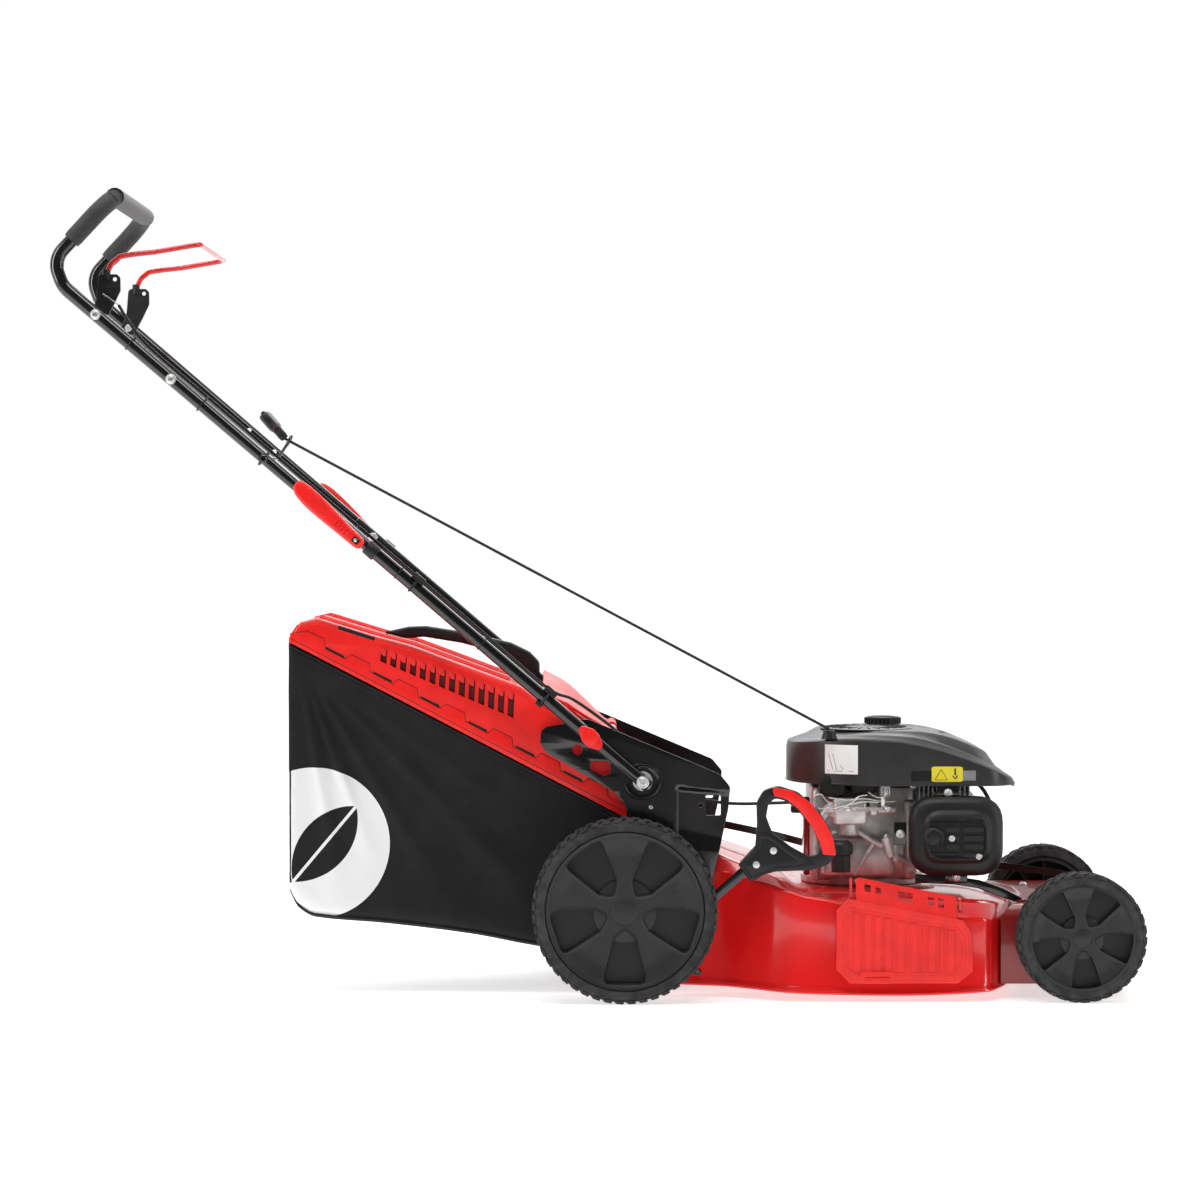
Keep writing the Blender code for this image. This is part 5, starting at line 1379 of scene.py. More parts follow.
def make_chute_flap():
    """The ribbed cover: a double-bevelled frame, a sunk panel with upright ribs, a lip and its hinge."""
    rings = []
    for distance, y in ((0.0, -0.2522), (0.0, -0.2562), (0.0022, -0.259), (0.0085, -0.259),
            (0.0105, -0.2572), (0.0145, -0.2572), (0.0165, -0.2552)):
        rings.append([(p.x, y, p.y) for p in inset(CHUTE_OUTLINE, distance)])
    back = [(p.x, -0.2522, p.y) for p in inset(CHUTE_OUTLINE, 0.004)]
    build("chute_flap_frame", loft([back] + rings), FLAP_PLASTIC, "chute_flap", "chute_flap", sharp=25,
        bevel=0.0005)
    panel = inset(CHUTE_OUTLINE, 0.0172)

    ribs = []
    for x, width in ((0.4, 0.01), (0.4165, 0.011), (0.4325, 0.01), (0.448, 0.011), (0.468, 0.013),
            (0.4885, 0.011), (0.503, 0.004), (0.516, 0.011), (0.531, 0.006), (0.5455, 0.011)):
        section = []
        sides = [crossings(panel, x - width / 2), crossings(panel, x + width / 2)]
        low, high = max(map(min, sides)) + 0.0006, min(map(max, sides)) - 0.0006
        for z in (low, high):
            section.append([(x - width / 2, -0.2545, z), (x - width / 2 + 0.0008, -0.2568, z),
                    (x + width / 2 - 0.0008, -0.2568, z), (x + width / 2, -0.2545, z)])
        ribs.append(loft(section))
    build("chute_flap_ribs", joined(ribs), FLAP_PLASTIC, "chute_flap", bevel=0.0004)
    lip = rounded_outline([(0.402, 0.029), (0.459, 0.029), (0.459, 0.0405), (0.4535, 0.048), (0.409, 0.048),
            (0.402, 0.04)], 0.002)
    inner = rounded_outline([(0.411, 0.0345), (0.451, 0.0345), (0.449, 0.04), (0.413, 0.04)], 0.001)
    plate("chute_flap_lip", lip, -0.2586, -0.26, FLAP_PLASTIC, "chute_flap", holes=[inner], edge=0.0005,
        bevel=0.0)
    start, end = 0.398, 0.554
    slope = -0.1927
    top = [(start, 0.1915), (end, 0.1915 + slope * (end - start))]
    strip = [(start + 0.001, 0.15), (start + 0.001, top[0][1] - 0.004, 0), (start + 0.005, top[0][1]),
        (end - 0.004, top[1][1] + 0.001), (end, top[1][1] - 0.004), (end, 0.127)]
    windows = []
    for x0, x1, drop0, drop1 in ((0.412, 0.4215, 0.004, 0.0155), (0.429, 0.4375, 0.006, 0.017),
            (0.464, 0.487, 0.005, 0.019), (0.51, 0.52, 0.005, 0.017), (0.526, 0.535, 0.004, 0.018)):
        z0, z1 = (0.189 + slope * (x - start) for x in (x0, x1))
        windows.append([Vector((x0, z0 - drop1)), Vector((x1, z1 - drop1)), Vector((x1, z1 - drop0)),
                Vector((x0, z0 - drop0))])

    def lean(point):
        share = min(1.0, max(0.0, (point.z - 0.15 - slope * (point.x - start)) / 0.0385))
        return Vector((point.x, point.y + 0.0165 * share ** 1.2, point.z))

    plate("chute_flap_hinge", strip, -0.254, -0.2575, FLAP_PLASTIC, "chute_flap", holes=windows,
        edge=0.0005, bend=lean)
    rod = swept([chute_hinge(0.3985), chute_hinge(0.554)], 0.003, 14)
    build("chute_flap_rod", rod, ZINC, "chute_flap")
    knuckles = [swept([chute_hinge(a), chute_hinge(b)], 0.0052, 16)
        for a, b in ((0.4, 0.411), (0.4385, 0.463), (0.488, 0.509), (0.536, 0.5535))]
    build("chute_flap_knuckles", joined(knuckles), FLAP_PLASTIC, "chute_flap")


def make_apron():
    """The dark front cover, its ridges, strap and fasteners."""
    outline = [(0.627, -0.2045), (0.8, -0.2045), (0.836, -0.165), (0.836, 0.165), (0.8, 0.2045),
        (0.627, 0.2045), (0.6655, 0.1), (0.6655, -0.1)]
    rings = []
    for distance, z in ((0.0, 0.022), (0.0, 0.127), (0.0012, 0.1296), (0.012, 0.1436), (0.015, 0.1449)):
        rings.append([(p.x, p.y, z) for p in inset(outline, distance)])
    piece = build("apron_detail", loft(rings, start_cap=False), DARK_RED, "deck", "front_apron", sharp=28)
    thicken(piece, 0.0025)
    edge = piece.modifiers.new("edge", "BEVEL")
    edge.width, edge.segments, edge.limit_method = 0.0012, 3, "ANGLE"
    ridge = [(0.655, 0.1445), (0.664, 0.1495), (0.69, 0.151), (0.724, 0.1485), (0.73, 0.144), (0.7, 0.139),
        (0.664, 0.14)]
    plate("apron_ridge", rounded_outline(ridge, 0.002), -0.162, -0.156, DARK_RED, "deck", edge=0.0015)
    bolts = [round_head((x, y, 0.145), (0, 0, 1), 0.0065, 0.004)
        for x, y in ((0.7, -0.12), (0.7, 0.12), (0.79, -0.12), (0.79, 0.12))]
    build("apron_bolts", joined(bolts), ZINC, "deck")
    strap = [(0.498, 0.1885, 0.003), (0.56, 0.185, 0.02), (0.6, 0.179, 0.02), (0.635, 0.1665, 0.02),
        (0.668, 0.15, 0.002), (0.668, 0.1455, 0.001), (0.655, 0.145, 0.002), (0.63, 0.1535, 0.02),
        (0.597, 0.166, 0.02), (0.558, 0.172, 0.02), (0.498, 0.1745, 0.003)]
    plate("strap_detail", rounded_outline(strap, 0.004), -0.1535, -0.15, BLACK_PAINT, "deck", edge=0.001,
        replaces="front_strap")


ROPE_Y = -0.12
ROPE_EXIT = Vector((0.365, ROPE_Y, 0.4145))
ROPE_EYE = Vector((-0.49, ROPE_Y, 0.871))
ROPE_RADIUS = 0.00225
GRIP_TILT = math.radians(130.7)


# --- Engine --------------------------------------------------------------------------------------------

BLADE_X, BLADE_Z = 0.425, 0.047
SHROUD_TOP = ((0.3, 0.403), (0.33, 0.41), (0.38, 0.4118), (0.5, 0.4112), (0.55, 0.404), (0.6, 0.385),
    (0.64, 0.366), (0.662, 0.352))
SHROUD_RIDGE = ((0.3, 0.394), (0.34, 0.399), (0.392, 0.4035), (0.44, 0.4048), (0.494, 0.402),
    (0.551, 0.388), (0.592, 0.3715), (0.632, 0.352), (0.662, 0.34))
SHROUD_CREASE = ((0.3, 0.39), (0.349, 0.395), (0.4, 0.399), (0.467, 0.3965), (0.521, 0.387),
    (0.574, 0.3705), (0.615, 0.355), (0.646, 0.341), (0.662, 0.334))


def shroud_plan(distance=0.0, steps=20):
    """The cowl in plan, from above: a half circle behind and rounded corners in front."""
    radius, corner = 0.156 - distance, 0.06 - 0.6 * distance
    centre, front = 0.458, 0.662 - distance
    width = radius - 0.004 * (1 - min(1.0, distance / 0.06))
    points = loop((centre, 0), radius, 270, 90, steps)
    for i in range(1, 7):
        points.append(Vector((centre + (front - corner - centre) * i / 7,
                    width + (radius - width) * (1 - i / 7))))
    points += loop((front - corner, width - corner), corner, 90, 0, 6)
    for i in range(1, 8):
        points.append(Vector((front, (width - corner) * (1 - 2 * i / 8))))
    points += loop((front - corner, corner - width), corner, 0, -90, 6)
    for i in range(1, 7):
        points.append(Vector((front - corner - (front - corner - centre) * i / 7,
                    -width - (radius - width) * i / 7)))
    return points


COVER_PLACE = Vector((0.43, -0.03, 0.4112))  # the round starter cover on top of the cowl


def make_shroud():
    """The cowl: nested outlines with a crease, a raised ridge and a flat top, hollow underneath."""
    levels = ((0.0, None, 0.3275), (0.0012, None, 0.33), (0.0014, SHROUD_CREASE, -0.01),
        (0.003, SHROUD_CREASE, -0.0012), (0.0052, SHROUD_CREASE, 0.0006), (0.012, SHROUD_CREASE, 0.0026),
        (0.02, SHROUD_RIDGE, -0.001), (0.023, SHROUD_RIDGE, 0.0005), (0.03, SHROUD_RIDGE, 0.0018),
        (0.044, SHROUD_TOP, -0.003), (0.048, SHROUD_TOP, -0.0008), (0.056, SHROUD_TOP, 0.0),
        (0.08, SHROUD_TOP, 0.0002), (0.115, SHROUD_TOP, 0.0002))
    rings = []
    for distance, stops, height in levels:
        rings.append([(p.x, p.y, height if stops is None else min(0.4118, on_curve(p.x, stops) + height))
                for p in shroud_plan(distance)])
    piece = build("shroud_detail", loft(rings, start_cap=False), SHROUD, "deck", "engine_shroud", sharp=24)
    thicken(piece, 0.0028)
    cut_through(piece, [(0.309, -0.175, 0.3968), (0.327, -0.1, 0.415)])
    cut_through(piece, [(0.3345, -0.175, 0.3975), (0.35, -0.12, 0.415)])
    lip = [(0.0062, 0.4085), (0.0064, 0.4118), (0.0078, 0.4128), (0.0094, 0.4122), (0.01, 0.408),
        (0.013, 0.399)]
    build("shroud_rope_lip", turned(lip, (ROPE_EXIT.x, ROPE_EXIT.y, 0), (0, 0, 1), 32), BLACK_PLASTIC,
        "deck", sharp=40)
    # A dark disc across the rope's hole: painted shade.
    throat = [(0.0001, 0.409), (0.0063, 0.41)]
    build("shroud_rope_throat", turned(throat, (ROPE_EXIT.x, ROPE_EXIT.y, 0), (0, 0, 1), 24, False),
        DEEP_BLACK, "deck")
    # A dark sheet inside the cowl: painted shade under it.
    inner = [[(p.x, p.y, min(z, on_curve(p.x, SHROUD_CREASE) - 0.006)) for p in shroud_plan(0.012, 8)]
        for z in (0.329, 0.39)]
    build("shroud_lining", loft(inner, end_cap=False), DEEP_BLACK, "deck")
    dome = [(0.0745, 0.0), (0.074, 0.0012), (0.07, 0.002), (0.024, 0.0026), (0.0001, 0.0026)]
    build("starter_cover", turned(dome, COVER_PLACE, (0, 0, 1), 72, False), SHROUD, "deck", sharp=30)
    bars = []
    for i in range(24):
        angle = 2 * math.pi * i / 24
        out = Vector((math.cos(angle), math.sin(angle), 0))
        across = Vector((-out.y, out.x, 0)) * 0.0016
        base = COVER_PLACE + Vector((0, 0, 0.0022))
        bars.append(loft([[base + out * r - across, base + out * r + across,
                    base + out * r + across * 0.7 + Vector((0, 0, 0.001)),
                    base + out * r - across * 0.7 + Vector((0, 0, 0.001))] for r in (0.034, 0.064)]))
    build("starter_cover_grille", joined(bars), DEEP_BLACK, "deck")
    make_labels()


def on_shroud(x, z, lift=0.0006):
    """A point on the cowl's right side at x and a height."""
    return Vector((x, min(crossings(shroud_plan(0.0013), x)) - lift, z))


def sticker(name, x0, x1, z0, z1, material, lift=0.0006, corner=0.0, slant=0.0):
    """A thin curved patch on the cowl's side."""
    outline = rounded_outline([(x0, z0, corner), (x1, z0 + slant, corner), (x1, z1 + slant, corner),
            (x0, z1, corner)], corner)
    rows = []
    columns = 12
    for i in range(columns + 1):
        x = x0 + (x1 - x0) * i / columns
        hits = crossings(outline, x)
        low, high = (min(hits), max(hits)) if hits else (z0, z1)
        face, back = on_shroud(x, 0, lift).y, on_shroud(x, 0, 0.0).y
        rows.append([(x, back, low), (x, face, low), (x, face, high), (x, back, high)])
    build(name, loft(rows), material, "deck", sharp=40)


def make_labels():
    """Plain patches where the machine has its labels, with generic line marks and no lettering."""
    sticker("side_patch_white", 0.3585, 0.4085, 0.3445, 0.3905, WHITE_PRINT_AND_HOLE_LIGHT, corner=0.0025)
    sticker("side_patch_rim", 0.357, 0.41, 0.3432, 0.3918, INK, lift=0.0003, corner=0.003)
    sticker("side_patch_black", 0.492, 0.525, 0.3345, 0.3505, BLACK_PAINT)
    sticker("side_patch_yellow", 0.524, 0.573, 0.3335, 0.3575, YELLOW_LABEL, lift=0.0009, corner=0.0015)
    sticker("side_patch_grey", 0.5725, 0.5935, 0.3355, 0.351, GREY_LABEL)
    marks = []
    for x0, z0, x1, z1 in ((0.364, 0.349, 0.402, 0.349), (0.37, 0.352, 0.364, 0.377),
            (0.376, 0.351, 0.37, 0.376), (0.382, 0.358, 0.386, 0.352)):
        marks.append(swept([on_shroud(x0, z0, 0.0006), on_shroud((x0 + x1) / 2, (z0 + z1) / 2, 0.0006),
                    on_shroud(x1, z1, 0.0006)], 0.0004, 6))
    for x0, z0, x1, z1 in ((0.529, 0.3365, 0.539, 0.353), (0.539, 0.353, 0.549, 0.3365),
            (0.529, 0.3365, 0.549, 0.3365)):
        marks.append(swept([on_shroud(x0, z0, 0.0009), on_shroud(x1, z1, 0.0009)], 0.0005, 6))
    marks.append(swept([on_shroud(0.561, 0.3545, 0.0009), on_shroud(0.561, 0.344, 0.0009)], 0.0013, 8))
    marks.append(swept([on_shroud(0.557, 0.343, 0.0009), on_shroud(0.561, 0.3385, 0.0009),
                on_shroud(0.565, 0.343, 0.0009)], 0.001, 8))
    build("side_patch_marks", joined(marks), INK, "deck")


def make_fuel_cap():
    """The round cap: a ribbed rim and a raised grip bar."""
    centre = centre_of("fuel_cap")
    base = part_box("fuel_cap")[0].z
    shapes = [solid_turned([(0.0275, 0.0), (0.0285, 0.001), (0.0285, 0.01), (0.027, 0.0118),
                (0.0225, 0.0124), (0.0215, 0.0112), (0.0001, 0.0112)], (centre.x, centre.y, base),
            (0, 0, 1), 64)]
    for i in range(30):
        angle = 2 * math.pi * i / 30
        out = Vector((math.cos(angle), math.sin(angle), 0))
        foot = Vector((centre.x, centre.y, base)) + out * 0.0287
        shapes.append(swept([foot + Vector((0, 0, 0.0012)), foot + Vector((0, 0, 0.0104))], 0.0013, 8))
    grip = box((centre.x - 0.018, centre.y - 0.0035, base + 0.0105),
        (centre.x + 0.018, centre.y + 0.0035, base + 0.0124))
    build("fuel_cap_detail", joined(shapes + [grip]), BLACK_PLASTIC, "fuel_cap", "fuel_cap", sharp=35)


def rounded_block(low, high, radius, taper=0.0):
    """A soft-edged block, slightly narrower at its top, as a casting has."""
    (x0, y0, z0), (x1, y1, z1) = low, high
    rings = []
    for distance, z in ((radius, z0), (radius * 0.3, z0 + radius * 0.3), (0.0, z0 + radius),
            (taper, z1 - radius), (taper + radius * 0.3, z1 - radius * 0.3), (taper + radius, z1)):
        corners = [(x0 + distance, y0 + distance), (x1 - distance, y0 + distance),
            (x1 - distance, y1 - distance), (x0 + distance, y1 - distance)]
        rings.append([(p.x, p.y, z) for p in rounded_outline(corners, radius * 1.5, 4)])
    return loft(rings)


def make_crankcase():
    """The cast case: base flange with bolts, body, side cover with ribs, bosses and cylinder deck."""
    shapes = [solid_turned([(0.034, 0.138), (0.034, 0.164), (0.0975, 0.1642), (0.098, 0.1655),
                (0.098, 0.1745), (0.096, 0.1765), (0.06, 0.18), (0.05, 0.2)], (BLADE_X, 0, 0), (0, 0, 1),
            72), rounded_block((0.335, -0.088, 0.172), (0.506, 0.088, 0.322), 0.01, 0.004),
        rounded_block((0.352, -0.1115, 0.18), (0.47, -0.08, 0.242), 0.008, 0.005),
        rounded_block((0.336, -0.101, 0.174), (0.35, -0.08, 0.29), 0.004),
        rounded_block((0.485, -0.1, 0.174), (0.506, -0.07, 0.3), 0.006)]
    y = -0.1125
    for points, size in (
        (((0.362, -0.098, 0.29), (0.37, y, 0.279), (0.435, y, 0.236), (0.45, y, 0.228)), 0.005),
        (((0.405, y, 0.183), (0.418, y, 0.205), (0.436, y, 0.233)), 0.0038),
        (((0.456, y, 0.224), (0.476, -0.106, 0.21), (0.498, -0.101, 0.196)), 0.004),
        (((0.356, y, 0.186), (0.362, y, 0.242), (0.376, y, 0.252)), 0.0034),
    ):
        shapes.append(swept([Vector(p) for p in points], size, 12))
    shapes.append(swept([(0.354, -0.109, 0.27), (0.372, -0.113, 0.296)], 0.0078, 16))
    shapes.append(swept([(0.464, -0.118, 0.212), (0.456, -0.118, 0.243)], 0.0082, 18))
    shapes.append(swept([(0.47, -0.118, 0.205), (0.47, -0.118, 0.235)], 0.0044, 14))
    build("crankcase_detail", joined(shapes), ALUMINIUM, "deck", "crankcase", sharp=35, bevel=0.0008)
    bolts = []
    for angle in (20, 65, 115, 160, 200, 245, 295, 340):
        a = math.radians(angle)
        bolts.append(hexagon_head((BLADE_X + 0.088 * math.cos(a), 0.088 * math.sin(a), 0.1766), (0, 0, 1),
                0.011, 0.006, 0.0075))
    for x, z in ((0.343, 0.196), (0.343, 0.27), (0.4955, 0.19), (0.4955, 0.285)):
        bolts.append(hexagon_head((x, -0.101, z), (0, -1, 0), 0.008, 0.005, 0.0058))
    bolts.append(round_head((0.456, -0.118, 0.243), (0.24, 0, 0.97), 0.0055, 0.005))
    build("crankcase_bolts", joined(bolts), ZINC, "deck", sharp=30)
    blocks = [rounded_block((0.34, -0.08, 0.3185), (0.5, 0.08, 0.342), 0.006),
        rounded_block((0.35, -0.126, 0.308), (0.392, -0.08, 0.342), 0.006),
        rounded_block((0.398, -0.126, 0.312), (0.44, -0.08, 0.342), 0.006)]
    build("crankcase_top_duct", joined(blocks), DEEP_BLACK, "deck")
    bracket = rounded_block((0.444, -0.122, 0.306), (0.462, -0.08, 0.34), 0.004)
    build("crankcase_top_bracket", bracket, BARE_STEEL, "deck")


def make_cylinder_head():
    """The finned head, the spark plug's boot and its lead."""
    shapes = [rounded_block((0.5065, -0.06, 0.205), (0.598, 0.06, 0.312), 0.006)]
    for number in range(12):
        x = 0.511 + number * 0.0072
        shapes.append(rounded_block((x, -0.066, 0.1962), (x + 0.0026, 0.066, 0.3208), 0.001))
    shapes.append(rounded_block((0.593, -0.056, 0.21), (0.6, 0.056, 0.308), 0.003))
    build("cylinder_head_detail", joined(shapes), ALUMINIUM, "deck", "cylinder_head", sharp=35)
    low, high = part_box("spark_plug")
    y, z = (low.y + high.y) / 2, (low.z + high.z) / 2
    boot = [(0.006, 0.6003), (0.0085, 0.602), (0.0095, 0.61), (0.01, 0.618), (0.0128, 0.622),
        (0.013, 0.6385), (0.011, 0.64), (0.0001, 0.64)]
    build("spark_plug_boot", solid_turned(boot, (0, y, z), (1, 0, 0), 32), BLACK_PLASTIC, "deck",
        "spark_plug")
    lead = smooth_route([(0.633, y, z + 0.01), (0.634, y, z + 0.03), (0.62, y + 0.01, z + 0.055),
            (0.6, y + 0.02, z + 0.068)], 20)
    build("spark_plug_lead", swept(lead, 0.0032, 12), RUBBER, "deck")


def slot_shape(x0, x1, z, half):
    """A slot with round ends, in X and Z."""
    points = arc((x1 - half, z), half, -90, 90, 8) + arc((x0 + half, z), half, 90, 270, 8)
    return [Vector(point) for point in points]


def make_muffler():
    """The black guard with its sunk rim, slotted panel and outlet ring, and the silencer box behind it."""
    low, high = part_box("muffler_guard")

    def frame_ring(distance, y, corner):
        x0, x1, z0, z1 = low.x + distance, high.x - distance, low.z + distance, high.z - distance
        return [(p.x, y, p.y) for p in rounded_outline([(x0, z0), (x1, z0), (x1, z1), (x0, z1)], corner, 6)]

    rings = [frame_ring(d, y, c) for d, y, c in ((0.0, -0.1425, 0.042), (0.0, -0.166, 0.042),
            (0.001, -0.17, 0.041), (0.004, -0.1745, 0.039), (0.0095, -0.1782, 0.036),
            (0.014, -0.1796, 0.033), (0.019, -0.18, 0.029), (0.0215, -0.1812, 0.027),
            (0.024, -0.185, 0.025), (0.0262, -0.1872, 0.023), (0.029, -0.188, 0.021))]
    vertices, faces = loft(rings, start_cap=False, end_cap=False)
    piece = build("muffler_guard_rim", (vertices, faces), BLACK_PLASTIC, "deck", "muffler_guard", sharp=40)
    thicken(piece, 0.0018)
    outline = [Vector((p[0], p[2])) for p in frame_ring(0.0286, 0, 0.0215)]
    holes = []
    for row, z in enumerate((0.274, 0.2609, 0.2475, 0.2342, 0.2213)):
        start = 0.5162 if row in (0, 4) else 0.544
        holes.append(slot_shape(start, 0.5643, z, 0.0034))
        holes.append(slot_shape(0.571, 0.6018, z, 0.0034))
    ring_centre = (0.5245, 0.248)
    # A dark sheet close behind the slotted panel: painted shade, so that the slots read black.
    plate("muffler_guard_shade", inset([tuple(p) for p in outline], 0.001), -0.1856, -0.185, DEEP_BLACK,
        "deck", edge=0.0001)
    holes.append(loop(ring_centre, 0.012, 0, 352, 44))
    plate("muffler_guard_panel", outline, -0.188, -0.1862, BLACK_PLASTIC, "deck", holes=holes, edge=0.0006)
    outlet = [(0.0118, -0.004), (0.0118, 0.002), (0.0132, 0.0028), (0.015, 0.0028), (0.0164, 0.0016),
        (0.0166, 0.0)]
    build("muffler_outlet_ring", turned(facing(-1, outlet), (ring_centre[0], -0.1878, ring_centre[1]),
            steps=48), BLACK_PLASTIC, "deck")
    tube = [(0.0085, 0.0), (0.0085, 0.02), (0.01, 0.02), (0.01, 0.0)]
    build("muffler_outlet", turned(facing(-1, tube), (ring_centre[0], -0.164, ring_centre[1]), steps=32),
        BLADE, "deck")
    can = [rounded_block((0.505, -0.176, 0.203), (0.618, -0.128, 0.294), 0.01),
        swept([(0.545, -0.13, 0.25), (0.545, -0.0675, 0.25)], 0.012, 24)]
    build("muffler_can", joined(can), BLADE, "deck", "muffler", sharp=35)
    screws = [round_head((x, y, z), (0, -1, 0), r, 0.004)
        for x, y, z, r in ((0.5525, -0.188, 0.2475, 0.0048), (0.595, -0.188, 0.219, 0.0048),
            (0.5497, -0.156, 0.3165, 0.0066), (0.4745, -0.156, 0.2521, 0.0066),
            (0.5625, -0.156, 0.1838, 0.0066))]
    build("muffler_screws", joined(screws), ZINC, "deck")
    tabs = []
    for x, z, dx, dz in ((0.5497, 0.3165, 0.018, 0.01), (0.4745, 0.2521, 0.01, 0.018),
            (0.5625, 0.1838, 0.018, 0.01)):
        tabs.append(rounded_block((x - dx, -0.156, z - dz), (x + dx, -0.153, z + dz), 0.0012))
    build("muffler_tabs", joined(tabs), BLACK_PAINT, "deck")
    # Small bright zinc domes along the guard's edge, between the slot rows: painted glints.
    glints = [round_head((0.6262, -0.17, z), (0.35, -0.93, 0), 0.003, 0.0016, False)
        for z in (0.2665, 0.2568, 0.2467, 0.2368, 0.2268)]
    build("muffler_guard_painted_glints", joined(glints), ZINC, "deck")


def make_carburettor():
    """Carburettor body, linkage rods, governor spring and brake bracket, between the case and the cowl."""
    shapes = [rounded_block((0.372, -0.132, 0.264), (0.424, -0.0885, 0.306), 0.004),
        solid_turned([(0.015, 0.2465), (0.016, 0.248), (0.016, 0.265), (0.012, 0.268)], (0.398, -0.11, 0),
            (0, 0, 1), 32), swept([(0.36, -0.114, 0.286), (0.47, -0.114, 0.286)], 0.007, 20),
        rounded_block((0.428, -0.13, 0.278), (0.442, -0.1, 0.301), 0.003)]
    build("carburettor_detail", joined(shapes), ALUMINIUM, "deck", "carburettor", sharp=35, bevel=0.0006)
    links = []
    for points in (((0.342, -0.128, 0.31), (0.352, -0.132, 0.312), (0.36, -0.134, 0.302),
                (0.37, -0.134, 0.298)), ((0.348, -0.13, 0.29), (0.364, -0.134, 0.289),
                (0.39, -0.136, 0.295), (0.416, -0.136, 0.301), (0.442, -0.134, 0.3)),
            ((0.364, -0.132, 0.307), (0.39, -0.136, 0.304), (0.42, -0.136, 0.306), (0.448, -0.132, 0.301),
                (0.47, -0.128, 0.301)), ((0.426, -0.134, 0.316), (0.44, -0.136, 0.308),
                (0.456, -0.134, 0.311), (0.458, -0.13, 0.323)),
            ((0.378, -0.136, 0.286), (0.4, -0.138, 0.3), (0.41, -0.138, 0.309), (0.424, -0.136, 0.312))):
        links.append(swept(smooth_route(points, 16), 0.0013, 8))
    spring = coil((0.3985, -0.138, 0.2895), (0.4485, -0.138, 0.2895), (0, 1, 0), 0.0032, 220, 12)
    links.append(swept(spring, 0.0007, 6))
    links.append(solid_turned([(0.0055, 0.0), (0.0055, 0.004), (0.003, 0.006), (0.0001, 0.006)],
            (0.456, -0.134, 0.289), (0, -1, 0), 20))
    links.append(solid_turned([(0.0045, 0.0), (0.0045, 0.004), (0.003, 0.005), (0.0001, 0.005)],
            (0.393, -0.134, 0.2895), (0, -1, 0), 20))
    links.append(rounded_block((0.446, -0.134, 0.292), (0.452, -0.132, 0.32), 0.0008))
    build("carburettor_links", joined(links), ZINC, "deck")
    brake = [rounded_block((0.312, -0.104, 0.292), (0.336, -0.092, 0.306), 0.003),
        rounded_block((0.306, -0.1, 0.28), (0.326, -0.08, 0.292), 0.003)]
    build("brake_clamp", joined(brake), BLACK_PLASTIC, "deck")
    post = [rounded_block((0.327, -0.086, 0.18), (0.336, -0.04, 0.282), 0.002)]
    build("engine_rear_post", joined(post), DARK_RED, "deck")
    low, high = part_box("air_filter_cover")
    filter_box = [rounded_block(tuple(low), tuple(high), 0.012, 0.003)]
    for i in range(6):
        z = low.z + 0.016 + 0.0105 * i
        filter_box.append(rounded_block((low.x + 0.018, high.y - 0.0045, z),
                (high.x - 0.018, high.y - 0.0004, z + 0.0045), 0.0012))
    build("air_filter_detail", joined(filter_box), SHROUD, "deck", "air_filter_cover", sharp=30)


def make_oil_filler():
    """The filler's neck and its ribbed cap with a grip bar."""
    low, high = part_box("oil_filler_cap")
    centre = (low + high) / 2
    shapes = [solid_turned([(0.015, low.z), (0.015, low.z + 0.026), (0.018, low.z + 0.028),
                (0.018, high.z - 0.006), (0.015, high.z - 0.002), (0.0001, high.z)],
            (centre.x, centre.y, 0), (0, 0, 1), 40)]
    for i in range(12):
        angle = 2 * math.pi * i / 12
        foot = Vector((centre.x + 0.0172 * math.cos(angle), centre.y + 0.0172 * math.sin(angle),
                low.z + 0.03))
        shapes.append(swept([foot, foot + Vector((0, 0, 0.013))], 0.0017, 8))
    shapes.append(rounded_block((centre.x - 0.013, centre.y - 0.003, high.z - 0.004),
            (centre.x + 0.013, centre.y + 0.003, high.z), 0.0015))
    build("oil_filler_detail", joined(shapes), BLACK_PLASTIC, "deck", "oil_filler_cap", sharp=35)


def make_blade():
    """The blade, its adapter and its bolt."""
    top = BLADE_Z + 0.002
    shaft = [(0.03, top + 0.0003), (0.03, top + 0.009), (0.028, top + 0.01), (0.02, top + 0.014),
        (0.02, top + 0.026), (0.0125, top + 0.028), (0.0125, 0.137)]
    build("crankshaft_detail", solid_turned(shaft, (BLADE_X, 0, 0), (0, 0, 1), 40), BARE_STEEL,
        "crankshaft", "crankshaft")
    sections = []
    reach = 0.22
    for index in range(41):
        share = -1 + 2 * index / 40
        x = BLADE_X + reach * share
        rise = min(1.0, max(0.0, (abs(share) - 0.6) / 0.25))
        lift = 0.022 * rise * rise * (3 - 2 * rise)
        front, back = (-0.025, 0.025) if share < 0 else (0.025, -0.025)
        trim = 1.0 if abs(share) < 0.98 else 0.6
        edge = 0.0004 if abs(share) > 0.5 else 0.0018
        section = [(x, front * trim, BLADE_Z - edge), (x, front * 0.7 * trim, BLADE_Z - 0.002),
            (x, back * 0.45, BLADE_Z - 0.002), (x, back, BLADE_Z - 0.002 + lift),
            (x, back, BLADE_Z + 0.002 + lift), (x, back * 0.45, BLADE_Z + 0.002),
            (x, front * 0.7 * trim, BLADE_Z + 0.002), (x, front * trim, BLADE_Z + edge)]
        if share >= 0:
            section = [section[k] for k in (3, 2, 1, 0, 7, 6, 5, 4)]
        sections.append(section)
    build("blade_detail", loft(sections), BLADE, "crankshaft", "blade", sharp=30)
    bolt = hexagon_head((BLADE_X, 0, BLADE_Z - 0.004), (0, 0, -1), 0.017, 0.008, 0.016)
    build("blade_bolt_detail", bolt, ZINC, "crankshaft", "blade_bolt", sharp=30)


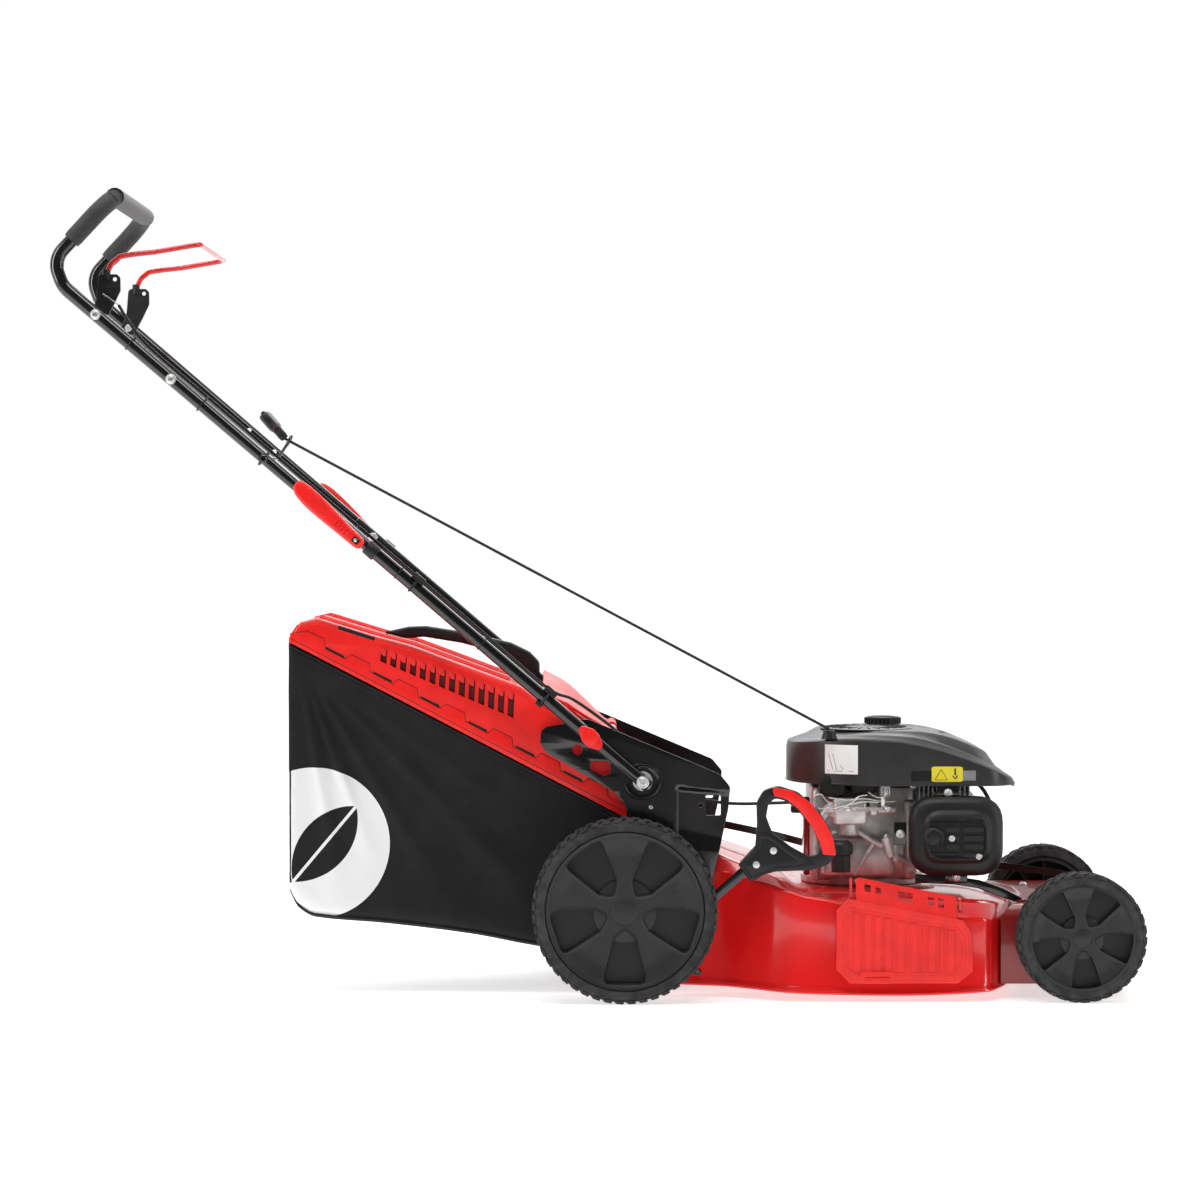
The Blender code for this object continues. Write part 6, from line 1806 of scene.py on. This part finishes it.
def make_engine():
    """Every part of the engine."""
    make_shroud()
    make_fuel_cap()
    make_crankcase()
    make_cylinder_head()
    make_muffler()
    make_carburettor()
    make_oil_filler()
    make_blade()


# --- Axles, height lever and link ---------------------------------------------------------------------

AXLE_RADIUS, CRANK_RISE, LINK_Y = 0.006, math.radians(20), 0.2078


def joint_place(name):
    """A joint's position in the frame."""
    return Vector(JOINTS[name]["pos_m"])


def make_axles():
    """The cranked axles' bars, arms and pins."""
    for end, pivot, stub, crank_y in (("rear", joint_place("height_adjust"), 0.2725, 0.2275),
            ("front", joint_place("front_axle_swing"), 0.25875, 0.2165)):
        wheel = joint_place(f"{end}_right_spin")
        near = [Vector((wheel.x, -stub, wheel.z)), Vector((wheel.x, -crank_y, wheel.z)),
            Vector((pivot.x, -crank_y, pivot.z))]
        route = rounded(near + [Vector((p.x, -p.y, p.z)) for p in reversed(near)], 0.01, 6)
        build(f"{end}_axle_rod", swept(route, AXLE_RADIUS, 20), BARE_STEEL, f"{end}_axle", f"{end}_axle")
        link = pivot + Vector((0.06 * math.sin(CRANK_RISE), 0, 0.06 * math.cos(CRANK_RISE)))
        lean = -math.degrees(CRANK_RISE)
        outline = arc((pivot.x, pivot.z), 0.0115, 180 + lean, 360 + lean, 12) + arc((link.x, link.z),
            0.0085, lean, 180 + lean, 12)
        plate(f"{end}_axle_arm", [Vector(p) for p in outline], LINK_Y + 0.0018, LINK_Y + 0.0058,
            BLACK_PAINT, f"{end}_axle", edge=0.0006)
        pin = round_head((link.x, LINK_Y + 0.0058, link.z), (0, 1, 0), 0.005, 0.0022)
        build(f"{end}_axle_pin", pin, ZINC, f"{end}_axle")


def make_height_link():
    """The bar that joins the axles, with its ends and its spring."""
    points = [(x, LINK_Y, z) for x, z in ((0.132, 0.1738), (0.152, 0.236), (0.215, 0.236), (0.3, 0.218),
            (0.42, 0.186), (0.64, 0.172), (0.77, 0.155), (0.838, 0.1307))]
    route = rounded([Vector(p) for p in points], 0.03, 8)
    rings = []
    for point, run in zip(route, directions(route)):
        up = Vector((-run.z, 0, run.x)) * 0.006
        across = Vector((0, 0.0015, 0))
        rings.append([point - up - across, point - up + across, point + up + across, point + up - across])
    build("height_link_detail", loft(rings), BLACK_PAINT, "height_link", "height_link", sharp=35,
        bevel=0.0005)
    axis_y = LINK_Y - 0.01
    spring = coil((0.47, axis_y, 0.182), (0.54, axis_y, 0.1775), (0, 1, 0), 0.0045, 240, 10)
    hook = [(0.44, LINK_Y - 0.003, 0.185), (0.455, LINK_Y - 0.008, 0.1845), spring[0]]
    build("height_spring", swept(hook + spring, 0.0008, 6), ZINC, "height_link")


def make_height_lever():
    """The flat black lever with its D grip: a raised rim, a red insert on the front and two rivets."""
    outer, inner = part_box("lever_grip")[0].y, -0.23
    bar = rounded_outline([(0.112, 0.1262), (0.1205, 0.116), (0.186, 0.153), (0.248, 0.206), (0.272, 0.233),
            (0.262, 0.242), (0.236, 0.217), (0.18, 0.168)], 0.008)
    plate("height_lever_bar", bar, -0.2165, -0.2115, BLACK_PAINT, "rear_axle", edge=0.001,
        replaces="height_lever")
    pivot = joint_place("height_adjust")
    sleeve = [(0.0068, -0.0032), (0.0115, -0.0032), (0.0118, -0.0026), (0.0118, 0.0026), (0.0115, 0.0032),
        (0.0068, 0.0032)]
    build("height_lever_boss", turned(sleeve, (pivot.x, -0.214, pivot.z), steps=40), BLACK_PAINT, "rear_axle")
    outline = rounded_outline([(0.217, 0.211, 0.003), (0.235, 0.185, 0.004), (0.244, 0.188, 0.003),
            (0.256, 0.196, 0.02), (0.275, 0.201, 0.03), (0.33, 0.203, 0.03), (0.356, 0.212, 0.014),
            (0.37, 0.229, 0.016), (0.364, 0.255, 0.03), (0.345, 0.29, 0.06), (0.31, 0.324, 0.03),
            (0.278, 0.334, 0.02), (0.256, 0.327, 0.016), (0.245, 0.308, 0.02), (0.246, 0.275, 0.06),
            (0.243, 0.238, 0.012)], 0.01, 7)
    hollow = rounded_outline([(0.26, 0.286), (0.263, 0.304), (0.273, 0.315), (0.288, 0.311), (0.306, 0.299),
            (0.331, 0.269), (0.344, 0.24), (0.34, 0.227), (0.326, 0.224), (0.299, 0.239), (0.27, 0.26)],
        0.012, 7)
    plate("lever_grip_body", outline, outer + 0.0012, inner, BLACK_PLASTIC, "rear_axle", holes=[hollow],
        edge=0.0024, replaces="lever_grip", sharp=40)
    root = rounded_outline([(0.218, 0.211), (0.2353, 0.186), (0.244, 0.1888), (0.2745, 0.2016),
            (0.275, 0.233), (0.26, 0.247), (0.244, 0.24)], 0.003)
    plate("lever_grip_root", root, -0.231, -0.2168, BLACK_PLASTIC, "rear_axle", edge=0.001)
    face = outer + 0.0012
    rim = rounded_outline([(0.2205, 0.2105), (0.2362, 0.188), (0.244, 0.1912), (0.275, 0.204),
            (0.33, 0.2062), (0.34, 0.211), (0.327, 0.218), (0.296, 0.235), (0.266, 0.259), (0.249, 0.264),
            (0.247, 0.238), (0.239, 0.233)], 0.006)
    sunk = rounded_outline([(0.2255, 0.2105), (0.2375, 0.1925), (0.244, 0.1955), (0.274, 0.208),
            (0.318, 0.2105), (0.294, 0.228), (0.264, 0.2515), (0.253, 0.253), (0.25, 0.237),
            (0.242, 0.229)], 0.005)
    plate("lever_grip_rim", rim, face, face - 0.0011, BLACK_PLASTIC, "rear_axle", holes=[sunk], edge=0.0005)
    insert = rounded_outline([(0.269, 0.3325, 0.002), (0.3, 0.3265, 0.03), (0.327, 0.309, 0.04),
            (0.349, 0.281, 0.06), (0.363, 0.254, 0.03), (0.368, 0.226, 0.002), (0.348, 0.2275, 0.002),
            (0.342, 0.248, 0.03), (0.329, 0.273, 0.06), (0.309, 0.299, 0.04), (0.29, 0.314, 0.03),
            (0.272, 0.3185, 0.002)], 0.01, 7)
    plate("lever_grip_insert_detail", insert, outer - 0.0021, face + 0.0002, RED_PLASTIC, "rear_axle",
        edge=0.0014, replaces="lever_grip_insert", sharp=40)
    rivets = [round_head((x, face, z), (0, -1, 0), 0.0055, 0.0016, False)
        for x, z in ((0.271, 0.2334), (0.2446, 0.2117))]
    build("lever_grip_rivets", joined(rivets), ZINC, "rear_axle")


# --- Cords: starter rope and grip, brake cable ---------------------------------------------------------

PULL_TRAVEL = JOINTS["starter_pull"]["range_m"][1]


def make_starter():
    """The pull rope, taut from the cowl to the guide's eye, and its T grip."""
    pull = (ROPE_EYE - ROPE_EXIT).normalized()
    path = [ROPE_EXIT.lerp(ROPE_EYE, i / 60) for i in range(61)]
    rope = build("starter_rope_detail", swept(path, ROPE_RADIUS, 12), ROPE, "starter_rope", "starter_rope")
    base = ROPE_EYE + pull * 0.0003
    run = Vector((math.cos(GRIP_TILT), 0, math.sin(GRIP_TILT)))
    across, thick = Vector((0, 1, 0)), Vector((-run.z, 0, run.x))
    stations = ((0.0, 0.0068, 0.0052), (0.0012, 0.008, 0.0064), (0.006, 0.0092, 0.0072),
        (0.015, 0.01, 0.007), (0.019, 0.015, 0.0074), (0.0225, 0.037, 0.0088), (0.025, 0.0405, 0.0091),
        (0.036, 0.0424, 0.0092), (0.045, 0.0418, 0.0092), (0.0485, 0.0405, 0.0088), (0.05, 0.038, 0.007))
    sections = []
    for distance, half, depth in stations:
        middle = base + run * distance + pull * 0.003
        ring = []
        for i in range(28):
            angle = 2 * math.pi * i / 28
            a, b = math.cos(angle), math.sin(angle)
            u = math.copysign(abs(a) ** 0.5, a)
            v = math.copysign(abs(b) ** 0.6, b)
            notch = 1.0 - 0.1 * max(0.0, math.cos(6 * math.pi * (u + 1) / 2 - math.pi)) * (1
                if distance > 0.028 else 0)
            ring.append(middle + across * (half * u) + thick * (depth * v * notch))
        sections.append(ring)
    grip = build("starter_grip_detail", loft(sections), BLACK_PLASTIC, "starter_grip", "starter_grip",
        sharp=50)
    knot = solid_turned([(0.0001, 0.0), (0.0036, 0.001), (0.004, 0.004), (0.0026, 0.006), (0.0001, 0.0065)],
        base + run * 0.0495 + pull * 0.003, tuple(run), 20)
    knot_piece = build("starter_grip_knot", knot, ROPE, "starter_grip")
    run_in = base - pull * PULL_TRAVEL
    tail_path = [run_in.lerp(base + pull * 0.004, i / 40) for i in range(41)]
    tail = build("starter_rope_tail", swept(tail_path, ROPE_RADIUS * 0.9, 12), ROPE, "starter_grip")
    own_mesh(tail)
    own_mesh(rope)
    make_rope_guide(pull)


def make_rope_guide(pull):
    """The bent wire with its eye, from the right tube to the rope."""
    foot = along(0.773, -UPPER_Y + UPPER_RADIUS + 0.0003)
    centre = ROPE_EYE - pull * 0.004
    up, side = Vector((pull.z, 0, -pull.x)), Vector((0, -1, 0))
    eye = [centre + (side * math.cos(math.radians(a)) + up * math.sin(math.radians(a))) * 0.0085
        for a in range(-60, 241, 12)]
    bend = Vector((ROPE_EYE.x - 0.012, ROPE_Y - 0.03, ROPE_EYE.z - 0.03))
    route = [foot, foot + Vector((0, 0.014, 0)), bend] + eye
    fine = rounded(route[:4], 0.01, 6)[:-1] + eye
    build("rope_guide_wire", swept(fine, 0.0024, 14), BLACK_PAINT, "upper_handle", "rope_guide")


def make_brake_cable():
    """The engine brake's cable in three runs, so that it follows both folds of the handle."""
    rise, y = 0.015, -0.2115
    top = [Vector((-0.744, -0.2, 1.078)), Vector((-0.73, -0.206, 1.056)), along(1.02, y, rise),
        along(0.88, y, rise), along(0.74, y, rise), along(0.596, y, rise)]
    build("brake_cable_upper_detail", swept(smooth_route(top, 60), 0.0025, 12), BLACK_PLASTIC,
        "upper_handle", "brake_cable_upper")
    bottom = [along(0.594, y, rise), along(0.48, y, rise), along(0.34, y, rise), along(0.21, y, rise),
        Vector((-0.04, -0.2, 0.466)), Vector((0.003, -0.188, 0.436)), Vector((0.03, -0.176, 0.413)),
        Vector((0.056, -0.1756, 0.379)), Vector((0.115, -0.175, 0.322)), Vector((0.195, -0.168, 0.302)),
        Vector((0.28, -0.135, 0.299)), Vector((0.331, -0.095, 0.299))]
    route = smooth_route(bottom, 150)
    split = min(range(len(route)), key=lambda i: (route[i] - along(0.21, y, rise)).length)
    build("brake_cable_middle", swept(route[:split + 1], 0.0025, 12), BLACK_PLASTIC, "lower_handle",
        "brake_cable_lower")
    loop = build("brake_cable_lower_detail", swept(route[split:], 0.0025, 12), BLACK_PLASTIC, None,
        slot="black_plastic")
    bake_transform(loop)
    wire = [Vector((-0.769, -0.199, 1.096)), Vector((-0.76, -0.1995, 1.09)), Vector((-0.744, -0.2, 1.078))]
    build("brake_inner_wire", swept(wire, 0.001, 8), BARE_STEEL, "upper_handle")


# --- Catcher -------------------------------------------------------------------------------------------

FRONT, REAR = 0.045, -0.4855
BAG_HALF, LID_HALF = 0.164, 0.168
RIDGE_STOPS = ((-0.484, 0.561), (-0.4664, 0.585), (-0.4393, 0.5915), (-0.35, 0.564), (-0.292, 0.5486),
    (-0.119, 0.4842), (-0.083, 0.4544), (0.045, 0.385))
FLOOR_STOPS = ((-0.4855, 0.158), (-0.472, 0.134), (-0.445, 0.119), (-0.338, 0.1094), (-0.199, 0.0922),
    (-0.108, 0.075), (-0.05, 0.066), (0.045, 0.06))


def seam(x):
    """The height of the seam between lid and bag at x."""
    return 0.2775 + (0.5535 - 0.2775) * (x - FRONT) / (REAR - FRONT)


def straight(x, stops):
    """The value at x on straight runs between (x, value) stops."""
    for (x0, v0), (x1, v1) in zip(stops, stops[1:]):
        if x <= x1:
            return v0 + (v1 - v0) * (x - x0) / (x1 - x0)
    return stops[-1][1]


def make_lid():
    """The red top: side walls with vents, a stepped border, a rim along the ridge, and a crowned roof."""
    rear, front = -0.484, FRONT
    top = [(x, z - 0.005) for x, z in RIDGE_STOPS[1:]]
    outline = [(front, seam(front)), (front, top[-1][1])] + top[-2::-1] + [(rear + 0.001, 0.556),
        (rear, seam(rear) + 0.0015)]
    outline = rounded_outline([Vector(p) for p in outline], 0.004)
    vents = []
    for index in range(14):
        share = index / 13
        x = -0.336 + share * 0.199
        upper, lower = 0.544 - share * 0.068, 0.523 - share * 0.085
        vents.append(([Vector((x - 0.0048, lower + 0.0012)), Vector((x + 0.0046, lower - 0.0036)),
                    Vector((x + 0.0062, upper - 0.0042)), Vector((x - 0.003, upper))], x, upper, lower))
    for word, side in SIDES:
        plate(f"lid_wall_{word}", outline, side * (LID_HALF - 0.0035), side * (LID_HALF - 0.0012),
            RED_PLASTIC, "catcher", holes=[vent for vent, *_ in vents], edge=0.0005, replaces="catcher_lid"
            if side < 0 else (), sharp=30)
        # A dark red sheet behind the vents: painted shade of the lid's dark inside seen through them.
        backing = [Vector((-0.35, 0.508)), Vector((-0.12, 0.415)), Vector((-0.118, 0.47)),
            Vector((-0.35, 0.548))]
        plate(f"lid_vent_back_{word}", backing, side * (LID_HALF - 0.0085), side * (LID_HALF - 0.007),
            SHADE_RED, "catcher", edge=0.0003)
        hooks = []
        for _, x, upper, lower in vents:
            hook = rounded_outline([(x - 0.0052, upper + 0.002), (x - 0.0052, upper - 0.0052),
                    (x - 0.001, upper - 0.011), (x + 0.0038, upper - 0.0128), (x + 0.0048, upper - 0.005),
                    (x + 0.002, upper + 0.001)], 0.0012)
            hooks.append(plate_shape(hook, 0.0022, 0.0005, side * (LID_HALF - 0.0014)))
        build(f"lid_vent_hooks_{word}", joined(hooks), FLAP_PLASTIC, "catcher", sharp=30)
        make_lid_border(word, side)
    make_lid_roof()


def make_lid_border(word, side):
    """The raised strip along the seam, which steps up in tabs, and the dark slots between the tabs."""
    def above(x, rise):
        return Vector((x, seam(x) + rise))

    slots = []
    top = []
    for number in range(7):
        start = -0.427 + 0.0744 * number
        slot_end, flat_start, flat_end = start + 0.031, start + 0.0405, start + 0.069
        if start > FRONT - 0.01:
            break
        top += [above(start, 0.02)]
        if slot_end < FRONT:
            top += [above(slot_end, 0.02)]
            slots.append([above(start + 0.001, 0.0196), above(slot_end - 0.0006, 0.0196),
                    above(slot_end - 0.0016, 0.0244), above(start + 0.001, 0.0238)])
        if flat_end < FRONT:
            top += [above(flat_start, 0.0318), above(flat_end, 0.0325), above(flat_end + 0.0012, 0.02)]
    outline = [above(-0.482, 0.0012), above(FRONT, 0.001),
        above(FRONT, 0.0195)] + top[::-1] + [above(-0.429, 0.0345), above(-0.455, 0.033),
        above(-0.482, 0.015)]
    outline = [p for i, p in enumerate(outline) if i == 0 or (p - outline[i - 1]).length > 1e-5]
    plate(f"lid_border_{word}", rounded_outline(outline, 0.0008, 2), side * (LID_HALF - 0.003),
        side * LID_HALF, RED_PLASTIC, "catcher", edge=0.0007, sharp=30)
    # The slots between the tabs are thin dark sheets: painted shade.
    slots = [plate_shape(slot, 0.0012, 0.0002, side * (LID_HALF - 0.0008)) for slot in slots]
    build(f"lid_border_slots_{word}", joined(slots), DEEP_BLACK, "catcher", sharp=30)
    edge = [Vector((p.x, side * (LID_HALF - 0.001), p.y + 0.0004))
        for p in [above(-0.482, 0.015), above(-0.455, 0.033), above(-0.429, 0.0345)] + top]
    build(f"lid_border_shadow_{word}", swept(edge, 0.00065, 6), SHADE_RED, "catcher")
    # The groove is a thin dark red line on the surface: painted shade.
    groove = [Vector((x0, side * (LID_HALF + 0.0001), seam(x0) + 0.008)) for x0 in (-0.48, -0.3, -0.1, 0.04)]
    build(f"lid_groove_{word}", swept(groove, 0.0005, 6), SHADE_RED, "catcher")


def make_lid_roof():
    """The crowned roof, its ribs and the rear wall."""
    stations = [REAR + 0.0015 + (FRONT - REAR - 0.0015) * i / 60 for i in range(61)]
    sections = []
    for x in stations:
        z = straight(x, RIDGE_STOPS)
        shrink = 0.01 * max(0.0, 1 - (x - REAR) / 0.018) ** 2
        half = LID_HALF - shrink
        profile = [(half - 0.0022, z - 0.011), (half - 0.0008, z - 0.0086), (half - 0.0008, z - 0.0058),
            (half - 0.003, z - 0.003), (half - 0.0075, z - 0.0012), (half - 0.012, z - 0.0012),
            (half - 0.015, z), (half - 0.019, z + 0.0002), (half - 0.0225, z - 0.0022),
            (half - 0.06, z - 0.0016), (half - 0.12, z - 0.001)]
        sections.append([(x, -y, h) for y, h in profile] + [(x, y, h) for y, h in reversed(profile)])
    piece = build("lid_roof", loft(sections, closed=False, start_cap=False, end_cap=False), RED_PLASTIC,
        "catcher", sharp=30)
    thicken(piece, 0.0022)
    rear = []
    for z, y_half, x in ((seam(REAR) + 0.0015, 0.156, REAR + 0.002), (0.559, 0.156, REAR + 0.0016),
            (0.57, 0.1555, -0.4778), (0.58, 0.1575, -0.4706)):
        rear.append([(x, y_half * j / 8, z) for j in range(-8, 9)])
    back = build("lid_rear_wall", loft(rear, closed=False, start_cap=False, end_cap=False), RED_PLASTIC,
        "catcher", sharp=30)
    thicken(back, 0.0022, 0.0)
    for word, side in SIDES:
        window = rounded_outline([(-0.407, 0.5735), (-0.35, 0.5555), (-0.349, 0.561), (-0.406, 0.5795)],
            0.001)
        plate(f"lid_window_{word}", window, side * (LID_HALF - 0.005), side * (LID_HALF - 0.0004),
            DEEP_BLACK, "catcher", edge=0.0004)
        clip = rounded_outline([(-0.4735, 0.5635), (-0.4665, 0.564), (-0.464, 0.574), (-0.469, 0.5755)],
            0.001)
        plate(f"lid_clip_{word}", clip, side * (LID_HALF - 0.011), side * (LID_HALF - 0.0018), DEEP_BLACK,
            "catcher", edge=0.0004)
    ribs = []
    for y in (-0.11, -0.08, -0.05, 0.05, 0.08, 0.11):
        ribs.append(swept([(x, y, straight(x, RIDGE_STOPS) - 0.0006)
                    for x in (-0.44, -0.4, -0.35, -0.32, -0.292, -0.2, -0.14)], 0.0018, 8))
    build("lid_roof_ribs", joined(ribs), RED_PLASTIC, "catcher")


def make_carry_handle():
    """The arched black handle on the roof."""
    top = [(-0.345, 0.564), (-0.331, 0.567), (-0.305, 0.573), (-0.2765, 0.574), (-0.2186, 0.565),
        (-0.14, 0.5475), (-0.11, 0.533), (-0.0935, 0.516), (-0.0935, 0.464)]
    bottom = [(-0.112, 0.481), (-0.12, 0.505), (-0.145, 0.527), (-0.2186, 0.547), (-0.28, 0.557),
        (-0.298, 0.555), (-0.312, 0.555)]
    outline = rounded_outline([(x, z, 0.014) for x, z in top[::-1]][::-1] + [(x, z, 0.012)
            for x, z in bottom], 0.012, 6)
    plate("catcher_handle_detail", outline, -0.016, 0.016, BLACK_PLASTIC, "catcher", edge=0.004,
        replaces="catcher_handle", sharp=40)


def bag_wall(x, level, side):
    """The bag's side at x and at a share of its height from floor to seam, with sag and soft folds."""
    floor, top = on_curve(x, FLOOR_STOPS), seam(x) - 0.0006
    z = floor + (top - floor) * level
    corner = Vector((-0.47, 0.53))
    offset = Vector((x, z)) - corner
    angle, reach = math.atan2(-offset.y, offset.x), offset.length
    fold = 0.0
    for direction, width, depth, start, end in ((1.4, 0.05, 0.007, 0.01, 0.42),
            (1.22, 0.042, 0.0085, 0.03, 0.36), (1.02, 0.05, 0.009, 0.05, 0.5),
            (0.8, 0.05, 0.008, 0.07, 0.58), (0.62, 0.045, 0.005, 0.1, 0.46)):
        fade = min(1.0, max(0.0, (reach - start) / 0.05)) * min(1.0, max(0.0, (end - reach) / 0.16))
        spread = width * (0.6 + 0.9 * reach)
        fold += depth * fade * math.exp(-((angle - direction) / spread) ** 2)
    belly = math.sin(math.pi * min(1.0, max(0.0, level))) ** 0.8
    ends = min(1.0, (x - REAR) / 0.05) * min(1.0, (FRONT - x) / 0.05 + 0.25)
    billow = -0.0085 * belly * max(0.0, ends)
    ripple = 0.0012 * noise.noise(Vector((x * 14, z * 9,
                side * 3.1))) + 0.0005 * noise.noise(Vector((x * 42, z * 30, side * 7.3)))
    return z, BAG_HALF - 0.003 + billow + fold * belly ** 0.5 + ripple * belly


def make_bag():
    """The bag: its sides hang from the seam, with folds from the upper rear corner, over a soft floor."""
    material = bag_cloth()
    columns, rows = 96, 40
    sections = []
    for i in range(columns + 1):
        x = REAR + 0.001 + (FRONT - REAR - 0.002) * i / columns
        tuck = 0.004 * max(0.0, 1 - (x - REAR) / 0.012) ** 2
        right = [bag_wall(x, (j / rows) ** 0.9, -1) for j in range(rows, -1, -1)]
        left = [bag_wall(x, (j / rows) ** 0.9, 1) for j in range(rows, -1, -1)]
        floor = on_curve(x, FLOOR_STOPS)

        def hem(points):
            result = []
            for z, half in points:
                share = min(1.0, max(0.0, (z - floor) / 0.04))
                result.append((z, half - tuck - 0.03 * (1 - math.sqrt(max(0.0, 1 - (1 - share) ** 2)))))
            return result

        right, left = hem(right), hem(left)
        under = []
        for k in range(1, 14):
            t = k / 14
            y = -right[-1][1] * (1 - t) + left[-1][1] * t
            under.append((x, y, floor + 0.001 * noise.noise(Vector((x * 11, y * 13, 1.0)))))
        sections.append([(x, -half, z) for z, half in right] + under + [(x, half, z)
                for z, half in reversed(left)])
    vertices, faces = loft(sections, closed=False, start_cap=False, end_cap=False)
    piece = build("catcher_bag_cloth", (vertices, faces), material, "catcher", "catcher_bag", sharp=180)
    thicken(piece, 0.0014)
    make_bag_back(material)
    make_piping()


def make_bag_back(material):
    """The rear panel, gently bowed, with a fold across each upper corner."""
    rows, columns = 30, 36
    grid = []
    top = seam(REAR) - 0.001
    for j in range(rows + 1):
        z = 0.1585 + (top - 0.1585) * j / rows
        half = BAG_HALF - 0.0068 - 0.022 * max(0.0, 1 - (z - 0.1585) / 0.03) ** 2
        row = []
        for i in range(columns + 1):
            t = 2 * i / columns - 1
            bow = 0.003 * (1 - t * t) * math.sin(math.pi * j / rows)
            crease = 0.0016 * math.exp(-((abs(t) - 0.72 - 0.2 * (j / rows)) / 0.06) ** 2) * math.sin(
                math.pi * j / rows)
            row.append((REAR + 0.0012 + bow + crease + 0.0008 * noise.noise(Vector((t * 5, z * 16, 9.0))),
                    half * t, z))
        grid.append(row)
    piece = build("catcher_bag_back", loft(grid, closed=False, start_cap=False, end_cap=False), material,
        "catcher", sharp=180)
    thicken(piece, 0.0014, 0.0)


STITCH_DROP = 0.0125


def make_piping():
    """Sewn piping along the seam, the bottom and the rear edges, and a row of stitches under the seam."""
    pipe = woven("piping_cloth", (0.012, 0.012, 0.013), "fabric", 0.0009, 0.3).material
    shapes, stitches = [], []
    for _, side in SIDES:
        stations = (REAR + 0.004, -0.4, -0.3, -0.2, -0.1, 0.0, FRONT - 0.002)
        seam_line = [Vector((x, side * (BAG_HALF - 0.0016), seam(x) - 0.004)) for x in stations]
        shapes.append(swept(smooth_route(seam_line, 60), 0.002, 10))
        lower = []
        for i in range(61):
            x = REAR + 0.004 + (FRONT - REAR - 0.008) * i / 60
            inward = 0.0185 + 0.01 * max(0.0, 1 - (x - REAR) / 0.02) ** 2
            lower.append(Vector((x, side * (BAG_HALF - inward), on_curve(x, FLOOR_STOPS) + 0.006)))
        shapes.append(swept(lower, 0.0017, 8))
        levels = (0.176, 0.25, 0.35, 0.45, seam(REAR) - 0.003)
        upright = [Vector((REAR + 0.003, side * (BAG_HALF - 0.007), z)) for z in levels]
        shapes.append(swept(smooth_route(upright, 40), 0.0018, 8))
        for i in range(150):
            x = REAR + 0.01 + (FRONT - REAR - 0.018) * i / 150
            a, b = [Vector((u, 0, seam(u) - STITCH_DROP)) for u in (x, x + 0.0022)]
            for p in (a, b):
                floor = on_curve(p.x, FLOOR_STOPS)
                _, half = bag_wall(p.x, (p.z - floor) / (seam(p.x) - floor), side)
                p.y = side * (half + 0.0002)
            stitches.append(swept([a, b], 0.00035, 5))
    build("catcher_piping", joined(shapes), pipe, "catcher", sharp=60)
    build("catcher_stitches", joined(stitches), ROPE, "catcher", sharp=60)


PRINT_FROM_Y = 0.142  # nearer the middle than this, the cloth stays plain


def bag_cloth():
    """The bag's black cloth, with a plain two-arc leaf printed in white low on each side."""
    paint = woven("bag_cloth", (0.0085, 0.0083, 0.0088), "fabric", 0.0007, 0.55)
    base = paint.shader.inputs["Base Color"].links[0].from_socket
    split = paint.node("ShaderNodeSeparateXYZ")
    paint.link(paint.place, split.inputs[0])
    x, y, z = split.outputs

    def inside(cx, cz, radius):
        dx = paint.math("SUBTRACT", x, cx)
        dz = paint.math("SUBTRACT", z, cz)
        distance = paint.math("SQRT", paint.math("ADD", paint.math("MULTIPLY", dx, dx),
                paint.math("MULTIPLY", dz, dz)), 0)
        return paint.math("LESS_THAN", distance, radius)

    disc = inside(-0.4465, 0.237, 0.1195)
    leaf = paint.math("MULTIPLY", inside(-0.475, 0.275, 0.098), inside(-0.383, 0.198, 0.098))
    across = paint.math("ADD", paint.math("MULTIPLY", x, -0.766), paint.math("MULTIPLY", z, 0.643))
    off_vein = paint.math("GREATER_THAN", paint.math("ABSOLUTE", paint.math("SUBTRACT", across, 0.4807), 0),
        0.0024)
    side = paint.math("GREATER_THAN", paint.math("ABSOLUTE", y, 0), PRINT_FROM_Y)
    mask = paint.math("MULTIPLY", paint.math("MULTIPLY", disc, side),
        paint.math("SUBTRACT", 1.0, paint.math("MULTIPLY", leaf, off_vein)))
    paint.vary_colour(mask, base, (0.86, 0.86, 0.86))
    return paint.material


def make_catcher():
    """The grass catcher: lid, handle and bag."""
    make_lid()
    make_carry_handle()
    make_bag()


make_stage()
make_starter()
make_brake_cable()
for end in ("rear", "front"):
    for word, side in SIDES:
        make_wheel(end, word, side)
make_handle()
make_deck()
make_side_plates()
make_rear_flap()
make_chute_flap()
make_apron()
make_engine()
make_axles()
make_height_link()
make_height_lever()
make_catcher()
